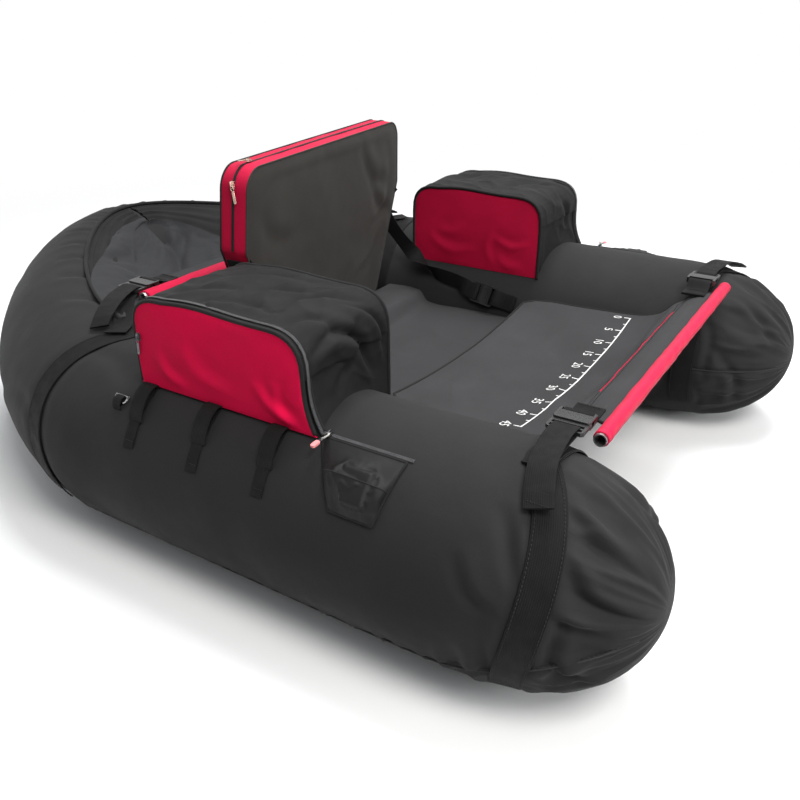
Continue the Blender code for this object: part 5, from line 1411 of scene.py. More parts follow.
def run_lengths(grid):
    """Distance of every point of a grid along its rows and along its columns."""
    down = np.concatenate([np.zeros((1, grid.shape[1])), np.linalg.norm(np.diff(grid, axis=0), axis=2)])
    over = np.concatenate([np.zeros((grid.shape[0], 1)), np.linalg.norm(np.diff(grid, axis=1), axis=2)], 1)
    return np.cumsum(down, 0), np.cumsum(over, 1)


def grid_normals(grid):
    return unit(np.cross(np.gradient(grid, axis=0), np.gradient(grid, axis=1)))


def ridges(p):
    """Sharp ridges like those of crumpled cloth, about -1 to 1."""
    total = -RIDGE_LEVEL_SHARE
    for share, scale, shift in RIDGE_LAYERS:
        sharp = 1 - abs(noise.noise(p * scale + Vector(shift))) * RIDGE_SHARPNESS_SHARE
        total += share * sharp * abs(sharp)
    return total


def rumpled(grid, folds, grain, seed, size, edge=0.0, ridge=0.0):
    """The grid with folds and uneven cloth added along its normals; edge keeps a rim of that width in place."""
    u, v = run_lengths(grid)
    height = sum((crease(u, v, *fold) for fold in folds), np.zeros_like(u))
    for i in range(grid.shape[0]):
        for k in range(grid.shape[1]):
            p = Vector((u[i, k] * size + seed, v[i, k] * size, seed))
            height[i, k] += grain * sum(share * noise.noise(p * scale) for share, scale in GRAIN_LAYERS)
            if ridge:
                height[i, k] += ridge * ridges(p)
    if edge:
        gap = np.minimum(np.minimum(u, u.max(0, keepdims=True) - u), np.minimum(v, v.max(1, keepdims=True) - v))
        height *= np.clip(gap / edge, 0, 1)
    return grid + grid_normals(grid) * height[..., None]


def across_shares(columns):
    """Shares from -1 to 1 over the columns of a cloth."""
    return [2 * k / columns - 1 for k in range(columns + 1)]


def rim_of(rows, columns):
    """Numbers of a grid's rim points, once round."""
    rim = list(range(columns)) + [i * columns + columns - 1 for i in range(1, rows)]
    rim += [(rows - 1) * columns + k for k in range(columns - 2, -1, -1)]
    return rim + [i * columns for i in range(rows - 2, 0, -1)]


def cloth_sheet(name, grid, thickness, material, body):
    """A sheet of cloth: a grid of points given a thickness, its rims closed."""
    grid = np.array(grid, float)
    rows, columns = grid.shape[:2]
    lift = grid_normals(grid) * thickness / 2
    count = rows * columns
    points = np.concatenate([(grid + lift).reshape(-1, 3), (grid - lift).reshape(-1, 3)])
    faces = grid_faces(rows, columns)
    faces += [tuple(reversed(f)) for f in grid_faces(rows, columns, first=count)]
    rim = rim_of(rows, columns)
    faces += [(a, b, b + count, a + count) for a, b in zip(rim, rim[1:] + rim[:1])]
    flat = np.stack([run.ravel() for run in run_lengths(grid)], 1)
    item = make_object(name, points, faces, [material], np.concatenate([flat, flat]))
    item.data.set_sharp_from_angle(angle=math.radians(60))
    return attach(item, body)


def eased(value, low, high):
    share = clamped((value - low) / (high - low))
    return share * share * (3 - 2 * share)


# Front panel with its ruler

def apron_profile(steps):
    route = [((0, y, z), (half, 0, 0)) for y, z, half in APRON_ROWS]
    points, halves, runs = resampled(route, steps)
    return points, halves[:, 0], runs


def apron_at(y):
    """Row of the apron at y, its height at the middle and its half-width."""
    points, halves, runs = APRON_LINE
    return [float(np.interp(y, points[:, 1], values)) for values in (np.arange(len(points)), points[:, 2], halves)]


def apron_point(y, x):
    """Point of the smooth apron at x across and y along."""
    row, z, half = apron_at(y)
    return Vector((x, y, z + APRON_EDGE_RISE * (x / half) ** 2 * eased(y, APRON_LEVEL_Y, APRON_RISEN_Y)))


def on_apron(grid, x, y, lift):
    """Point at x and y lifted off the apron's rumpled face."""
    row, z, half = apron_at(y)
    column = (x / half + 1) / 2 * (grid.shape[1] - 1)
    i = min(int(row), grid.shape[0] - 2)
    k = clamped(int(column), 0, grid.shape[1] - 2)
    near, far = [grid[j, k] * (1 - column + k) + grid[j, k + 1] * (column - k) for j in (i, i + 1)]
    return Vector(near * (1 - row + i) + far * (row - i)) + UP * lift


def build_apron():
    points, halves, runs = APRON_LINE
    shares = across_shares(APRON_COLUMNS)
    grid = [[apron_point(point[1], share * half) for share in shares] for point, half in zip(points, halves)]
    grid = rumpled(np.array(grid), APRON_FOLDS, **APRON_RUMPLE)
    item = cloth_sheet("apron_cloth", grid, APRON_THICKNESS, mesh_cloth, "gate")
    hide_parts("apron")
    rim = [*grid[:, 0], *grid[-1, 1:], *grid[::-1, -1][1:]]
    tube_piece("apron_binding", rim, HEM_RADIUS, piping_cloth, "gate", steps=360)
    route = [(Vector(p) + UP * LINE_LIFT, RED_LINE_ACROSS)
             for p in grid[APRON_RED_ROW, RED_LINE_START:RED_LINE_END]]
    band("apron_red_line", route, RED_LINE_WIDTH, RED_LINE_THICKNESS, red_nylon, "gate")
    for row in (APRON_RED_ROW - APRON_SEAM_ROWS, APRON_RED_ROW + APRON_SEAM_ROWS):
        path = [Vector(p) + UP * LINE_LIFT for p in grid[row, 2:-2]]
        stitches(f"apron_seam_{row}", path, [UP] * len(path), "gate")
    return grid


def printed(name, pieces, grid):
    """Print on the apron: flat outlines in x and y, laid on its upper face."""
    points, faces = [], []
    for outline in pieces:
        first = len(points)
        points += [on_apron(grid, x, y, APRON_THICKNESS / 2 + PRINT_LIFT) for x, y in outline]
        faces.append(tuple(range(first, len(points))))
    item = make_object(name, points, faces, [print_white], smooth=False)
    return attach(item, "gate")


def digit_outlines(text, place, height):
    """Faces of a number from Blender's own letters, turned to be read from the seat."""
    curve = bpy.data.curves.new("number", "FONT")
    curve.body = text
    curve.size = height
    curve.align_x = "CENTER"
    curve.align_y = "CENTER"
    curve.resolution_u = 3
    holder = bpy.data.objects.new("number", curve)
    bpy.context.scene.collection.objects.link(holder)
    bpy.context.view_layer.update()
    mesh = bpy.data.meshes.new_from_object(holder.evaluated_get(bpy.context.evaluated_depsgraph_get()))
    outlines = []
    for face in mesh.polygons:
        corners = [mesh.vertices[i].co for i in face.vertices]
        outlines.append([(place[0] - c.x, place[1] - c.y) for c in corners])
    bpy.data.objects.remove(holder)
    bpy.data.meshes.remove(mesh)
    return outlines


def bar_outline(x0, x1, y0, y1):
    return [(x0, y0), (x1, y0), (x1, y1), (x0, y1)]


def build_ruler(grid):
    marks = []
    for i in range(RULER_BASE_STEPS):
        a, b = [RULER_START_X - RULER_STEP * RULER_COUNT * n / RULER_BASE_STEPS for n in (i, i + 1)]
        base = [(a, ruler_y(a)), (b, ruler_y(b))]
        marks.append(base + [(x, y + RULER_LINE) for x, y in reversed(base)])
    for i in range(RULER_COUNT * 2 + 1):
        x = RULER_START_X - RULER_STEP * i / 2
        reach = RULER_TICK if i % 2 == 0 else RULER_TICK / 2
        marks.append(bar_outline(x - RULER_LINE / 2, x + RULER_LINE / 2, ruler_y(x), ruler_y(x) + reach))
    printed("ruler_marks", marks, grid)
    digits = []
    for i in range(RULER_COUNT + 1):
        x = RULER_START_X - RULER_STEP * i
        digits += digit_outlines(str(5 * i), (x, ruler_y(x) + RULER_NUMBER_GAP), RULER_NUMBER_HEIGHT)
    printed("ruler_numbers", digits, grid)


def ruler_y(x):
    return RULER_Y + RULER_BOW * (x / RULER_START_X) ** 2


# Seat and rear hold

def hull_wall_x(z):
    """Distance from the middle of the boat to the pontoon's inner wall at a height."""
    tall = TUBE_RADIUS * SIDE_HEIGHT_SHARE
    share = min(abs(z - tall * FLAT) / tall, 1)
    return SPINE_HALF_SPACING - TUBE_RADIUS * math.sqrt(1 - share ** 2)


def build_seat():
    stations = [(y, SEAT_TOP_Z, SEAT_SAG) for y in SEAT_SAGGING_YS] + [(y, BACK_Z, 0) for y in SEAT_RAISED_YS]
    points, sags, runs = resampled([((0, y, top), (sag, 0, 0)) for y, top, sag in stations], SEAT_STEPS)
    grid = []
    for (x, y, z), sag in zip(points, sags[:, 0]):
        half = hull_wall_x(z) - CLEARANCE
        grid.append([(share * half, y, z - SEAT_THICKNESS / 2 - sag * (1 - share ** 2))
                     for share in across_shares(SEAT_STEPS)])
    grid = rumpled(np.array(grid), SEAT_FOLDS, **SEAT_RUMPLE)
    item = cloth_sheet("seat_cloth", grid, SEAT_CLOTH, panel_cloth, "hull")
    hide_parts("seat_panel")
    tube_piece("seat_front_hem", grid[0], HEM_RADIUS, piping_cloth, "hull")


def deck_foot(side, s):
    """Angle of the hold's foot on the section: lower along the far side, the same for both at the rear."""
    foot = DECK_FAR_ANGLE if side > 0 else DECK_FOOT_ANGLE
    return foot + (DECK_REAR_ANGLE - foot) * eased(s, *DECK_REAR_S)


def deck_half(side, s_values):
    """Rows of the hold's side wall, from the rim down to the deck's edge."""
    rows = []
    for s in s_values:
        row = []
        for k in range(DECK_WALL_STEPS + 1):
            share = k / DECK_WALL_STEPS
            angle = DECK_RIM_ANGLE + (deck_foot(side, s) - DECK_RIM_ANGLE) * share
            sway, full = [noise.noise(Vector((s * scales[0], k * scales[1], seed * side)))
                          for scales, seed in ((DECK_PLEAT_SCALES, 1), (DECK_FULLNESS_SCALES, DECK_FULLNESS_SEED))]
            turn = k * 2 * math.pi / DECK_PLEAT_STEPS + DECK_PLEAT_SWAY_SHARE * sway
            fullness = max(DECK_FULLNESS_SHARE * (1 + full), DECK_FULLNESS_LEAST_SHARE)
            pleat = DECK_PLEAT * (1 + math.sin(turn)) / 2 * math.sin(math.pi * share) * fullness
            row.append(skin(s, angle, side, CLEARANCE + DECK_WALL_LIFT + pleat)[0])
        rows.append(row[::-side])
    return rows


def deck_edge(s):
    """Angle at which the hold's sheet meets the near wall: the rim along the side, the foot at the rear."""
    upper = DECK_RIM_ANGLE + (DECK_UPPER_ANGLE - DECK_RIM_ANGLE) * eased(s, *DECK_UPPER_S)
    return upper + (deck_foot(-1, s) + DECK_EDGE_SPAN - upper) * eased(s, *DECK_EDGE_S)


def deck_grid(s_values):
    """The hold's sheet: up the near wall, over the hold and to the foot of the far wall."""
    over, columns = DECK_OVER_COLUMNS, DECK_COLUMNS
    grid = []
    for y, half in ((REAR_BAR_Y + BAR_RADIUS + SLEEVE_WALL, DECK_BAND_HALVES[0]),
                    (0.5 * (REAR_BAR_Y + DECK_BAND_REAR_Y), DECK_BAND_HALVES[0]),
                    (DECK_BAND_REAR_Y, DECK_BAND_HALVES[1])):
        grid.append([(share * half, y, DECK_BAND_Z - DECK_THICKNESS) for share in across_shares(over + columns)])
    for number, s in enumerate(s_values):
        edge, foot = deck_edge(s), deck_foot(-1, s)
        row = [tuple(skin(s, edge + (foot - edge) * k / over, -1, DECK_LIFT)[0]) for k in range(over)]
        near = skin(s, foot, -1, DECK_LIFT)[0]
        far = skin(s, deck_foot(1, s), 1, DECK_LIFT)[0]
        depth = DECK_SAG * math.sin(math.pi * (number + 1) / len(s_values)) ** DECK_SAG_SHARES[0]
        depth += DECK_DROP * eased(number, 0, DECK_DROP_ROWS)
        for k in range(columns + 1):
            share = k / columns
            point = near.lerp(far, share)
            row.append((point.x, point.y, point.z - depth * math.sin(math.pi * share) ** DECK_SAG_SHARES[1]))
        grid.append(row)
    grid = rumpled(np.array(grid), (), **DECK_RUMPLE)
    relief = sum(crease(grid[..., 0], grid[..., 1], *fold) for fold in DECK_FOLDS)
    relief[:, :over] = np.maximum(relief[:, :over], -DECK_LIFT / 2)
    relief *= np.clip((over + columns - np.arange(over + columns + 1)) / DECK_FADE_COLUMNS, 0, 1)
    relief *= np.clip((len(grid) - 1 - np.arange(len(grid))) / DECK_FADE_ROWS, 0, 1)[:, None]
    grid[..., 2] += relief
    return grid


def hold_rim(s_values, angle, lift):
    """Line along the hold's rim, round both sides."""
    half = [skin(s, angle, 1, lift)[0] for s in s_values + [2.0]]
    return half + [Vector((-p.x, p.y, p.z)) for p in half[::-1][1:]]


def build_deck():
    s_values = [DECK_FIRST_S + (DECK_LAST_S - DECK_FIRST_S) * i / DECK_STEPS for i in range(DECK_STEPS + 1)]
    for side in (1, -1):
        wall = deck_half(side, [s for s in s_values if side > 0 or s > DECK_UPPER_S[0]])
        # both walls take the dark wall cloth: black cloth with painted shade
        item = cloth_sheet(f"hold_wall_{side_name(side)}", wall, DECK_CLOTH, hold_cloth_black_and_painted_shade, "hull")
        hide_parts("cargo_deck")
    item = cloth_sheet("hold_floor", deck_grid(s_values), DECK_CLOTH, deck_cloth, "hull")
    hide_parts("cargo_deck")
    piping = hold_rim(s_values, DECK_RIM_ANGLE, DECK_PIPING_LIFT)
    tube_piece("hold_piping", piping, DECK_PIPING_RADIUS, piping_cloth, "hull", steps=420)
    inner = hold_rim(s_values, DECK_RIM_ANGLE - DECK_SEAM_DROP, DECK_SEAM_LIFT)
    stitches("hold_seam", inner, [UP] * len(inner), "hull", **PIPING_STITCH)


# Bars

def sleeve_radius(x, half, angle, seed):
    """Radius of the sleeve's cloth: pressed in at its hems and loose below."""
    end = min(abs(x - half), abs(x + half))
    scale, size = SLEEVE_UNEVEN_SCALES
    uneven = noise.noise(Vector((x * scale, math.cos(angle) * size, math.sin(angle) * size + seed)))
    first, sway, second, turns = SLEEVE_RIPPLE_TURNS
    ripple = math.sin(x * first + sway * math.sin(x * second) + angle * turns)
    radius = BAR_RADIUS + CLEARANCE + SLEEVE_WALL + SLEEVE_UNEVEN * uneven + SLEEVE_RIPPLE * ripple
    if SLEEVE_HEM_ENDS[0] < end < SLEEVE_HEM_ENDS[1]:
        radius -= SLEEVE_HEM
    if angle > math.pi and end > SLEEVE_SAG_END:
        radius += SLEEVE_SAG * math.sin(angle) ** 2
    return radius


def sleeve_cloth(name, y, z, half, body, seed, spread=1.0):
    rows, columns = SLEEVE_ROWS, SLEEVE_SIDES
    turns = [2 * math.pi * k / columns for k in range(columns)]
    points = []
    for i in range(rows + 1):
        x = -half + 2 * half * i / rows
        for turn in turns:
            radius = sleeve_radius(x, half, turn, seed)
            points.append((x, y + radius * spread * math.cos(turn), z + radius * math.sin(turn)))
    faces = grid_faces(rows + 1, columns, closed=True)
    bore = BAR_RADIUS + CLEARANCE / 2
    for x, base, turned in ((-half, 0, 1), (half, rows * columns, -1)):
        first = len(points)
        points += [(x, y + bore * math.cos(turn), z + bore * math.sin(turn)) for turn in turns]
        for k in range(columns):
            j = (k + 1) % columns
            faces.append((base + k, base + j, first + j, first + k)[::turned])
    uvs = [(p[0], BAR_RADIUS * math.atan2(p[2] - z, p[1] - y)) for p in points]
    # the front sleeve takes the brighter red copy as painted light; the rear sleeve takes the plain red
    item = make_object(name + "_sleeve_cloth", points, faces, [bar_nylon_painted_light if name == "front" else red_nylon], uvs)
    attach(item, body)
    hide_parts(name + "_bar_sleeve")


# Bags

def skin_height(x):
    """Height of the pontoon's skin at a distance from the middle of the boat."""
    tall = TUBE_RADIUS * SIDE_HEIGHT_SHARE
    share = (SPINE_HALF_SPACING - x) / TUBE_RADIUS
    return tall * FLAT + tall * math.sqrt(max(1 - share ** 2, 0))


def corner_rise(share):
    """Rise of the bag's rounded top corner at a share of its reach, squarer than a circle."""
    power = BAG_CORNER_POWER_SHARE
    return (1 - (1 - min(share, 1)) ** power) ** (1 / power)


def crown(share):
    """Height of the bag's top over its corners, from the front to the rear."""
    return BAG_CROWN * math.sin(math.pi * share) - BAG_SWAY * math.sin(2 * math.pi * share)


def bag_ends(side):
    """The bag's front and rear in y; the two bags stand staggered."""
    return BAG_FRONT_Y + side * BAG_STAGGER, BAG_REAR_Y + side * BAG_STAGGER


def bag_profile(side):
    """Front foot, over the top, to the rear foot: (y, height share of the wall, top's height)."""
    front, rear = bag_ends(side)
    rise = BAG_TOP_Z - BAG_SHOULDER_Z
    reaches = [1 - math.cos(math.pi / 2 * i / BAG_CORNER_STEPS) for i in range(BAG_CORNER_STEPS + 1)]
    corner = [(BAG_CORNER * reach, rise * corner_rise(reach)) for reach in reaches]
    route = [(front, 0.0, 0.0), (front, 0.5, 0.0), (front, 1.0, 0.0)]
    route += [(front + away, 1.0, up) for away, up in corner[1:]]
    for i in range(1, BAG_TOP_STEPS):
        share = i / BAG_TOP_STEPS
        route.append((front + BAG_CORNER + (rear - front - 2 * BAG_CORNER) * share, 1.0, rise + crown(share)))
    route += [(rear - away, 1.0, up) for away, up in reversed(corner)]
    route += [(rear, 0.5, 0.0), (rear, 0.0, 0.0)]
    points = np.array(route)
    wall = BAG_SHOULDER_Z - BAG_MIDDLE_FOOT_Z
    runs = path_runs(np.stack([points[:, 0], points[:, 1] * wall + points[:, 2]], 1))
    return at_runs(points, runs, np.linspace(0, runs[-1], BAG_ROWS))


def bag_point(side, x, place, flare=0.0):
    y, up, rise = place
    foot = skin_height(x) + CLEARANCE
    z = foot + (BAG_SHOULDER_Z - foot) * up + rise
    pull = flare * (1 - up) ** BAG_FLARE_POWER_SHARE if y < sum(bag_ends(side)) / 2 else 0.0
    return Vector((side * x, y - pull, z))


def bag_shell(side, profile, outer):
    """The bag's front, top and rear in one cloth, stuffed outward."""
    name = side_name(side)
    grid = []
    for place in profile:
        shares = [k / BAG_COLUMNS for k in range(BAG_COLUMNS + 1)]
        row = [bag_point(side, BAG_INNER_X + (outer - BAG_INNER_X) * share, place, BAG_FLARE * share ** 2)
               for share in shares]
        grid.append(row[::-side])
    grid = np.array(grid)
    v = run_lengths(grid)[1]
    normal = grid_normals(grid)
    puff = BAG_PUFF * np.sin(np.pi * v / v.max()) ** BAG_PUFF_SHARE
    puff *= 1 - BAG_WALL_PUFF_SHARE * (profile[:, 1] < 1)[:, None]
    grid += normal * np.sign(normal[..., 2].mean()) * puff[..., None]
    grid = rumpled(grid, BAG_FOLDS if side < 0 else BAG_FOLDS_FAR, seed=BAG_SEED + side, **BAG_RUMPLE)
    shell = cloth_sheet(f"{name}_bag_body", grid, BAG_WALL, bag_nylon, "hull")
    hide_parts(f"{name}_bag_shell")


def build_bag(side):
    name = side_name(side)
    outer = BAG_OUTER_X - DOOR_THICKNESS - CLEARANCE
    profile = bag_profile(side)
    bag_shell(side, profile, outer)
    bag_face(side, f"{name}_bag_inner_face", BAG_INNER_X, -1, "hull", 0.0)
    door = bag_face(side, f"{name}_bag_panel", BAG_OUTER_X - BAG_PANEL_INSET, 1, f"{name}_bag_door", BAG_FLARE)
    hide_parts(f"{name}_bag_door")
    for label, x, radius, flare in BAG_PIPINGS:
        path = [bag_point(side, x, place, flare) for place in profile]
        on_door = label == "outer"
        if on_door:
            path = [p for p in path if p.z > DOOR_FOOT_Z]
        body = f"{name}_bag_door" if on_door else "hull"
        tube_piece(f"{name}_bag_{label}_piping", path, radius, piping_cloth, body, steps=220)
    line = [bag_point(side, outer - BAG_ZIP_INSET, place, BAG_FLARE) for place in profile]
    path = []
    for before, place, after in zip(line[:1] + line, line, line[1:] + line[-1:]):
        along = after - before
        out = Vector((0, -along.z, along.y)).normalized()
        path.append((place + out * BAG_ZIP_LIFT, (side, 0, 0)))
    band(f"{name}_bag_zip", path, ZIP_WIDTH, ZIP_THICKNESS, zip_black, "hull", steps=220)


def bag_face(side, label, x, out, body, flare):
    """A side face of the bag: rows across y, from its foot to its outline, slightly stuffed."""
    front, rear = bag_ends(side)
    foot = DOOR_FOOT_Z if out > 0 else skin_height(x) + CLEARANCE
    grid = []
    for i in range(FACE_ROWS + 1):
        t = i / FACE_ROWS
        y = front + FACE_INSET + (rear - front - 2 * FACE_INSET) * (0.5 - 0.5 * math.cos(math.pi * t))
        near = min(y - front, rear - y)
        if near < BAG_CORNER:
            top = BAG_SHOULDER_Z + (BAG_TOP_Z - BAG_SHOULDER_Z) * corner_rise(near / BAG_CORNER)
        else:
            top = BAG_TOP_Z + crown((y - front - BAG_CORNER) / (rear - front - 2 * BAG_CORNER))
        row = []
        for k in range(FACE_COLUMNS + 1):
            v = k / FACE_COLUMNS
            z = foot + (top - foot) * v
            up = min((z - foot) / (BAG_SHOULDER_Z - foot), 1)
            pull = flare * (1 - up) ** BAG_FLARE_POWER_SHARE * max(1 - (y - front) / BAG_FLARE_REACH, 0)
            stuffing = BAG_PUFF * math.sin(math.pi * t) ** BAG_PUFF_SHARE * math.sin(math.pi * v) ** BAG_PUFF_SHARE
            row.append((side * (x + out * stuffing), y - pull, z))
        grid.append(row[::-side * out])
    folds = FACE_FOLDS if out > 0 else FACE_FOLDS_INNER
    grid = rumpled(np.array(grid), folds, seed=FACE_SEED + side + out, **FACE_RUMPLE)
    # outer door panels take the brighter red copy as painted light; the inner faces take the plain red
    item = cloth_sheet(label, grid, FACE_CLOTH, door_nylon_painted_light if out > 0 else red_nylon, body)
    if out < 0:
        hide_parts(f"{side_name(side)}_bag_shell")
    return item


def rod_tab(side, number, share):
    """Loop of webbing for a rod: its upper part folded and raised, its lower end sewn to the skin."""
    name = side_name(side)
    front, rear = bag_ends(side)
    y = front + share * (rear - front)
    tall = TUBE_RADIUS * SIDE_HEIGHT_SHARE
    start = math.pi - math.asin(min((DOOR_FOOT_Z - tall * FLAT) / tall, 1))
    end = ROD_TAB_LAST_ANGLE + ROD_TAB_END_DROP
    first = start + ROD_TAB_START
    upper_end = first + (end - first) * ROD_TAB_UPPER_SHARE

    def webbing(label, steps, angles, lift_at, width, thickness):
        route = []
        for i in range(steps + 1):
            t = i / steps
            point = straight_skin(side, angles[0] + (angles[1] - angles[0]) * t, lift_at(t))[0]
            point.y = y + ROD_TAB_SLANT * t
            route.append((point, AHEAD))
        item = band(f"{name}_rod_{label}_{number}", route, width, thickness, web, "hull")
        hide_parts(f"{name}_bag_shell")
        return item, route

    rise, round_share = ROD_TAB_BOW_SHARES
    item, upper = webbing(
        "loop", ROD_TAB_STEPS, (first, upper_end),
        lambda t: ROD_TAB_LIFT + ROD_TAB_BOW * math.sin(math.pi * t ** rise) ** round_share,
        ROD_TAB_WIDTH, ROD_TAB_PLY)
    out = straight_skin(side, (first + upper_end) / 2)[1]
    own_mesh(item)
    item, lower = webbing("strip", ROD_STRIP_STEPS, (start, end), lambda t: ROD_STRIP_LIFT,
                          ROD_TAB_WIDTH * ROD_STRIP_SHARE, WEBBING_THICKNESS)
    out = straight_skin(side, end)[1]
    cross_seam(f"{name}_rod_seam_{number}", lower[-2][0] + out * ROD_SEAM_LIFT, AHEAD,
               ROD_TAB_WIDTH * ROD_SEAM_SHARE, out, "hull", TAB_STITCH)


# Backrest

def back_frame():
    turn = Matrix.Rotation(BACK_YAW, 4, "Z") @ Matrix.Rotation(BACK_LEAN, 4, "X")
    turn.translation = (0, BACK_Y, BACK_Z)
    return turn


def back_outline(steps, inset=0.0):
    """Outline in u and v from the right foot over the top to the left foot and back along the foot."""
    half = [(BACK_BOTTOM_HALF - inset - BACK_FOOT_INSET, inset), (BACK_BOTTOM_HALF - inset, inset + BACK_FOOT_RISE)]
    half.append((BACK_WIDEST_HALF - inset, BACK_WIDEST_V))
    corner = BACK_CORNER - inset
    centre = (BACK_TOP_HALF - BACK_CORNER, BACK_TOP_V - BACK_CORNER)
    for i in range(BACK_CORNER_STEPS + 1):
        angle = math.pi / 2 * i / BACK_CORNER_STEPS
        half.append((centre[0] + corner * math.cos(angle), centre[1] + corner * math.sin(angle)))
    loop = [(-u, v) for u, v in half] + [(u, v) for u, v in reversed(half)]
    loop.append(loop[0])
    runs = path_runs(loop)
    return at_runs(loop, runs, np.linspace(0, runs[-1], steps + 1)[:-1])


def back_half(v):
    """Half-width of the backrest's lower part at a height."""
    return BACK_BOTTOM_HALF + (BACK_WIDEST_HALF - BACK_BOTTOM_HALF) * v / BACK_WIDEST_V


def back_piece(item):
    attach(item, "backrest")
    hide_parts("backrest_cover")
    return item


def back_face(label, t, out, folds, material):
    """Front or rear face: rings from the outline to the middle, softly stuffed."""
    frame = back_frame()
    steps, rings = BACK_FACE_STEPS, BACK_FACE_RINGS
    outline = back_outline(steps)
    middle = np.array((0, (outline[:, 1].max() + outline[:, 1].min()) / 2))
    edges = 1 - np.repeat(np.arange(rings + 1), steps) / (rings + 0.5)
    flats = middle + (np.tile(outline, (rings + 1, 1)) - middle) * edges[:, None]
    rim = np.sin(math.pi * np.minimum((1 - edges) * BACK_RIM_SHARE, 1))
    heights = BACK_CROWN * (1 - edges ** BACK_CROWN_SHARE) + BACK_RIM * rim
    for fold in folds:
        heights = heights + crease(flats[:, 0], flats[:, 1], *fold)
    scale, fine = BACK_UNEVEN_SCALES
    for n, (u, v) in enumerate(flats):
        p = Vector((u * scale + BACK_UNEVEN_SEED * t, v * scale, out))
        heights[n] += BACK_UNEVEN * noise.noise(p) * min((1 - edges[n]) * BACK_EVEN_RIM_SHARE, 1)
        heights[n] += BACK_UNEVEN_FINE * noise.noise(p * fine)
    points = [frame @ Vector((u, t + out * h, v)) for (u, v), h in zip(flats, heights)]
    faces = grid_faces(rings + 1, steps, closed=True)
    last = rings * steps
    faces += [(last + k, len(points), last + (k + 1) % steps) for k in range(steps)]
    points.append(frame @ Vector((middle[0], t + out * BACK_CROWN, middle[1])))
    if out > 0:
        faces = [tuple(reversed(f)) for f in faces]
    item = make_object(label, points, faces, [material], np.concatenate([flats, [middle]]))
    return back_piece(item)


def back_gusset(frame, outline):
    """The band round the backrest between its faces, red above and black at the foot."""
    ways = unit(back_outline(GUSSET_STEPS, -GUSSET_OUTSET) - outline)
    points, uvs = [], []
    for i in range(GUSSET_ROWS + 1):
        share = i / GUSSET_ROWS
        t = BACK_THICKNESS * share
        swell = GUSSET_SWELL * math.sin(math.pi * share) ** GUSSET_ROUND_SHARE
        for k, (u, v) in enumerate(outline):
            place = Vector([value * scale for value, scale in zip((u, v, t), GUSSET_SCALES)])
            lift = swell + GUSSET_UNEVEN * noise.noise(place)
            points.append(frame @ Vector((u + ways[k][0] * lift, t, v + ways[k][1] * lift)))
            uvs.append((k * GUSSET_STEP, t))
    faces = grid_faces(GUSSET_ROWS + 1, GUSSET_STEPS, closed=True)
    indices = [0 if v > BACK_WIDEST_V * GUSSET_RED_SHARE else 1 for u, v in outline] * GUSSET_ROWS
    item = make_object("backrest_gusset", points, faces, [red_nylon, nylon], uvs, indices)
    back_piece(item)


def back_trim(frame, outline):
    """Piping round both faces, and the zip in the gusset."""
    for label, t, radius, material in (("front", 0.0, FRONT_PIPING_RADIUS, back_nylon),
                                       ("rear", BACK_THICKNESS, REAR_PIPING_RADIUS, piping_cloth)):
        loop = [frame @ Vector((u, t, v)) for u, v in outline]
        tube_piece(f"backrest_{label}_piping", loop + loop[:3], radius, material, "backrest",
                   steps=2 * GUSSET_STEPS)
    across = frame.to_3x3() @ AHEAD
    route = []
    for u, v in outline:
        if v > BACK_WIDEST_V * BACK_ZIP_FIRST_SHARE:
            away = Vector((u, 0, v - BACK_WIDEST_V * BACK_ZIP_CENTRE_SHARE)).normalized()
            route.append((frame @ (Vector((u, BACK_THICKNESS / 2, v)) + away * BACK_ZIP_LIFT), across))
    item = band("backrest_zip_tape", route, BACK_ZIP_WIDTH, ZIP_THICKNESS, piping_cloth, "backrest",
                steps=GUSSET_STEPS)
    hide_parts("backrest_zip")


def back_belt(frame):
    """Belt behind the backrest, down to its gusset at both ends."""
    half = back_half(BELT_V) + BELT_SIDE_GAP
    rear = BACK_THICKNESS + BACK_CROWN + BELT_REAR_GAP
    side = [(1, BELT_START, 0), (1, BACK_THICKNESS * 0.6, 0.6), (0.97, BACK_THICKNESS + BELT_STEP, 0.9),
            (0.8, rear, 1)]
    rows = [(-share, t, rise) for share, t, rise in side] + [(0, rear + BELT_STEP, 1)] + side[::-1]
    up = frame.to_3x3() @ UP
    route = [(frame @ Vector((half * share, t, BELT_V + BELT_RISE * rise)), up) for share, t, rise in rows]
    item = band("backrest_belt_webbing", route, BELT_WIDTH, WEBBING_THICKNESS, web, "backrest", steps=200)
    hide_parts("backrest_belt")


def build_backrest():
    frame = back_frame()
    front = back_face("backrest_front", 0.0, -1, BACK_FOLDS, back_nylon)
    back_face("backrest_rear", BACK_THICKNESS, 1, BACK_FOLDS[:4], nylon)
    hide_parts("backrest_pad")
    outline = back_outline(GUSSET_STEPS)
    back_gusset(frame, outline)
    back_trim(frame, outline)
    back_belt(frame)


# Buckles' webbing

def carried(label, rows, width, body, replaced, hem=0.0):
    """Webbing along a path; replaced is the plain solid it stands for."""
    item = band(label, rows, width, WEBBING_THICKNESS, web, body, hem=hem)
    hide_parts(replaced)


def buckle_frame(side, mouth_x, y, z):
    frame = Matrix.Rotation(0 if side > 0 else math.pi, 4, "Z")
    frame.translation = (side * mouth_x, y, z)
    return frame


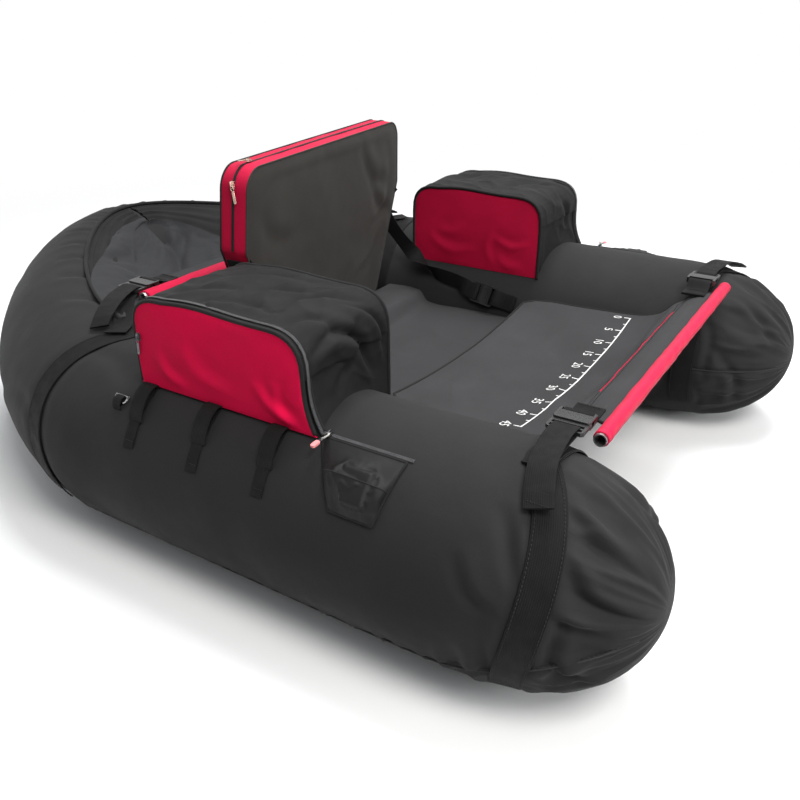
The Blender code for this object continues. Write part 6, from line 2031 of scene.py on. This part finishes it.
def adjuster(side, end, run, tail, mouth_x, y, z):
    """Webbing from the tube round the clip's bar, with its hemmed tail."""
    label = f"{end}_{side_name(side)}"
    frame = buckle_frame(side, mouth_x, y, z)
    turn = CLIP_HALF_THICKNESS + STITCH_GAP + WEBBING_THICKNESS / 2
    fold = CLIP_SLOT_START + CLIP_SLOT / 2
    past = fold + WEBBING_THICKNESS * FOLD_REACH_SHARE
    path = [(x, -turn + up, side * away) for x, up, away in run]
    path += [(past, -turn, 0), (fold, -turn * FOLD_HEIGHT_SHARE, 0), (fold, turn * FOLD_HEIGHT_SHARE, 0),
             (past, turn, 0)]
    path += [(x, turn + up, side * away) for x, up, away in tail]
    across = frame.to_3x3() @ AHEAD
    route = [(frame @ Vector((x, away, up)), across) for x, up, away in path]
    carried(label + "_adjuster_webbing", route, TAIL_WIDTH, f"{label}_clip", label + "_adjuster", hem=TAIL_HEM)
    last = route[-1][0]
    way = (last - route[-2][0]).normalized()
    out = across.cross(way)
    out = out if out.z > 0 else -out
    for number, gap in enumerate(TAIL_SEAM_GAPS):
        cross_seam(f"{label}_tail_seam_{number}", last - way * gap + out * WEBBING_THICKNESS, across,
                   TAIL_WIDTH * CROSS_WIDTH_SHARE, out, f"{label}_clip", WEB_STITCH)


def socket_loop(label, frame, width, body, replaced, drop):
    """Short webbing round the socket's pin, its two plies sewn together."""
    radius = SOCKET_PIN_RADIUS + STITCH_GAP + WEBBING_THICKNESS / 2
    pin = -SOCKET_LENGTH - SOCKET_PIN_REACH
    low = -radius - drop
    high = low + WEBBING_THICKNESS + CLEARANCE
    near = pin - LOOP_REACH * LOOP_MIDDLE_SHARE
    path = [(pin - LOOP_REACH, low), (near, low), (pin - radius, -radius)]
    for i in range(1, LOOP_TURN_STEPS):
        angle = -math.pi / 2 + math.pi * i / LOOP_TURN_STEPS
        path.append((pin + radius * math.cos(angle), radius * math.sin(angle)))
    path += [(pin - radius, radius), (near, high), (pin - LOOP_REACH, high)]
    across, up = frame.to_3x3() @ AHEAD, frame.to_3x3() @ UP
    carried(label, [(frame @ Vector((x, 0, z)), across) for x, z in path], width, body, replaced)
    for number, share in enumerate(LOOP_SEAM_SHARES):
        lift = high + WEBBING_THICKNESS * LOOP_SEAM_LIFT_SHARE
        middle = frame @ Vector((pin - LOOP_REACH * share, 0, lift))
        cross_seam(f"{label}_seam_{number}", middle, across, width * CROSS_WIDTH_SHARE, up, body, WEB_STITCH)


def frame_from(origin, x_axis, z_axis):
    x_axis = Vector(x_axis).normalized()
    z_axis = (Vector(z_axis) - x_axis * Vector(z_axis).dot(x_axis)).normalized()
    frame = Matrix((x_axis, z_axis.cross(x_axis), z_axis)).transposed().to_4x4()
    frame.translation = Vector(origin)
    return frame


def side_buckle_frame(side):
    out = Vector((-side * math.cos(SIDE_WALL_ANGLE), 0, math.sin(SIDE_WALL_ANGLE)))
    up = Vector((side * math.sin(SIDE_WALL_ANGLE), 0, math.cos(SIDE_WALL_ANGLE)))
    along = Vector((0, math.cos(SIDE_BUCKLE_DROP), 0)) + up * math.sin(SIDE_BUCKLE_DROP)
    wall = straight_skin(side, SIDE_WALL_ANGLE)[0]
    wall.y = SIDE_MOUTH_Y
    return frame_from(wall + out * (SOCKET_THICKNESS / 2 + STITCH_GAP) + up * SIDE_MOUTH_RISE, along, out)


def side_strap(side):
    """Webbing from the clip on the tube's wall to the backrest's side."""
    name = side_name(side)
    frame = side_buckle_frame(side)
    label = f"backrest_{name}"
    turn = CLIP_HALF_THICKNESS + STITCH_GAP + WEBBING_THICKNESS / 2
    fold = CLIP_SLOT_START + CLIP_SLOT / 2
    across = frame.to_3x3() @ (AHEAD * side)
    turns = ((fold + CLIP_SLOT * 3, -turn), (fold + SIDE_FOLD_REACH, -turn), (fold, 0),
             (fold + SIDE_FOLD_REACH, turn), (CLIP_LENGTH + CLIP_SLOT, turn))
    back = back_frame()
    level = back.to_3x3() @ AHEAD
    places = SIDE_STRAP_ROUTES[name]
    shares = [(number + 1) / (len(places) + 1) for number in range(len(places))]
    ways = [Vector(SIDE_STRAP_ACROSS).lerp(level, share).normalized() for share in shares]
    if across.dot(ways[0]) < 0:
        across = -across
    route = [(frame @ Vector((x, 0, z)), across) for x, z in turns]
    route += [(Vector((side * x, y, z)), way) for (x, y, z), way in zip(places, ways)]
    for up in SIDE_STRAP_ENDS[name]:
        half = back_half(min(BELT_V + up, BACK_WIDEST_V)) + SIDE_END_GAP
        route.append((back @ Vector((side * half, BACK_THICKNESS * SIDE_END_SHARE, BELT_V + up)), level))
    strap = band(label + "_strap_webbing", route, SIDE_WEBBING_WIDTH, WEBBING_THICKNESS, web, None,
                 steps=140)
    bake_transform(strap)
    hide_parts(label + "_strap")
    socket_loop(label + "_anchor_webbing", frame, SIDE_WEBBING_WIDTH, f"{name}_side_socket", label + "_anchor",
                SIDE_LOOP_DROP)


# Valve pockets and rings

def pocket_lift(side, u, v):
    """Height of the pocket's flap over the skin at shares u along it and v down it."""
    crest = POCKET_CREST_SHARE
    rise = (v / crest) ** POCKET_RISE_SHARE if v < crest else (1 - v) / (1 - crest)
    bulge = (4 * u * (1 - u)) ** POCKET_ROUND_SHARES[0] * min(rise, 1) ** POCKET_ROUND_SHARES[1]
    along, down = POCKET_CRUMPLE_SCALES
    p = Vector((u * along + POCKET_SEEDS[0] * side, v * down, POCKET_SEEDS[1] * side))
    coarse, fine, sharp = POCKET_CRUMPLE_SHARES
    crumple = coarse * noise.noise(p) + fine * noise.noise(p * POCKET_FINE_SCALE)
    crumple += sharp * ridges(p * POCKET_RIDGE_SCALE)
    level = POCKET_LEVEL_SHARE + crumple * eased(v, 0, POCKET_CALM_SHARE)
    over_cap = math.prod(eased(share, *window) for share, window in
                         zip((u, 1 - u, v, 1 - v), POCKET_CAP_WINDOW_SHARES))
    return max(POCKET_LIFT + POCKET_RISE * bulge * level, POCKET_CAP_LIFT * over_cap)


def pocket_grid(side):
    grid = []
    length = POCKET_FRONT_Y - POCKET_REAR_Y
    for i in range(POCKET_ROWS + 1):
        u = i / POCKET_ROWS
        foot = POCKET_FOOT_SHARES[0] + (POCKET_FOOT_SHARES[1] - POCKET_FOOT_SHARES[0]) * u
        row = []
        for k in range(POCKET_COLUMNS + 1):
            v = k / POCKET_COLUMNS
            angle = POCKET_TOP_ANGLE + (POCKET_FOOT_ANGLE - POCKET_TOP_ANGLE) * v
            point = straight_skin(side, angle, pocket_lift(side, u, v))[0]
            row.append((point.x, POCKET_REAR_Y + length * (u + (foot - u) * v), point.z))
        grid.append(row[::side])
    return np.array(grid)


def build_pocket(side):
    name = side_name(side)
    grid = pocket_grid(side)
    item = cloth_sheet(f"{name}_pocket_flap", grid, POCKET_WALL, pocket_nylon, "hull")
    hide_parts(f"{name}_valve_pocket")
    out = straight_skin(side, (POCKET_TOP_ANGLE + POCKET_FOOT_ANGLE) / 2)[1]
    anchor = straight_skin(side, POCKET_TOP_ANGLE)[0]
    crest = tube_piece(f"{name}_pocket_ridge", grid[:, round(POCKET_CREST_SHARE * POCKET_COLUMNS)][::side],
                       POCKET_RIDGE_RADIUS, piping_cloth, "hull", steps=120)
    for soft in (item, crest):
        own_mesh(soft)
    rim = [*grid[:, 0], *grid[-1, 1:], *grid[::-1, -1][1:], *grid[0, ::-1][1:]]
    tube_piece(f"{name}_pocket_binding", rim, POCKET_BINDING_RADIUS, piping_cloth, "hull", steps=240)
    route = []
    angle = POCKET_TOP_ANGLE - POCKET_ZIP_RISE / TUBE_RADIUS
    point = straight_skin(side, angle, POCKET_ZIP_LIFT)[0]
    across = (straight_skin(side, angle + POCKET_ZIP_AHEAD, POCKET_ZIP_LIFT)[0] - point).normalized()
    length = POCKET_FRONT_Y - POCKET_REAR_Y - 2 * POCKET_ZIP_INSET
    for i in range(POCKET_ZIP_STEPS + 1):
        y = POCKET_REAR_Y + POCKET_ZIP_INSET + length * i / POCKET_ZIP_STEPS
        route.append((Vector((point.x, y, point.z)), across))
    band(f"{name}_pocket_zip", route, ZIP_WIDTH, ZIP_THICKNESS, zip_black, "hull")


def ring_web(side):
    """Webbing over the foot of the D-ring."""
    name = side_name(side)
    low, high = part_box(f"{name}_d_ring")
    route = []
    for i in range(RING_TAB_STEPS + 1):
        t = i / RING_TAB_STEPS
        lift = RING_TAB_LIFT + RING_TAB_RISE * math.sin(math.pi * t) ** RING_TAB_ROUND_SHARE
        point = straight_skin(side, RING_TAB_ANGLE + RING_TAB_SPAN * (t - 0.5), lift)[0]
        route.append((Vector((point.x, (low.y + high.y) / 2, point.z)), AHEAD))
    band(f"{name}_ring_webbing", route, RING_TAB_WIDTH, WEBBING_THICKNESS, web, "hull")


# Zip sliders and their pulls

def rounded_outline(x0, x1, half, waist=0.0, steps=28):
    """Long outline with rounded ends, narrower in its middle by the waist's share."""
    outline = []
    for i in range(steps):
        turn = 2 * math.pi * i / steps
        c, n = [math.copysign(abs(value) ** CORNER_SHARE, value) for value in (math.cos(turn), math.sin(turn))]
        wide = half * (1 - waist * (1 - math.cos(turn) ** 2))
        outline.append(((x0 + x1) / 2 + (x1 - x0) / 2 * c, wide * n))
    return outline


def plate_part(x0, x1, half, waist, low, high):
    outline = rounded_outline(x0, x1, half, waist)
    count = len(outline)
    points = [(x, y, z) for z in (low, high) for x, y in outline]
    faces = [tuple(reversed(range(count))), tuple(range(count, 2 * count))]
    faces += [(k, (k + 1) % count, count + (k + 1) % count, count + k) for k in range(count)]
    return points, faces


def bead_part(path, radius, sides=8):
    """Round wire along points in the slider's own frame, which lies in its x, z plane or x, y plane."""
    path = [Vector(p) for p in path]
    points = []
    for before, place, after in zip(path[:1] + path, path, path[1:] + path[-1:]):
        along = (after - before).normalized()
        side = along.cross(Vector(WIRE_SIDE)).normalized()
        other = along.cross(side)
        for k in range(sides):
            turn = 2 * math.pi * k / sides
            points.append(place + side * math.cos(turn) * radius + other * math.sin(turn) * radius)
    return points, capped_faces(len(path), sides)


def soften(item, width):
    """Rounded edges."""
    soft = item.modifiers.new("soft_edges", "BEVEL")
    soft.width = width
    soft.segments = 2
    soft.limit_method = "ANGLE"


def assembled(name, frame, parts, materials, body):
    """One piece from parts in a frame, each with the number of its material; its edges are softened."""
    points, faces, indices = [], [], []
    for (part_points, part_faces), index in parts:
        first = len(points)
        points += [frame @ Vector(p) for p in part_points]
        faces += [tuple(first + i for i in face) for face in part_faces]
        indices += [index] * len(part_faces)
    item = make_object(name, points, faces, materials, indices=indices)
    item.data.set_sharp_from_angle(angle=math.radians(40))
    soften(item, SOFT_EDGE)
    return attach(item, body)


def zip_pull(node, frame, body, material, pull, tip=None):
    """Slider with its bridge, a ring and a pull that lies along x; a tip hangs on a cord loop."""
    parts = [(plate_part(*plate), 0) for plate in SLIDER_PLATES]
    parts.append((bead_part(SLIDER_BRIDGE, SLIDER_BRIDGE_RADIUS), 0))
    start, reach, wide, high, fall = PULL_RING
    ring = []
    for i in range(PULL_RING_STEPS + 1):
        turn = 2 * math.pi * i / PULL_RING_STEPS
        share = (1 - math.cos(turn)) / 2
        ring.append((start + reach * share, wide * math.sin(turn), high + fall * share))
    parts.append((bead_part(ring, PULL_RING_RADIUS), 0))
    if tip:
        parts.append((bead_part(CORD_LOOP, CORD_RADIUS), 2))
    first = CORD_PULL_START if tip else PULL_START
    plates = [(plate, 0) for plate in PULL_PLATES] + ([(PULL_TIP, 1)] if tip else [])
    for (x0, x1, *sizes), index in plates:
        parts.append((plate_part(first + pull * x0, first + pull * x1, *sizes), index))
    item = assembled(node + "_metal", frame, parts, [material] + ([tip, cord_cloth] if tip else []), body)
    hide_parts(node)


def back_sliders():
    """The two sliders of the backrest's zip."""
    back = back_frame()
    turn = back.to_3x3()
    top = Vector((SLIDER_TOP_INSET - BACK_TOP_HALF, BACK_THICKNESS / 2, BACK_TOP_V + SLIDER_LIFT))
    way = turn @ Vector((-1, 0, TOP_PULL_TILT_SHARE))
    zip_pull("backrest_top_slider", frame_from(back @ top, way, turn @ UP), "top_slider", pull_metal, PULL_LENGTH)
    corner = Vector((-BACK_TOP_HALF, 0, BACK_TOP_V - BACK_CORNER))
    down = (Vector((-BACK_WIDEST_HALF, 0, BACK_WIDEST_V)) - corner).normalized()
    out = Vector((down.z, 0, -down.x))
    place = corner + down * SLIDER_SIDE_DROP + AHEAD * BACK_THICKNESS / 2 + out * SLIDER_LIFT
    way = turn @ (down + AHEAD * SIDE_PULL_TILT_SHARE)
    zip_pull("backrest_side_slider", frame_from(back @ place, way, turn @ out), "side_slider", pull_metal,
             PULL_LENGTH)


def side_sliders(side):
    """The sliders of one bag and one valve pocket."""
    name = side_name(side)
    place = (side * (BAG_OUTER_X + BAG_SLIDER_LIFT), bag_ends(side)[1] - BAG_SLIDER_INSET, BAG_SHOULDER_Z)
    zip_pull(f"{name}_bag_slider", frame_from(place, (0, BAG_SLIDER_TILT_SHARE, -1), (side, 0, 0)),
             f"{name}_bag_slider", dark_metal, PULL_LENGTH * BAG_PULL_SHARE)
    angle = POCKET_TOP_ANGLE - POCKET_SLIDER_RISE / TUBE_RADIUS
    place, out = straight_skin(side, angle, POCKET_SLIDER_LIFT)
    place.y = POCKET_REAR_Y - POCKET_SLIDER_INSET
    upper, lower = [straight_skin(side, a, POCKET_PULL_LIFT)[0] for a in (angle, angle + POCKET_PULL_AHEAD)]
    way = (lower - upper).normalized() + out * POCKET_PULL_TILT_SHARE
    zip_pull(f"{name}_pocket_slider", frame_from(place, way, out), f"{name}_pocket_slider", dark_metal,
             PULL_LENGTH, pull_rubber)


# Rigid pieces

RIGID_LOOKS = (
    (("_socket", "_clip", "_valve_cap"), plastic),
    (("_d_ring",), ring_metal),
    (("front_bar", "rear_bar"), bar_metal),
)


def dress_rigid():
    """Materials and rounded edges for the solids that stay as they are."""
    for endings, material in RIGID_LOOKS:
        for name, item in nodes.items():
            if name.endswith(endings):
                item.data.materials.clear()
                item.data.materials.append(material)
                soften(item, RIGID_EDGE)


APRON_LINE = apron_profile(APRON_STEPS)
build_hull()
for side in (1, -1):
    build_seams(side)
    girth_strap(side, "front")
    girth_strap(side, "rear")
    build_bag(side)
    for number, share in enumerate(ROD_TAB_SHARES):
        rod_tab(side, number, share)
    build_pocket(side)
    ring_web(side)
    adjuster(side, "front", FRONT_RUN, FRONT_TAIL, FRONT_MOUTH_X, FRONT_STRAP_Y, FRONT_MOUTH_Z)
    adjuster(side, "rear", REAR_RUN, REAR_TAIL, REAR_MOUTH_X, REAR_BUCKLE_Y, REAR_BUCKLE_Z)
    for end, mouth_x, y, z, drop, body in (
        ("front", FRONT_MOUTH_X, FRONT_STRAP_Y, FRONT_MOUTH_Z, FRONT_LOOP_DROP, "gate"),
        ("rear", REAR_MOUTH_X, REAR_BUCKLE_Y, REAR_BUCKLE_Z, REAR_LOOP_DROP, "hull"),
    ):
        label = f"{end}_{side_name(side)}"
        socket_loop(label + "_loop_webbing", buckle_frame(side, mouth_x, y, z), WEBBING_WIDTH, body,
                    label + "_socket_loop", drop)
    side_strap(side)
    side_sliders(side)
sleeve_cloth("front", FRONT_BAR_Y, FRONT_BAR_Z, FRONT_BAR_HALF - SLEEVE_HALF_SHORTER, "gate", FRONT_SLEEVE_SEED)
sleeve_cloth("rear", REAR_BAR_Y, REAR_BAR_Z, REAR_BAR_HALF - SLEEVE_HALF_SHORTER, "hull", REAR_SLEEVE_SEED,
             REAR_SLEEVE_SPREAD_SHARE)
build_ruler(build_apron())
build_seat()
build_deck()
build_backrest()
back_sliders()
dress_rigid()


# Stage, light and camera

def aim(item, place, target):
    item.location = place
    item.rotation_euler = (Vector(target) - Vector(place)).to_track_quat("-Z", "Y").to_euler()


def add_lamp(name, place, size, power, colour):
    data = bpy.data.lights.new(name, "AREA")
    data.shape = "RECTANGLE"
    data.size, data.size_y = size
    data.energy = power
    data.color = colour
    item = bpy.data.objects.new(name, data)
    bpy.context.scene.collection.objects.link(item)
    aim(item, place, LAMP_TARGET)


def seen_directly(tree):
    """1 where the camera, a mirror or a clear pane sees the surface, 0 where it only lights others."""
    path = tree.nodes.new("ShaderNodeLightPath").outputs
    seen = math_node(tree, "MAXIMUM", path["Is Camera Ray"], path["Is Glossy Ray"])
    return math_node(tree, "MAXIMUM", seen, path["Is Transmission Ray"])


def mixed(tree, factor, first, second, output):
    """Two shaders mixed into the output's surface."""
    mix = tree.nodes.new("ShaderNodeMixShader")
    for number, socket in enumerate((factor, first.outputs[0], second.outputs[0])):
        tree.links.new(socket, mix.inputs[number])
    tree.links.new(mix.outputs[0], tree.nodes[output].inputs["Surface"])


def build_floor():
    """White paper that fades into the background."""
    material, tree, shader, place = new_material("floor_paper")
    shader.inputs["Roughness"].default_value = FLOOR_ROUGH_SHARE
    shader.inputs["Specular IOR Level"].default_value = FLOOR_SPECULAR_SHARE
    away = add_node(tree, "ShaderNodeVectorMath", operation="LENGTH")
    tree.links.new(place, away.inputs[0])
    far = ranged(tree, away.outputs["Value"], FLOOR_FADE, WHOLE_SHARES)
    seen = seen_directly(tree)
    tree.links.new(shades(tree, seen, FLOOR_BOUNCE, FLOOR_SEEN), shader.inputs["Base Color"])
    glow = add_node(tree, "ShaderNodeEmission", Strength=1.0)
    mixed(tree, math_node(tree, "MULTIPLY", far, seen), shader, glow, "Material Output")
    turns = [2 * math.pi * k / FLOOR_SIDES for k in range(FLOOR_SIDES)]
    rim = [(FLOOR_RADIUS * math.cos(turn), FLOOR_RADIUS * math.sin(turn), -FLOOR_DROP) for turn in turns]
    floor = make_object("floor", rim, [tuple(range(FLOOR_SIDES))], [material])


def build_sky():
    """White to the camera, and a soft light from above to the object."""
    world = bpy.data.worlds.new("studio")
    bpy.context.scene.world = world
    world.use_nodes = True
    tree = world.node_tree
    sky = tree.nodes["Background"]
    sky.inputs["Color"].default_value = SKY_COLOUR
    way = split(tree, tree.nodes.new("ShaderNodeTexCoord").outputs["Generated"])
    tree.links.new(ranged(tree, way[2], SKY_SHARES, (SKY_LOW, SKY_HIGH)), sky.inputs["Strength"])
    white = add_node(tree, "ShaderNodeBackground", Strength=1.0)
    white.inputs["Color"].default_value = (1, 1, 1, 1)
    mixed(tree, seen_directly(tree), sky, white, "World Output")


def build_camera():
    yaw, pitch, roll = CAMERA_YAW, CAMERA_PITCH, CAMERA_ROLL
    forward = Vector((-math.sin(yaw) * math.cos(pitch), math.cos(yaw) * math.cos(pitch), math.sin(pitch)))
    right = forward.cross(UP).normalized()
    right = right * math.cos(roll) + right.cross(forward) * math.sin(roll)
    data = bpy.data.cameras.new("camera")
    data.sensor_width = SENSOR_MM
    data.lens = SENSOR_MM * FOCAL_SHARE
    item = bpy.data.objects.new("camera", data)
    bpy.context.scene.collection.objects.link(item)
    matrix = Matrix((right, right.cross(forward), -forward)).transposed().to_4x4()
    matrix.translation = Vector(CAMERA_PLACE)
    item.matrix_world = matrix
    bpy.context.scene.camera = item


build_floor()
build_sky()
for lamp in LAMPS:
    add_lamp(*lamp)
build_camera()
bpy.context.scene.view_settings.view_transform = "Standard"
